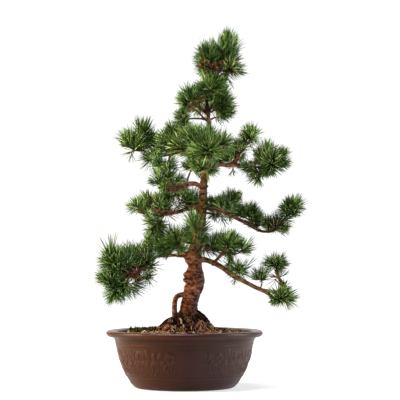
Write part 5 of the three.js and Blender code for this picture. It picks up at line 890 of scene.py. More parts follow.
def needle_material():
    """Colour depends only on the needle's place in the OFBake map: across it the kind of needle, and up it the way from sheath to tip."""
    n = Nodes("pine_needles")
    uvm = n.new("ShaderNodeUVMap", uv_map="OFBake")
    sep = n.new("ShaderNodeSeparateXYZ")
    n.put(sep.inputs[0], uvm.outputs[0])
    u, v = sep.outputs[0], sep.outputs[1]
    col_id = n.math("FLOOR", n.math("MULTIPLY", u, float(COLUMNS)))
    tints = [TINT_COLOURS[k] for k in sorted(GREEN, key=GREEN.get)]
    base = n.ramp(u, [(k / TINTS, c) for k, c in enumerate(tints)], "CONSTANT")
    kind = n.math("FRACT", n.math("DIVIDE", n.math("ADD", col_id, 0.5), float(PER_TINT)))
    value = n.ramp(kind, [(k / PER_TINT, (v * a, v, v * b)) for k, (v, a, b) in enumerate(VARIANT_VALUE)], "CONSTANT")
    # painted sheen on the lighter variants
    pale = n.ramp(kind, [(k / PER_TINT, tuple(v * c for c in (0.95, 1.0, 0.82))) for k, v in enumerate(VARIANT_SHEEN)], "CONSTANT")
    body = n.mix(1.0, n.mix(1.0, base, value, "MULTIPLY"), pale, "ADD")
    # the lower part is a little yellower and the upper part bluer and paler
    body = n.mix(n.remap(v, 0.08, 0.50, 0.22, 0.0), body, n.mix(1.0, body, (1.5, 1.05, 0.6), "MULTIPLY"))
    streak = n.noise(26, 2, 0.5, vector=uvm.outputs[0])
    body = n.mix(n.remap(streak, 0.35, 0.7, 0.0, 0.30), body, n.mix(1.0, body, (1.35, 1.3, 1.5), "MULTIPLY"))
    body = n.mix(n.remap(v, 0.965, 0.995, 0.0, 0.6), body, (0.180, 0.150, 0.060))
    sheath = n.ramp(n.remap(v, 0.0, 0.075, 0.0, 1.0), [(0.0, (0.090, 0.042, 0.018)), (0.6, (0.210, 0.120, 0.055)), (1.0, (0.300, 0.210, 0.110))])
    edge = n.math("GREATER_THAN", v, 0.072)
    col = n.mix(edge, sheath, body)
    return n.out(col, n.remap(streak, 0.3, 0.7, 0.38, 0.52), Specular_IOR_Level=0.12)


def soil_material():
    n = Nodes("soil")
    fine = n.noise(420, 5, 0.65)
    mid = n.noise(90, 4, 0.6)
    grit = n.voronoi(330, "F1", out="Color")
    gs = n.new("ShaderNodeSeparateColor")
    n.put(gs.inputs[0], grit)
    # dark soil colour, deepened to near-black as painted shade between the crumbs and roots
    col = n.ramp(fine, [(0.28, (0.0015, 0.0006, 0.0004)), (0.5, (0.005, 0.002, 0.0012)), (0.75, (0.026, 0.013, 0.007))])
    col = n.mix(n.remap(mid, 0.45, 0.7, 0.0, 0.5), col, (0.022, 0.011, 0.006))
    col = n.mix(n.remap(gs.outputs[0], 0.86, 0.92, 0.0, 0.7), col, (0.200, 0.140, 0.085))
    nor = n.bump(fine, 0.8, 0.0015)
    return n.out(col, 0.97, nor, Specular_IOR_Level=0.0)


def litter_material():
    n = Nodes("bark_chips")
    fine = n.noise(600, 4, 0.6, vector=n.stretch(1, 1, 1))
    kind = n.attr("kind")
    col = n.ramp(kind, [(0.0, (0.005, 0.002, 0.0012)), (0.10, (0.017, 0.007, 0.004)), (0.22, (0.060, 0.026, 0.015)), (0.42, (0.230, 0.080, 0.042)), (0.58, (0.330, 0.150, 0.095)), (0.74, (0.340, 0.205, 0.095)), (0.9, (0.470, 0.350, 0.200)), (1.0, (0.560, 0.470, 0.330))])
    col = n.mix(n.remap(fine, 0.35, 0.7, 0.0, 0.5), col, n.mix(1.0, col, (0.40, 0.34, 0.30), "MULTIPLY"))
    return n.out(col, n.remap(fine, 0.2, 0.8, 0.75, 0.95), n.bump(fine, 0.6, 0.0006), Specular_IOR_Level=0.03)


def moss_material():
    n = Nodes("moss")
    fine = n.noise(380, 4, 0.65)
    mid = n.noise(110, 3, 0.6)
    col = n.ramp(fine, [(0.25, (0.003, 0.004, 0.001)), (0.5, (0.015, 0.018, 0.004)), (0.75, (0.062, 0.064, 0.020))])
    col = n.mix(n.remap(mid, 0.46, 0.58, 0.0, 0.92), col, (0.014, 0.008, 0.003))
    tip = n.math("MULTIPLY", n.attr("tip"), n.remap(mid, 0.62, 0.48, 0.35, 1.0))
    col = n.mix(n.math("MULTIPLY", tip, 0.42), col, (0.150, 0.165, 0.060))
    col = n.mix(n.attr("dark"), col, (0.005, 0.006, 0.004))
    return n.out(col, 0.85, n.bump(fine, 0.6, 0.0010), Specular_IOR_Level=0.05)


def screen_material():
    n = Nodes("screen_plastic")
    weave = n.new("ShaderNodeTexChecker")
    n.put(weave.inputs["Vector"], n.obj)
    weave.inputs["Scale"].default_value = 700
    weave.inputs["Color1"].default_value = (0.018, 0.030, 0.022, 1)
    weave.inputs["Color2"].default_value = (0.050, 0.075, 0.055, 1)
    fine = n.noise(300, 3, 0.6)
    col = n.mix(n.remap(fine, 0.4, 0.7, 0.0, 0.4), weave.outputs[0], (0.070, 0.055, 0.040))
    return n.out(col, n.remap(fine, 0.2, 0.8, 0.45, 0.7), n.bump(weave.outputs[1], 0.5, 0.0005), Specular_IOR_Level=0.5)


def floor_material():
    n = Nodes("floor")
    tone = n.noise(3, 2, 0.5)
    col = n.ramp(tone, [(0.3, (0.52, 0.52, 0.52)), (0.7, (0.54, 0.54, 0.54))])
    # a light table: it glows a little, so shadows on it stay pale
    return n.out(col, 0.9, None, Specular_IOR_Level=0.1, Emission_Color=(1.0, 1.0, 1.0, 1.0), Emission_Strength=0.50)


# ---------------------------------------------------------------- pot

def stroke_height(X, Y, pts, widths, vein=False):
    """Height of a rounded ridge along a line of points."""
    best = np.zeros_like(X)
    near = np.full(X.shape, 1e9)
    for k in range(len(pts) - 1):
        (ax, ay), (bx, by) = pts[k], pts[k + 1]
        wa, wb = widths[k], widths[k + 1]
        ex, ey = bx - ax, by - ay
        t = np.clip(((X - ax) * ex + (Y - ay) * ey) / max(ex * ex + ey * ey, 1e-9), 0, 1)
        d = np.hypot(X - ax - t * ex, Y - ay - t * ey)
        w = np.maximum(wa + (wb - wa) * t, 0.05)
        best = np.maximum(best, np.sqrt(np.clip(1 - (d / w) ** 2, 0, 1)) * np.clip(w / 1.4, 0, 1) ** 0.5)
        near = np.minimum(near, d)
    if vein:
        best = best - 0.38 * np.exp(-(near / 0.55) ** 2) * (best > 0)
    return np.maximum(best, 0)


def leaf(x, y, ang, length, width, bend=0.0):
    pts, widths = [], []
    for t in np.linspace(0, 1, 9):
        a = math.radians(ang + bend * t)
        pts.append((x + math.sin(a) * length * t, y + math.cos(a) * length * t))
        widths.append(max(0.12, width / 2 * math.sin(math.pi * min(1, 0.08 + 0.92 * t)) ** 0.75))
    return pts, widths


def relief_motif(X, Y):
    """A traditional leaf frieze in three rows: upright leaves, leaves that bend over to one side with small buds
    between, and slanting leaves at the foot. Millimetres.
    """
    H = np.zeros_like(X)
    half = 66.0
    r = np.random.default_rng(5)

    def add(pts, widths, h=1.0, vein=False):
        nonlocal H
        x0, x1 = min(p[0] for p in pts) - 4, max(p[0] for p in pts) + 4
        y0, y1 = min(p[1] for p in pts) - 4, max(p[1] for p in pts) + 4
        m = (X > x0) & (X < x1) & (Y > y0) & (Y < y1)
        if m.any():
            H[m] = np.maximum(H[m], h * stroke_height(X[m], Y[m], pts, widths, vein))

    # upper row: upright leaves
    x = -half + 2
    k = 0
    while x < half - 1:
        pts, widths = leaf(x, 29.0 + r.uniform(-3.0, 2.0), r.normal(0, 13) + (8 if k % 2 else -8), r.uniform(12.0, 16.5), r.uniform(3.8, 5.2), r.normal(0, 24))
        add(pts, widths, r.uniform(0.65, 1.15), True)
        x += r.uniform(4.9, 6.9)
        k += 1
    # middle row: leaves that bend over to one side, with small buds between
    x = -half + 4
    k = 0
    while x < half - 3:
        side = 1 if k % 3 else -1
        pts, widths = leaf(x, 14.5 + r.uniform(-2.5, 3.0), side * r.uniform(-30, -5), r.uniform(11.0, 16.0), r.uniform(3.8, 5.4), side * r.uniform(50, 105))
        add(pts, widths, r.uniform(0.70, 1.15), True)
        if k % 2:
            pts, widths = leaf(x + 3.4, 21.5 + r.uniform(-3, 3), r.normal(0, 40), 5.5, 4.2, 0)
            add(pts, widths, r.uniform(0.6, 1.0))
        x += r.uniform(5.2, 7.6)
        k += 1
    # foot row: slanting leaves
    x = -half + 2
    k = 0
    while x < half - 1:
        lean = (32 if (k // 3) % 2 else -32) + r.normal(0, 14)
        pts, widths = leaf(x - math.sin(math.radians(lean)) * 5, 1.5 + r.uniform(-1.0, 2.5), lean, r.uniform(11.0, 15.5), r.uniform(3.6, 4.8), -lean * 0.5)
        add(pts, widths, r.uniform(0.70, 1.1), True)
        x += r.uniform(4.9, 6.6)
        k += 1
    fade = smooth(0, 1.2, Y) * smooth(0, 1.2, 46 - Y) * smooth(0, 3.0, half + 3 - np.abs(X))
    return np.clip(H, 0, 1.2) * fade


POT_OUTER = [(78, 0), (83, 0.5), (87, 2.0), (91, 5.8), (94.3, 9.6), (97, 14), (101, 20), (103.7, 24), (106.8, 30.3), (109.6, 37.3), (112.2, 44.3), (114.6, 51.3), (116.6, 59), (118.2, 66), (119.4, 73), (120.8, 79.5), (122.2, 83.6), (123.8, 86.8), (126.4, 88.3), (130.0, 88.9), (133.4, 90.0), (135.7, 92.0), (136.6, 94.6), (136.2, 97.2), (134.6, 99.0), (131.8, 99.9), (128.4, 99.8), (124.8, 99.2), (121.4, 98.2), (119.3, 96.6), (118.4, 94.6), (118, 91)]
POT_INNER = [(117.2, 86), (113.2, 72), (104.6, 42), (89.2, 15), (82, 8.6), (74, 7.0)]


def along(points, steps):
    """A smooth profile through the points, with about the given step."""
    P = np.array([(r, 0, z, 1.0) for r, z in points])
    Q = curve(P, steps)
    return Q[:, [0, 2]]


def relief_at(theta, z):
    """Raised pattern in millimetres, and 0 to 1 for the ridge and the ground near it."""
    deg = np.degrees(theta)
    out = np.zeros_like(z)
    local = (deg - (-39.6) + 45) % 90 - 45          # panels of 70 degrees with 20 degrees of plain wall between them
    X = local / 70.0 * 140.0
    Y = z - 26.5
    inside = (np.abs(X) < 70) & (Y > -1) & (Y < 46)
    if inside.any():
        out[inside] = relief_motif(X[inside], Y[inside])
    return out


def make_pot():
    columns = 480
    lower = along(POT_OUTER, 1.12)
    keep = [lower[0]]
    for p in lower[1:]:
        gap = 1.05 if 20 < p[1] < 78 else 1.35
        if np.hypot(*(p - keep[-1])) > gap * 0.8:
            keep.append(p)
    outer = np.array(keep)
    profile = np.vstack([[(0.0, 0.0), (20.0, 0.0), (48.0, 0.0), (74.0, 0.0)], outer, POT_INNER, [(48.0, 7.0), (20.0, 7.0), (0.0, 7.0)]])
    th = np.arange(columns) * 2 * math.pi / columns
    r0, z0 = profile[:, 0], profile[:, 1]
    tr = unit(np.gradient(profile, axis=0))
    nr, nz = tr[:, 1], -tr[:, 0]
    rings = slice(1, len(profile) - 1)
    R = np.repeat(r0[rings][:, None], columns, 1)
    Z = np.repeat(z0[rings][:, None], columns, 1)
    TH = np.repeat(th[None, :], len(R), 0)
    is_outer = np.zeros(len(profile), bool)
    is_outer[4:4 + len(outer)] = True
    mask = is_outer[rings][:, None] & (Z < 90) & (R > 90)
    rel = np.where(mask, relief_at(TH.ravel(), Z.ravel()).reshape(R.shape), 0)
    lift = 1.30 * rel
    # three raised lines, each with a shallow groove under it
    for zc, h, wd in ((86.6, 0.42, 0.9), (76.6, 0.60, 1.2), (21.6, 0.60, 1.2)):
        lift = lift + mask * (h * np.exp(-((Z - zc) / wd) ** 2) - 0.35 * h * np.exp(-((Z - zc + 2.4) / wd) ** 2))
    q = np.stack([R * np.cos(TH), R * np.sin(TH), Z], -1).reshape(-1, 3)
    wob = fbm(q / 46.0, 3, 11).reshape(R.shape) * 0.35 + fbm(q / 7.0, 2, 13).reshape(R.shape) * 0.05
    outside = (R > 76) & (Z < 100)
    lift = lift + np.where(outside & (Z > 2), wob, 0)
    A = np.repeat(nr[rings][:, None], columns, 1)
    Bz = np.repeat(nz[rings][:, None], columns, 1)
    Rr, Zz = R + A * lift, Z + Bz * lift
    co = np.stack([Rr * np.sin(TH), -Rr * np.cos(TH), Zz], -1).reshape(-1, 3)
    n = len(R)
    k = np.arange(n - 1)[:, None] * columns
    j = np.arange(columns)[None, :]
    jn = (j + 1) % columns
    quads = np.stack([k + j, k + jn, k + columns + jn, k + columns + j], -1).reshape(-1, 4)
    c0, c1 = len(co), len(co) + 1
    co = np.vstack([co, [0, 0, 0], [0, 0, 7.0]])
    jj = np.arange(columns)
    jjn = (jj + 1) % columns
    tris = np.vstack([np.stack([np.full(columns, c0), jjn, jj], -1), np.stack([np.full(columns, c1), (n - 1) * columns + jj, (n - 1) * columns + jjn], -1)])
    # painted shade for the ground between the raised leaves
    hollow = np.where(mask & (rel < 0.12), smooth(-0.5, 1.5, Z - 26.5) * smooth(-0.5, 1.5, 71.5 - Z), 0)
    deg = np.degrees(TH)
    loc = np.abs((deg + 39.6 + 45) % 90 - 45)
    hollow = hollow * smooth(0, 3, 34 - loc)
    # dark bands: painted shadow under the lip and painted shade along the raised lines and grooves
    line = np.zeros_like(Z)
    for zc, wd, k in ((85.4, 1.7, 0.85), (80.2, 0.8, 0.35), (74.2, 1.1, 0.55), (70.8, 0.8, 0.25), (24.0, 0.9, 0.35), (19.4, 1.0, 0.50)):
        line = np.maximum(line, mask * k * np.exp(-((Z - zc) / wd) ** 2))
    # painted shade on the inside wall under the rim
    inner_wall_shade = np.where((Z < 97.5) & (R < 121) & (Z > 20), smooth(96.8, 94.6, Z + 0.8 * fbm(q / 6.0, 2, 15).reshape(R.shape)), 0) * (~is_outer[rings])[:, None]
    o = build("clay_pot", co, [quads, tris], attrs={"inner_wall_shade": np.append(inner_wall_shade.ravel(), [0, 0]), "relief": np.append(rel.ravel(), [0, 0]), "hollow": np.append(hollow.ravel(), [0, 0]), "line": np.append(line.ravel(), [0, 0])})
    # drain holes and drain grooves
    cut = bmesh.new()
    for a in (90, 210, 330):
        x, y = 42 * math.cos(math.radians(a)), 42 * math.sin(math.radians(a))
        bmesh.ops.create_cone(cut, cap_ends=True, segments=40, radius1=7 * MM, radius2=7 * MM, depth=20 * MM, matrix=Matrix.Translation((x * MM, y * MM, 3.5 * MM)))
    me = bpy.data.meshes.new("cut")
    cut.to_mesh(me)
    cut.free()
    holes = bpy.data.objects.new("cut", me)
    bpy.context.scene.collection.objects.link(holes)
    grooves = bmesh.new()
    for a in GROOVE_ANGLES:
        m = Matrix.Rotation(math.radians(a), 4, "Z") @ Matrix.Translation((0.072, 0, 0)) @ Matrix.Diagonal((0.060, 0.008, 0.004, 1))
        bmesh.ops.create_cube(grooves, size=1.0, matrix=m)
    me2 = bpy.data.meshes.new("cut2")
    grooves.to_mesh(me2)
    grooves.free()
    cut2 = bpy.data.objects.new("cut2", me2)
    bpy.context.scene.collection.objects.link(cut2)
    o.data.materials.append(CLAY)
    o.data.materials.append(CLAY_LIP)
    zmid = np.zeros(len(o.data.polygons) * 3, np.float32)
    o.data.polygons.foreach_get("center", zmid)
    zmid = zmid.reshape(-1, 3)
    o.data.polygons.foreach_set("material_index", ((zmid[:, 2] > 0.0966) & (np.hypot(zmid[:, 0], zmid[:, 1]) > 0.1178)).astype(np.int32))
    for c in (holes, cut2):
        b = o.modifiers.new("cut", "BOOLEAN")
        b.operation = "DIFFERENCE"
        b.solver = "EXACT"
        b.object = c
    apply_modifiers(o)
    bpy.data.objects.remove(holes)
    bpy.data.objects.remove(cut2)
    return o


def apply_modifiers(o):
    dg = bpy.context.evaluated_depsgraph_get()
    dg.update()
    new = bpy.data.meshes.new_from_object(o.evaluated_get(dg))
    o.modifiers.clear()
    old = o.data
    o.data = new
    new.name = o.name
    bpy.data.meshes.remove(old)


# ---------------------------------------------------------------- wood

THICK = 2.3     # wood thicker than this radius, in millimetres, is one fused body with modelled bark


def taper_cut(path):
    """The first stretch of a limb that is thicker than THICK."""
    r = path[:, 3]
    k = len(r)
    for i in range(len(r)):
        if r[i:i + 4].max() < THICK:
            k = i
            break
    return k


def ring_swell(path, sides, seed, amount):
    """Slow changes of the cross-section along the wood."""
    n = len(path)
    th = np.arange(sides) * 2 * math.pi / sides
    s = np.cumsum(np.r_[0, np.linalg.norm(np.diff(path[:, :3], axis=0), axis=1)])
    r = path[:, 3]
    q = np.stack([np.cos(th)[None, :] * 0.9 + 0 * s[:, None], np.sin(th)[None, :] * 0.9 + 0 * s[:, None], (s / (r.max() * 2.6 + 3))[:, None] + 0 * th[None, :]], -1).reshape(-1, 3)
    return 1 + amount * fbm(q + seed * 7.7, 2, seed).reshape(n, sides)


def make_wood():
    paths = {name: curve([(x, y, z, r * GIRTH.get(name, 1.0)) for x, y, z, r in pts], 1.6) for name, pts in LIMBS.items()}
    bag = Bag()
    skeleton = []
    for num, (name, P) in enumerate(paths.items()):
        k = len(P) if name == "trunk" or name.startswith("root") else taper_cut(P)
        if k < 4:
            continue
        Q = P[:min(len(P), k + 2)]
        sides = 24 if name == "trunk" else 16
        amount = 0.13 if name == "trunk" else 0.10
        sw = ring_swell(Q, sides, num, amount)
        if name == "trunk":
            # flutes that run down into the roots
            z = Q[:, 2]
            th = np.arange(sides) * 2 * math.pi / sides
            low = smooth(175, 112, z)[:, None]
            sw = sw * (1 + low * (0.10 * np.cos(5 * th[None, :] + 0.6 + z[:, None] / 60) + 0.05 * np.cos(8 * th[None, :] + 1.9)))
        co, quads, tris = tube(Q, sides, sw)
        bag.add(co, quads, tris)
        T, N, B = frames(Q)
        s = np.cumsum(np.r_[0, np.linalg.norm(np.diff(Q[:, :3], axis=0), axis=1)])
        for i in range(0, len(Q)):
            skeleton.append((*Q[i, :3], Q[i, 3], *T[i], *N[i], *B[i], s[i], num, 0 if name == "trunk" else (2 if name.startswith("root") else 1)))
    # burls, branch stubs and knots on the trunk
    for x, y, z, dx, dy, dz, r, ln in KNOTS:
        d = unit(np.array([dx, dy, dz]))
        base = np.array([x, y, z])
        pts = np.array([[*(base - d * r), r * 1.15], [*(base + d * ln * 0.45), r], [*(base + d * ln), r * 0.62]])
        co, quads, tris = tube(curve(pts, 1.5), 14)
        bag.add(co, quads, tris)
    for pts in RIDGES:
        co, quads, tris = tube(curve(pts, 1.2), 10)
        bag.add(co, quads, tris)
    raw = bag.make("trunk_and_limbs")
    m = raw.modifiers.new("fuse", "REMESH")
    m.mode = "VOXEL"
    m.voxel_size = VOXEL
    m.adaptivity = 0.0
    apply_modifiers(raw)
    me = raw.data
    n = len(me.vertices)
    co = np.zeros(n * 3, np.float32)
    me.vertices.foreach_get("co", co)
    co = co.reshape(-1, 3).astype(float) / MM
    # smooth the fused surface a little; what lies deep in the soil is cut away below
    edges = np.zeros(len(me.edges) * 2, np.int32)
    me.edges.foreach_get("vertices", edges)
    edges = edges.reshape(-1, 2)
    deg = np.bincount(edges.ravel(), minlength=n).astype(float)[:, None]

    def relax(p, f):
        acc = np.zeros_like(p)
        np.add.at(acc, edges[:, 0], p[edges[:, 1]])
        np.add.at(acc, edges[:, 1], p[edges[:, 0]])
        return p + f * (acc / np.maximum(deg, 1) - p)

    for _ in range(4):
        co = relax(co, 0.55)
        co = relax(co, -0.42)
    co = relax(co, 0.5)
    me.vertices.foreach_set("co", (co * MM).astype(np.float32).ravel())
    me.update()
    nor = np.zeros(n * 3, np.float32)
    me.vertex_normals.foreach_get("vector", nor)
    nor = nor.reshape(-1, 3).astype(float)
    S = np.array(skeleton)
    pick = np.zeros(n, np.int64)
    for a in range(0, n, 4000):
        d = np.linalg.norm(co[a:a + 4000, None, :] - S[None, :, :3], axis=2) / (S[None, :, 3] + 0.6)
        pick[a:a + 4000] = d.argmin(1)
    K = S[pick]
    off = co - K[:, :3]
    u = (off * K[:, 7:10]).sum(1)
    v = (off * K[:, 10:13]).sum(1)
    s = K[:, 13] + (off * K[:, 4:7]).sum(1)
    r = K[:, 3]
    ln = np.maximum(np.hypot(u, v), 1e-6)
    rr = np.maximum(r, 2.0)
    cu, cv = u / ln * rr, v / ln * rr
    kind = K[:, 15]
    big = smooth(3.0, 9.0, r)
    jump = K[:, 14] * 13.7
    warp = np.stack([fbm(co / 9.0, 2, 21), fbm(co / 9.0, 2, 22), fbm(co / 9.0, 2, 23)], 1)
    # flaky scales, wider than tall, whose edges lift
    size = 2.4 + 3.2 * big
    q = np.stack([cu / (size * 1.85), cv / (size * 1.85), s / (size * 0.78) + jump], 1) + 0.55 * warp
    f1, f2, ident, offs = cells(q, 31)
    edge = f2 - f1
    crev = 1 - smooth(0.02, 0.24, edge)
    crev = crev * smooth(-0.20, 0.35, fbm(np.stack([cu / 11, cv / 11, s / 6 + jump], 1), 2, 35))
    plate_h = 0.35 + 0.65 * ident
    tilt = offs[:, 2] * (0.5 + 0.5 * ident)
    # creases that run round the wood
    fold = fbm(np.stack([cu / 8.5, cv / 8.5, s / 2.3 + jump], 1) + 0.5 * warp, 3, 37)
    crease = (1 - smooth(0.0, 0.16, np.abs(fold))) * big
    # small flakes on the scales
    q2 = np.stack([cu / (size * 0.42), cv / (size * 0.42), s / (size * 0.46) + jump], 1) + 0.5 * warp
    g1, g2, id2, of2 = cells(q2, 41)
    crev2 = 1 - smooth(0.0, 0.16, g2 - g1)
    lump = fbm(np.stack([cu / 9.0, cv / 9.0, s / 12.0 + jump], 1), 3, 51)
    amp = 0.22 + 0.78 * big
    disp = amp * (1.35 * lump * (0.35 + 0.65 * big) + 0.55 * (plate_h - 0.5) + 0.42 * tilt - 0.85 * crev + 0.34 * fold - 0.45 * crease + 0.30 * (id2 - 0.5) - 0.20 * crev2)
    disp += 0.10 * fbm(co / 1.7, 2, 61)
    for a, b in ((0.0, 2.6), (2.6, 4.0), (4.0, 6.0), (6.0, 99.0)):
        m = (r >= a) & (r < b)
        if m.any():
            disp[m] -= disp[m].mean()
    lost = np.clip(r * 1.0 - ln, 0, 1.4)
    disp += 0.9 * lost
    # rings and pegs of young wood
    young = 1 - smooth(2.6, 4.5, r)
    disp += young * 0.16 * np.sin(s * 1.15 + 3 * noise(np.stack([cu / 3, cv / 3, s / 6], 1), 71))
    z = co[:, 2]
    disp *= np.where(kind == 2, 0.75, 1.0)
    co2 = co + nor * disp[:, None]
    # darker old scars, sunk into the bark
    scar = np.zeros(n)
    for x, y, zz, rad, depth in SCARS:
        d = np.linalg.norm((co2 - np.array([x, y, zz])) / np.array([rad, rad, rad * 0.42]), axis=1)
        wgt = np.exp(-d * d * 1.6)
        scar = np.maximum(scar, wgt)
        co2 = co2 - nor * (depth * wgt)[:, None]
    me.vertices.foreach_set("co", (co2 * MM).astype(np.float32).ravel())
    me.update()
    # the trunk's right side is painted greyer, painted light of the cool right lamp; the upper wood is greyer; the foot
    # is darker towards the soil
    east = (co[:, 0] - K[:, 0]) / np.maximum(r, 1)
    tone = smooth(-0.10, 0.70, east + 0.30 * fbm(co / 12.0, 3, 81)) * 0.95
    tone = np.maximum(tone, smooth(195, 290, z) * 0.50)
    tone = np.where(kind == 1, np.clip(0.60 + 0.30 * fbm(co / 20.0, 2, 82), 0, 1), tone)
    tone = np.where(kind == 2, 0.55, tone)
    # the foot of the trunk is darker towards the soil
    low = 125 + 7 * fbm(co / 10.0, 3, 83) + 15 * np.clip(fbm(np.stack([co[:, 0] / 3.6, co[:, 1] / 3.6, z / 40.0], 1), 2, 84) + 0.10, 0, 1)
    low_dark_and_crown_shade = smooth(142, 0, z - low + 118) * 0
    low_dark_and_crown_shade = np.clip(smooth(19, -6, z - low), 0, 1) * 0.86
    # painted shade: the stem is made nearly black inside the crown, where the foliage shades it
    crown = smooth(CROWN_SHADE_Z[0], CROWN_SHADE_Z[0] + 14, z) * smooth(CROWN_SHADE_Z[1] + 30, CROWN_SHADE_Z[1], z) * 0.92
    low_dark_and_crown_shade = np.maximum(low_dark_and_crown_shade, np.where(r > 2.4, crown, 0.6 * crown))
    # the loop root is darker towards its lower end
    loop = (co[:, 0] < -9) & (z > 121)
    low_dark_and_crown_shade = np.where(loop, np.maximum(low_dark_and_crown_shade * 0.4, 0.62 * smooth(150, 124, z + 5 * fbm(co / 6.0, 2, 85))), low_dark_and_crown_shade)
    algae = np.where(kind == 0, smooth(ALGAE_Z[0], ALGAE_Z[0] + 25, z) * smooth(ALGAE_Z[1] + 20, ALGAE_Z[1] - 10, z), np.where((kind == 1) & (co[:, 0] > -62) & (co[:, 0] < 14) & (z < 243), 0.92, np.where((kind == 1) & (co[:, 0] > -60) & (z < ALGAE_Z[0] + 6), 0.55, 0.15)))
    # painted shade for the cracks and creases of the bark
    crevice = np.clip(crev * (0.35 + 0.65 * big) * 0.86 + 0.50 * crease + 0.24 * crev2 * big, 0, 1)
    crevice = np.clip(np.maximum(crevice, scar * 0.95), 0, 1)
    # the bark's colour marks, kept on the vertices
    for key, val in (("crevice", crevice), ("plate", np.clip(0.6 * ident + 0.4 * id2, 0, 1)), ("tone", np.clip(tone, 0, 1)), ("low_dark_and_crown_shade", low_dark_and_crown_shade), ("algae", np.clip(algae, 0, 1))):
        at = me.attributes.new(key, "FLOAT", "POINT")
        at.data.foreach_set("value", np.asarray(val, np.float32))
    # cut away what is deep in the soil
    bm = bmesh.new()
    bm.from_mesh(me)
    geom = bm.verts[:] + bm.edges[:] + bm.faces[:]
    bmesh.ops.bisect_plane(bm, geom=geom, plane_co=(0, 0, 82 * MM), plane_no=(0, 0, -1), clear_outer=True)
    rim = [e for e in bm.edges if e.is_boundary]
    if rim:
        bmesh.ops.holes_fill(bm, edges=rim, sides=0)
    bmesh.ops.triangulate(bm, faces=[f for f in bm.faces if len(f.verts) > 4])
    bm.to_mesh(me)
    bm.free()
    me.polygons.foreach_set("use_smooth", np.ones(len(me.polygons), bool))
    me.update()
    return raw, paths


def make_twigs(paths):
    """Thin wood: the limbs' outer stretches and the shoots that carry needles."""
    bag = Bag()
    r = np.random.default_rng(77)
    for num, (name, P) in enumerate(paths.items()):
        if name == "trunk" or name.startswith("root"):
            continue
        k = taper_cut(P)
        start = max(0, k - 3)
        Q = P[start:]
        if len(Q) < 3:
            continue
        Q = curve(Q[::2] if len(Q) > 6 else Q, 1.9)
        s = np.cumsum(np.r_[0, np.linalg.norm(np.diff(Q[:, :3], axis=0), axis=1)])
        # a little wander, as real twigs have
        wob = np.stack([noise(np.stack([s / 11, s * 0 + num * 3.1, s * 0 + j], 1), 90 + j) for j in range(3)], 1)
        Q[:, :3] += wob * np.minimum(1, s / 12)[:, None] * 0.55
        sides = 9 if Q[0, 3] > 1.5 else 7
        th = np.arange(sides) * 2 * math.pi / sides
        pegs = np.sin(3 * th[None, :] + s[:, None] * 1.7) * 0.5 + np.sin(5 * th[None, :] - s[:, None] * 2.3) * 0.5
        knob = noise(np.stack([s / 3.1, s * 0 + num, s * 0], 1), 95)
        sw = 1 + 0.10 * pegs + 0.16 * np.clip(knob, -0.3, 1)[:, None]
        co, quads, tris = tube(Q, sides, sw)
        age = np.clip((Q[:, 3] - 0.7) / 1.3, 0, 1)
        age = np.append(np.repeat(age, sides), [age[0], age[-1]])
        bag.add(co, quads, tris, age=age)
    ALL = np.vstack(list(paths.values()))
    for i, (group, bx, by, bz, dx, dy, dz, s, L, nn, tint, sp, seed) in enumerate(SHOOTS):
        d = unit(np.array([dx, dy, dz]))
        side = unit(np.cross(d, [0.3, 0.2, 1.0]))
        n = max(3, int(s / 2.2) + 1)
        t = np.linspace(0, 1, n)
        base = np.array([bx, by, bz])
        bend = side * 0.06 * s
        P = base + d * (s * t)[:, None] + bend * (t * (1 - t) * 4)[:, None] * 0.5
        thin = 0.62 if nn < 30 else 1.0
        rad = (1.05 - 0.25 * t + 0.12 * np.sin(t * 9 + i)) * thin
        P = np.hstack([P, rad[:, None]])
        # back to the wood it grows from
        gap = np.linalg.norm(ALL[:, :3] - base, axis=1)
        near = int(gap.argmin())
        far = gap[near] - ALL[near, 3]
        if far > 0.8:
            root = ALL[near, :3]
            pull = base - d * min(0.45 * far, 7.0)
            lead = curve([(*root, 1.0 * thin), (*(0.45 * root + 0.55 * pull), 0.95 * thin), (*(0.15 * root + 0.85 * pull), 0.95 * thin)], 2.2)
            P = np.vstack([lead, P])
        else:
            P = np.vstack([[*(base - d * 2.0), 1.0 * thin], P])
        co, quads, tris = tube(P, 5)
        bag.add(co, quads, tris, age=0.25 if by > -30 else 0.1)
    return bag.make("twigs")


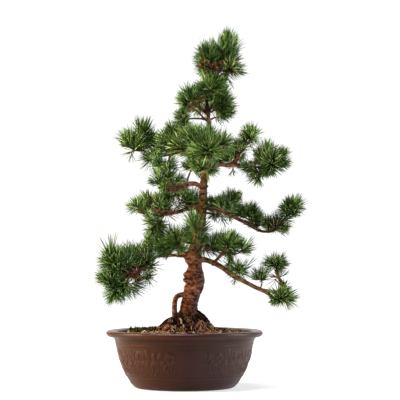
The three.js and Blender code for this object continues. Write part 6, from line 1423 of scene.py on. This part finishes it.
def make_buds():
    bag = Bag()
    r = np.random.default_rng(78)
    prof = np.array([(0.0, 0.55), (0.16, 0.92), (0.36, 1.0), (0.60, 0.80), (0.82, 0.42)])
    sides = 7
    for i, (group, bx, by, bz, dx, dy, dz, s, L, nn, tint, sp, seed) in enumerate(SHOOTS):
        if nn < 30:
            continue
        d = unit(np.array([dx, dy, dz]))
        tip = np.array([bx, by, bz]) + d * s
        for j in range(3):
            a = 0 if j == 0 else math.radians(32 + r.uniform(-6, 8))
            g = r.uniform(0, 6.28)
            e1 = unit(np.cross(d, [0.31, 0.17, 0.93]))
            e2 = np.cross(d, e1)
            q = unit(d * math.cos(a) + (e1 * math.cos(g) + e2 * math.sin(g)) * math.sin(a))
            ln = r.uniform(5.2, 7.0) if j == 0 else r.uniform(3.0, 4.2)
            wd = ln * 0.30
            f1 = unit(np.cross(q, [0.2, 0.9, 0.1]))
            f2 = np.cross(q, f1)
            th = np.arange(sides) * 2 * math.pi / sides
            ring = [tip - d * 0.5 + q * (ln * t) + (f1 * math.cos(x + 3 * t) + f2 * math.sin(x + 3 * t)) * wd * w * (1 + 0.09 * (k % 2)) for k, (t, w) in enumerate(prof) for x in th]
            co = np.array(ring + [tip - d * 0.5, tip - d * 0.5 + q * ln])
            n = len(prof)
            kk = np.arange(n - 1)[:, None] * sides
            jj = np.arange(sides)[None, :]
            jn = (jj + 1) % sides
            quads = np.stack([kk + jj, kk + jn, kk + sides + jn, kk + sides + jj], -1).reshape(-1, 4)
            x, y = np.arange(sides), (np.arange(sides) + 1) % sides
            tris = np.vstack([np.stack([np.full(sides, n * sides), y, x], -1), np.stack([np.full(sides, n * sides + 1), (n - 1) * sides + x, (n - 1) * sides + y], -1)])
            bag.add(co, quads, tris, along=np.r_[np.repeat(prof[:, 0], sides), 0, 1])
    return bag.make("buds")


# ---------------------------------------------------------------- needles

NF_MAX = 200               # at most this many pairs on a shoot


def needle_pairs(bx, by, bz, dx, dy, dz, s, L, nn, sp, seed):
    """Where the needles of one shoot stand: feet, and for both of each pair direction, bend and length. Millimetres."""
    nf = int(min(NF_MAX, max(3, round(nn * NEEDLE_SHARE / 2))))
    r = np.random.default_rng(int(seed))
    Z = r.normal(0, 1, (26, NF_MAX))[:, :nf]
    Q = r.random((8, NF_MAX))
    Q, turn = Q[:, :nf], Q[7, 0]
    a = unit(np.array([dx, dy, dz]))
    e1 = unit(np.cross(a, [0.37, 0.21, 0.9]))
    e2 = np.cross(a, e1)
    t = np.clip((np.arange(nf) + Q[0]) / nf, 0, 1)
    g = np.arange(nf) * 2.399963 + 0.30 * Z[0] + 6.28 * turn
    if sp > 1.5:        # older needles, along the wood behind the shoot
        lean = 74 - 20 * t + 12 * Z[1]
    else:
        lean = (80 - 64 * t ** 1.1) * sp + 9 * Z[1]
    lean = np.radians(np.clip(lean, 2, 118))
    radial = e1 * np.cos(g)[:, None] + e2 * np.sin(g)[:, None]
    d = a * np.cos(lean)[:, None] + radial * np.sin(lean)[:, None]
    foot = np.array([bx, by, bz]) + a * (s * (0.04 + 0.96 * t))[:, None] + radial * 0.8
    # fewer than half of the needles reach the outline
    ln = L * (0.80 + 0.22 * np.sin(np.pi * np.clip(0.18 + 0.72 * t, 0, 1))) * np.where(Q[5] < LONG_SHARE, np.clip(1.12 + 0.10 * Z[2], 0.92, 1.32), np.clip(0.83 + 0.10 * Z[2], 0.60, 1.0))
    away = unit(np.cross(d, Z[3:6].T))
    split = np.radians(3.0 + 8.0 * Q[1])[:, None]
    bend = (a - d * (d @ a)[:, None]) * (0.10 + 0.07 * Z[6])[:, None] + 0.035 * Z[7:10].T + np.array([0, 0, 0.018])
    both = []
    for k, sgn in enumerate((-1, 1)):
        dd = unit(d + sgn * away * np.tan(split))
        bb = bend + sgn * away * 0.035 + 0.022 * Z[10 + 3 * k:13 + 3 * k].T
        lens = ln * np.clip(1 + 0.03 * Z[16 + k], 0.9, 1.1)
        both.append((sgn, dd, bb, lens))
    return foot, away, both, Z[18:26], Q[2:7]


def make_needles(group, rows):
    CO, UV = [], []
    total = 0
    rings_v = np.array([0.0, 0.33, 0.72])
    rings_w = np.array([0.80, 1.0, 0.84])
    for (_, bx, by, bz, dx, dy, dz, s, L, nn, tint, sp, seed) in rows:
        foot, away, both, Z, Q = needle_pairs(bx, by, bz, dx, dy, dz, s, L, nn, sp, seed)
        nf = len(foot)
        r = np.random.default_rng(int(seed) + 9)
        for k, (sgn, dd, bb, lens) in enumerate(both):
            wide = unit(np.cross(dd, away))
            tall = unit(sgn * away - dd * (sgn * away * dd).sum(1)[:, None])
            twist = 0.9 * Z[k]
            # the long ones are the darker and narrower ones: painted shade at the tufts' fringe, and painted light on
            # the short inner ones
            shade = np.where(Q[3] < LONG_SHARE, 0.74 * Q[0], 0.14 + 0.86 * Q[0])
            W = WIDE[0] + (WIDE[1] - WIDE[0]) * np.clip(shade + 0.10 * Z[2 + k], 0, 1)
            H = W * 0.62
            pts = []
            for vv, ww in zip(rings_v, rings_w):
                c = foot + lens[:, None] * (vv * dd + vv * vv * bb)
                ca, sa = np.cos(twist * vv)[:, None], np.sin(twist * vv)[:, None]
                x = wide * ca + tall * sa
                y = tall * ca - wide * sa
                w2, h2 = (W * ww / 2)[:, None], (H * ww)[:, None]
                pts += [c - x * w2 - y * h2 * 0.30, c + x * w2 - y * h2 * 0.30, c + y * h2 * 0.70]
            pts.append(foot + lens[:, None] * (dd + bb))
            CO.append(np.stack(pts, 1))                       # nf x 10 x 3
            # pale needles are the wide ones, their paleness a painted sheen, and both of a pair are alike
            variant = np.clip(np.searchsorted(np.cumsum(VARIANT_SHARE), shade), 0, PER_TINT - 1)
            odd = Q[2]
            col = np.where(odd < 0.05, GREEN[YELLOWISH], np.where(odd < 0.09, GREEN[BLUISH], np.where(odd < 0.096, GREEN["r"], GREEN[tint])))
            UV.append((col * PER_TINT + variant + 0.5) / COLUMNS)
            total += nf
    CO = np.concatenate(CO).reshape(-1, 3)
    U = np.concatenate(UV)
    m = total
    base_i = (np.arange(m) * 10)[:, None]
    quads = []
    for k in (0, 1):
        for j in range(3):
            jn = (j + 1) % 3
            quads.append([k * 3 + j, k * 3 + jn, k * 3 + 3 + jn, k * 3 + 3 + j])
    quads = (base_i[:, :, None] + np.array(quads)[None]).reshape(-1, 4)
    tris = [[6, 7, 9], [7, 8, 9], [8, 6, 9], [0, 2, 1]]
    tris = (base_i[:, :, None] + np.array(tris)[None]).reshape(-1, 3)
    lo, hi = -0.16 / COLUMNS, 0.16 / COLUMNS
    vq = []
    for k in (0, 1):
        for j in range(3):
            vq.append([(lo, rings_v[k]), (hi, rings_v[k]), (hi, rings_v[k + 1]), (lo, rings_v[k + 1])])
    vq = np.array(vq)                                           # 6 x 4 x 2
    vt = np.array([[(lo, rings_v[2]), (hi, rings_v[2]), (0, 1.0)]] * 3 + [[(lo, 0.0), (0, 0.02), (hi, 0.0)]])
    uq = np.tile(vq[None], (m, 1, 1, 1))
    uq[..., 0] += U[:, None, None]
    ut = np.tile(vt[None], (m, 1, 1, 1))
    ut[..., 0] += U[:, None, None]
    uv = np.concatenate([uq.reshape(-1, 2), ut.reshape(-1, 2)])
    uv[:, 1] = 0.01 + 0.98 * uv[:, 1]
    return build("foliage_" + group, CO, [quads, tris], uv=uv), m


# ---------------------------------------------------------------- soil and what lies on it

def soil_height(x, y):
    """Height of the soil's surface, the same as the solid one below it."""
    r = np.hypot(x, y)
    rm = np.hypot(x - 4, y)
    edge = np.interp(r, [0, 66, 100, 113, 117.4], [98.6, 97.4, 94.6, 90.4, 88.8])
    west = np.interp(rm, [0, 8, 16, 27, 37, 44, 52, 62, 80], [122.6, 122.4, 121.4, 117.6, 112.0, 106.4, 99.0, 94.0, 85])
    east = np.interp(rm, [0, 8, 16, 23, 30, 37, 44, 50, 58, 80], [122.6, 122.5, 122.0, 120.6, 118.0, 113.2, 105.6, 98.2, 94.0, 85])
    turn = np.clip((x - 4) / np.maximum(rm, 1) * 0.7 + 0.5, 0, 1)
    mound = west + (east - west) * turn
    k = 3.0
    return k * np.log(np.exp((edge - 100) / k) + np.exp((mound - 100) / k)) + 100


def make_soil():
    n = 130
    g = np.linspace(-1, 1, n)
    A, B = np.meshgrid(g, g, indexing="ij")
    with np.errstate(divide="ignore", invalid="ignore"):
        big = np.abs(A) > np.abs(B)
        rad = np.where(big, A, B)
        ang = np.where(big, (math.pi / 4) * np.where(A != 0, B / np.where(A == 0, 1, A), 0), (math.pi / 2) - (math.pi / 4) * np.where(B != 0, A / np.where(B == 0, 1, B), 0))
    X, Y = rad * np.cos(ang) * 117.2, rad * np.sin(ang) * 117.2
    x, y = X.ravel(), Y.ravel()
    r = np.hypot(x, y)
    q = np.stack([x, y, 0 * x], 1)
    inner = smooth(117.2, 112.5, r)
    lump = 1.5 * fbm(q / 13.0, 3, 101) + 1.1 * np.maximum(0, 0.5 - cells(q / 5.2, 103)[0]) * 1.6 + 0.7 * fbm(q / 2.6, 2, 105)
    z = soil_height(x, y) - 0.6 + lump * inner - 0.5
    co = np.stack([x, y, z], 1)
    idx = np.arange(n * n).reshape(n, n)
    quads = np.stack([idx[:-1, :-1], idx[1:, :-1], idx[1:, 1:], idx[:-1, 1:]], -1).reshape(-1, 4)
    # the hidden lower body, down to the floor of the pot
    rim = np.r_[idx[:, 0][:-1], idx[-1, :][:-1], idx[::-1, -1][:-1], idx[0, ::-1][:-1]]
    m = len(rim)
    tiers = [(113.0, 72), (104.2, 42.5), (88.8, 15.6), (80.0, 9.6), (40.0, 9.2)]
    dirs = unit(co[rim][:, :2])
    rows = [rim]
    extra = []
    count = len(co)
    for rad_, z_ in tiers:
        extra.append(np.column_stack([dirs * rad_, np.full(m, z_)]))
        rows.append(np.arange(m) + count)
        count += m
    extra.append(np.array([[0, 0, 9.2]]))
    centre = count
    co = np.vstack([co] + extra)
    side = []
    for a, b in zip(rows[:-1], rows[1:]):
        an, bn = np.roll(a, -1), np.roll(b, -1)
        side.append(np.stack([a, b, bn, an], -1))
    last = rows[-1]
    fan = np.stack([last, np.full(m, centre), np.roll(last, -1)], -1)
    o = build("soil_surface", co, [quads] + side + [fan])
    bm = bmesh.new()
    bm.from_mesh(o.data)
    bmesh.ops.recalc_face_normals(bm, faces=bm.faces)
    bm.to_mesh(o.data)
    bm.free()
    return o


def chip(bag, r, x, y, size, kind, flat=0.28, long=1.6, lift=0.5):
    """One irregular flake of bark, lying about flat."""
    n = r.integers(5, 8)
    th = np.sort(r.random(n)) * 0.4 + np.arange(n) / n * 2 * math.pi
    rad = size * r.uniform(0.65, 1.0, n)
    px, py = rad * np.cos(th) * long / 1.3, rad * np.sin(th) / 1.3
    turn = r.uniform(0, 6.28)
    h = size * flat * r.uniform(0.6, 1.2)
    top = np.column_stack([px, py, np.full(n, h / 2) + r.normal(0, h * 0.18, n)])
    bot = np.column_stack([px * 0.88, py * 0.88, np.full(n, -h / 2) + r.normal(0, h * 0.12, n)])
    mid = np.column_stack([px * 1.05, py * 1.05, r.normal(0, h * 0.1, n)])
    cap = np.array([[0, 0, h * 0.62], [0, 0, -h * 0.5]])
    co = np.vstack([top, mid, bot, cap])
    tx, ty = r.normal(0, 0.30), r.normal(0, 0.30)
    rot = (Matrix.Rotation(turn, 3, "Z") @ Matrix.Rotation(tx, 3, "X") @ Matrix.Rotation(ty, 3, "Y"))
    co = co @ np.array(rot).T
    g = 3.0
    nx = -(soil_height(x + g, y) - soil_height(x - g, y)) / (2 * g)
    ny = -(soil_height(x, y + g) - soil_height(x, y - g)) / (2 * g)
    co[:, 2] -= co[:, 0] * nx + co[:, 1] * ny
    co += [x, y, float(soil_height(np.array([x]), np.array([y]))[0]) + lift]
    j = np.arange(n)
    jn = (j + 1) % n
    quads = np.vstack([np.stack([j + n, jn + n, jn, j], -1), np.stack([j + 2 * n, jn + 2 * n, jn + n, j + n], -1)])
    tris = np.vstack([np.stack([j, jn, np.full(n, 3 * n)], -1), np.stack([jn + 2 * n, j + 2 * n, np.full(n, 3 * n + 1)], -1)])
    bag.add(co, quads, tris, kind=np.clip(kind + r.normal(0, 0.02), 0, 1))


def straw(bag, r, x, y, length, width, kind, lift=1.2, ang=None, droop=0.0):
    """A dry stalk, strip or fallen needle lying on the soil."""
    a = r.uniform(0, 6.28) if ang is None else ang
    n = 5
    t = np.linspace(-0.5, 0.5, n)
    curl = r.normal(0, 0.25)
    px = x + np.cos(a) * length * t - np.sin(a) * curl * length * (t * t - 0.12)
    py = y + np.sin(a) * length * t + np.cos(a) * curl * length * (t * t - 0.12)
    rr = np.hypot(px, py)
    over = rr > 116.0
    px[over] *= 116.0 / rr[over]
    py[over] *= 116.0 / rr[over]
    pz = soil_height(px, py)
    pz = 0.35 * pz + 0.65 * (pz[0] + (pz[-1] - pz[0]) * (t + 0.5))
    pz = np.maximum(pz, soil_height(px, py) - 0.4) + lift + r.normal(0, 0.3)
    P = np.column_stack([px, py, pz, np.full(n, width / 2) * (1 - 0.5 * np.abs(t))])
    co, quads, tris = tube(P, 4)
    bag.add(co, quads, tris, kind=np.clip(kind + r.normal(0, 0.03), 0, 1))


def strand(bag, r, x, y, length, width, kind, rise, curl):
    """A root hair, stalk or strip that bends up out of the soil and back into it."""
    n = 7
    t = np.linspace(0, 1, n)
    head = r.uniform(0, 6.28) + np.cumsum(r.normal(0, curl, n)) + curl * r.normal(0, 1.2) * t
    px = x + np.cumsum(np.cos(head)) * length / n
    py = y + np.cumsum(np.sin(head)) * length / n
    rr = np.hypot(px, py)
    over = rr > 115.5
    px[over] *= 115.5 / rr[over]
    py[over] *= 115.5 / rr[over]
    pz = soil_height(px, py) + rise * np.sin(np.pi * t) ** 0.8 * (1 + 0.3 * np.sin(t * 9 + r.uniform(0, 6))) - 0.3
    P = np.column_stack([px, py, pz, width / 2 * (1 - 0.55 * t)])
    co, quads, tris = tube(P, 4)
    bag.add(co, quads, tris, kind=np.clip(kind + r.normal(0, 0.02), 0, 1))


def make_litter():
    bag = Bag()
    r = np.random.default_rng(303)

    def spot(test, tries=200):
        for _ in range(tries):
            x, y = r.uniform(-116, 116), r.uniform(-116, 116)
            if math.hypot(x, y) < 113.5 and x > -98 and test(x, y):
                return x, y
        return None

    def on_moss(x, y):
        return ((x + 72) / 27.0) ** 2 + ((y - 4) / 43.0) ** 2 < 0.92

    def near_trunk(x, y):
        return math.hypot(x + 8, y) < 24

    zones = [
        # count, test, sizes, kinds
        (230, lambda x, y: not on_moss(x, y) and math.hypot(x - 4, y) > 54, (1.6, 4.2), (0.00, 0.46)),
        (46, lambda x, y: -62 < x < -8 and not on_moss(x, y) and not near_trunk(x, y), (1.6, 3.4), (0.05, 0.62)),
        (150, lambda x, y: x > 58, (2.0, 4.8), (0.30, 0.90)),
        (16, lambda x, y: 8 < x < 58 and y < 0 and not near_trunk(x, y), (1.6, 3.4), (0.05, 0.60)),
        (190, lambda x, y: math.hypot(x - 4, y) > 50, (1.0, 2.2), (0.0, 0.98)),
    ]
    for count, test, sizes, kinds in zones:
        for _ in range(count):
            p = spot(test)
            if p:
                kind = r.uniform(*kinds)
                if p[0] < -46:
                    kind = r.choice([0.02, 0.12, 0.20, 0.90, 1.0], p=[0.36, 0.26, 0.14, 0.14, 0.10])
                chip(bag, r, p[0], p[1], r.uniform(*sizes) * (0.75 if p[0] < -46 else 1.0), kind, long=r.uniform(1.2, 2.3), lift=r.uniform(0.3, 1.8))
    for _ in range(120):
        p = spot(lambda x, y: not near_trunk(x, y))
        straw(bag, r, p[0], p[1], r.uniform(10, 26), r.uniform(0.7, 1.3), r.uniform(0.66, 0.97), lift=r.uniform(0.8, 2.2))
    for _ in range(46):
        p = spot(lambda x, y: (-62 < x < -10) or (14 < x < 62))
        if p and not near_trunk(*p):
            straw(bag, r, p[0], p[1], r.uniform(12, 30), r.uniform(1.4, 3.0), r.uniform(0.30, 0.60), lift=r.uniform(1.0, 2.6))
    # a tangle of roots, strips and stalks over the mound
    # the near-black strands, the most common here, are dark roots and also painted shade for the gaps of the tangle
    tones = np.array([0.00, 0.05, 0.13, 0.24, 0.42, 0.46, 0.66, 0.80, 0.96])
    dark = np.array([0.46, 0.20, 0.09, 0.05, 0.05, 0.05, 0.04, 0.03, 0.03])
    pale = np.array([0.08, 0.10, 0.12, 0.12, 0.16, 0.08, 0.10, 0.14, 0.10])
    for count, test, share in ((900, lambda x, y: 15 < math.hypot(x - 2, y) < 62, dark), (430, lambda x, y: not on_moss(x, y) and math.hypot(x + 4, y) > 58, pale)):
        for _ in range(count):
            p = spot(test)
            if p:
                strand(bag, r, p[0], p[1], r.uniform(7, 24), r.uniform(0.8, 2.6), r.choice(tones, p=share), r.uniform(0.8, 5.0), r.uniform(0.10, 0.42))
    # thin pale rootlets and shreds between the dark ones
    for _ in range(280):
        p = spot(lambda x, y: 17 < math.hypot(x - 2, y) < 60 and y < 30)
        if p:
            strand(bag, r, p[0], p[1], r.uniform(5, 15), r.uniform(0.5, 1.1), r.choice([0.44, 0.56, 0.64, 0.80, 0.96]), r.uniform(2.0, 5.5), r.uniform(0.15, 0.55))
    for kind, pts in STRIPS:
        P = curve(pts, 1.2)
        P[:, :3] += np.stack([noise(np.stack([np.arange(len(P)) / 2.6, P[:, 0] * 0 + pts[0][0], P[:, 0] * 0 + j], 1), 31 + j) for j in range(3)], 1) * 0.45
        sides = 7
        th = np.arange(sides) * 2 * math.pi / sides
        sw = 1 + 0.22 * noise(np.stack([np.repeat(np.arange(len(P)) / 2.0, sides), np.tile(np.cos(th), len(P)), np.tile(np.sin(th), len(P)) + pts[0][0]], 1), 7).reshape(len(P), sides)
        co, quads, tris = tube(P, sides, sw)
        bag.add(co, quads, tris, kind=kind)
    # fallen pairs of needles
    for _ in range(90):
        p = spot(lambda x, y: True)
        a = r.uniform(0, 6.28)
        for e in (-0.09, 0.09):
            straw(bag, r, p[0], p[1], r.uniform(24, 36), 0.95, 0.70, lift=r.uniform(1.2, 2.4), ang=a + e)
    return bag.make("litter", shade=False)


def make_fine_roots():
    """Thin dark roots that lie on the mound and arch from the foot of the trunk."""
    bag = Bag()
    r = np.random.default_rng(404)
    for i in range(86):
        a = r.uniform(0, 2 * math.pi)
        arch = r.random() < 0.45
        r0 = r.uniform(12, 17)
        r1 = r.uniform(34, 62)
        n = 15
        t = np.linspace(0, 1, n)
        wander = np.cumsum(r.normal(0, 0.055, n))
        rad = r0 + (r1 - r0) * t
        ang = a + wander + 0.25 * np.sin(t * 3 + r.uniform(0, 6))
        cx, cy = -7.0, 0.0
        x = cx + rad * np.cos(ang) + (4 - cx) * 0.4 * t
        y = cy + rad * np.sin(ang)
        z = soil_height(x, y) + r.uniform(-0.2, 1.0)
        if arch:
            z = z + np.sin(np.pi * np.clip(t * 0.9 + 0.12, 0, 1)) * r.uniform(1.0, 4.2) + (1 - t) * r.uniform(0, 3)
        z[0] -= 2.5
        z[-2:] -= np.array([1.2, 3.4])
        w = r.uniform(0.7, 2.1) * (1 - 0.55 * t)
        s = t * (r1 - r0)
        P = np.column_stack([x, y, z, w])
        P = curve(P, 2.6)
        sides = 5
        th = np.arange(sides) * 2 * math.pi / sides
        sw = 1 + 0.16 * noise(np.stack([np.repeat(np.arange(len(P)) / 2.2, sides), np.tile(np.cos(th), len(P)), np.tile(np.sin(th), len(P)) + i], 1), 7).reshape(len(P), sides)
        co, quads, tris = tube(P, sides, sw)
        bag.add(co, quads, tris, kind=r.choice([0.0, 0.04, 0.10, 0.20, 0.3, 0.52], p=[0.52, 0.26, 0.10, 0.05, 0.03, 0.04]))
    return bag.make("surface_roots")


def make_moss():
    """A low cushion with many small leafy tips."""
    r = np.random.default_rng(505)
    bag = Bag()
    n_r, n_t = 26, 84
    t = np.linspace(0, 1, n_r)
    th = np.arange(n_t) * 2 * math.pi / n_t
    out = 1 + 0.07 * noise(np.stack([np.cos(th) * 2.2, np.sin(th) * 2.2, 0 * th], 1), 5) + 0.05 * noise(np.stack([np.cos(th) * 6, np.sin(th) * 6, 0 * th], 1), 6)

    def top(u, v):
        """u across, v along, both -1 to 1 inside the patch."""
        x, y = -72 + 27 * u, 4 + 43 * v
        k = np.clip(1 - u * u - v * v, 0, 1)
        z = soil_height(x, y) - 1.5 + 5.6 * np.sqrt(k)
        q = np.stack([x, y, 0 * x], 1)
        z = z + (1.6 * fbm(q / 9.0, 2, 9) + 3.2 * (0.42 - cells(q / 6.4, 8)[0])) * smooth(0, 0.3, k)
        return x, y, z

    U = (t[:, None] * out[None, :] * np.cos(th)[None, :]).ravel()
    V = (t[:, None] * out[None, :] * np.sin(th)[None, :]).ravel()
    k = np.hypot(U, V)
    f = np.where(k > 1, 1 / np.maximum(k, 1e-9), 1)
    x, y, z = top(U * f, V * f)
    x, y = -72 + 27 * U, 4 + 43 * V
    rr = np.hypot(x, y)
    fix = np.where(rr > 114.5, 114.5 / np.maximum(rr, 1e-9), 1)
    x, y = x * fix, y * fix
    co = np.column_stack([x, y, z])
    kk = np.arange(1, n_r - 1)[:, None] * n_t
    j = np.arange(n_t)[None, :]
    jn = (j + 1) % n_t
    quads = np.stack([kk + j, kk + n_t + j, kk + n_t + jn, kk + jn], -1).reshape(-1, 4)
    c = len(co)
    co = np.vstack([co, [co[0]]])
    jj = np.arange(n_t)
    tris = np.stack([np.full(n_t, c), n_t + jj, n_t + (jj + 1) % n_t], -1)
    low = co[(n_r - 1) * n_t:n_r * n_t].copy()
    low[:, 2] = soil_height(low[:, 0], low[:, 1]) - 3.0
    d = len(co)
    co = np.vstack([co, low, [[-72, 4, 90.0]]])
    skirt = np.stack([(n_r - 1) * n_t + jj, d + jj, d + (jj + 1) % n_t, (n_r - 1) * n_t + (jj + 1) % n_t], -1)
    under = np.stack([np.full(n_t, d + n_t), d + (jj + 1) % n_t, d + jj], -1)
    bag.add(co, np.vstack([quads, skirt]), np.vstack([tris, under]), tip=0.0, dark=0.0)
    m = 2100
    ang = r.uniform(0, 2 * math.pi, m)
    rad = np.sqrt(r.random(m)) * 0.97
    u, v = rad * np.cos(ang), rad * np.sin(ang)
    x, y, z = top(u, v)
    for i in range(m):
        if math.hypot(x[i], y[i]) > 113:
            continue
        h, w = (r.uniform(1.4, 3.2), r.uniform(0.5, 0.9)) if i % 9 else (r.uniform(4.0, 7.0), r.uniform(1.0, 1.6))
        lean = r.normal(0, 0.40, 2)
        a = r.uniform(0, 6.28)
        b = np.array([x[i], y[i], z[i] - 0.5])
        tip = b + [lean[0] * h, lean[1] * h, h]
        mid = b * 0.5 + tip * 0.5
        ring = [mid + [w * math.cos(a + q), w * math.sin(a + q), 0] for q in (0, 2.094, 4.189)]
        bag.add(np.array([b, *ring, tip]), None, np.array([[0, 2, 1], [0, 3, 2], [0, 1, 3], [4, 1, 2], [4, 2, 3], [4, 3, 1]]), tip=np.array([0, 0.5, 0.5, 0.5, 1.0]), dark=0.0 if i % 5 else 0.8)
    # darker tufts that stand up at the outer end
    for cx, cy, wide, tall in TUFTS:
        for _ in range(90):
            a, d = r.uniform(0, 6.28), wide * math.sqrt(r.random())
            px, py = cx + d * math.cos(a), cy + d * math.sin(a)
            h = tall * (1 - 0.65 * d / wide) * r.uniform(0.7, 1.1)
            b = np.array([px, py, float(soil_height(np.array([px]), np.array([py]))[0])])
            tip = b + [r.normal(0, 0.5), r.normal(0, 0.5), h]
            mid, w, q0 = b * 0.45 + tip * 0.55, r.uniform(0.4, 0.8), r.uniform(0, 6.28)
            ring = [mid + [w * math.cos(q0 + q), w * math.sin(q0 + q), 0] for q in (0, 2.094, 4.189)]
            bag.add(np.array([b, *ring, tip]), None, np.array([[0, 2, 1], [0, 3, 2], [0, 1, 3], [4, 1, 2], [4, 2, 3], [4, 3, 1]]), tip=0.0, dark=r.uniform(0.6, 1.0))
    return bag.make("moss_patch")


# ---------------------------------------------------------------- the whole

def put(o, slot_name, *nodes, material=None):
    if material is not None:
        o.data.materials.clear()
        o.data.materials.append(material)
    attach(o, "root")
    if nodes:
        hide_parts(*nodes)
    return o


CLAY, CLAY_LIP, BARK, TWIG, BUD = pot_material(), pot_material("fired_clay_lip", True), bark_material(), twig_material(), bud_material()
NEEDLE, SOIL, LITTER, MOSS_M, SCREEN = needle_material(), soil_material(), litter_material(), moss_material(), screen_material()

put(make_pot(), "pot", "pot")
wood, paths = make_wood()
put(wood, "bark", "trunk_roots_and_branches", material=BARK)
put(make_twigs(paths), "bark", "trunk_roots_and_branches", material=TWIG)
put(make_buds(), "bark", material=BUD)
put(make_fine_roots(), "bark", material=LITTER)
put(make_soil(), "soil", "soil", material=SOIL)
put(make_litter(), "soil", material=LITTER)
put(make_moss(), "moss", "moss", material=MOSS_M)
for name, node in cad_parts.items():
    if name.startswith("drain_screen"):
        node.data.materials.clear()
        node.data.materials.append(SCREEN)

made = 0
groups = {}
for row in SHOOTS:
    groups.setdefault(row[0], []).append(row)
for group, rows in groups.items():
    o, m = make_needles(group, rows)
    made += m
    put(o, "needles", "needles_" + group, material=NEEDLE)
print("needles", made)

# ---------------------------------------------------------------- floor, light, camera

bm = bmesh.new()
bmesh.ops.create_grid(bm, x_segments=40, y_segments=40, size=6.0)
me = bpy.data.meshes.new("floor")
bm.to_mesh(me)
bm.free()
floor = bpy.data.objects.new("floor", me)
bpy.context.scene.collection.objects.link(floor)
floor.data.materials.append(floor_material())


def area(name, loc, aim, size, power, colour):
    d = bpy.data.lights.new(name, "AREA" if size else "SUN")
    if size:
        d.shape = "RECTANGLE"
        d.size, d.size_y = size
    else:
        d.angle = math.radians(SUN_WIDTH)
    d.energy = power
    d.color = colour
    o = bpy.data.objects.new(name, d)
    bpy.context.scene.collection.objects.link(o)
    o.location = loc
    o.rotation_euler = (Vector(aim) - Vector(loc)).to_track_quat("-Z", "Y").to_euler()
    return o


for row in LIGHTS:
    area(*row)

world = bpy.data.worlds.new("world")
bpy.context.scene.world = world
world.use_nodes = True
wt = world.node_tree
bg = next(n for n in wt.nodes if n.type == "BACKGROUND")
bg.inputs[0].default_value = (1.0, 1.0, 1.0, 1.0)
lp = wt.nodes.new("ShaderNodeLightPath")
mr = wt.nodes.new("ShaderNodeMapRange")
mr.inputs[3].default_value = AMBIENT
mr.inputs[4].default_value = 1.05
wt.links.new(lp.outputs["Is Camera Ray"], mr.inputs[0])
wt.links.new(mr.outputs[0], bg.inputs[1])

cam_data = bpy.data.cameras.new("camera")
cam = bpy.data.objects.new("camera", cam_data)
bpy.context.scene.collection.objects.link(cam)
cam_data.sensor_fit = "HORIZONTAL"
cam_data.sensor_width = 36.0
cam_data.lens = 1543.0 / 400.0 * 36.0
cam_data.clip_start, cam_data.clip_end = 0.05, 50.0
cam.location = (0.027, -2.700, 0.228)
cam.rotation_euler = (Vector((0.027, 0.0, 0.327)) - Vector(cam.location)).to_track_quat("-Z", "Y").to_euler()
bpy.context.scene.camera = cam
bpy.context.scene.view_settings.view_transform = "Standard"
bpy.context.scene.view_settings.look = "None"
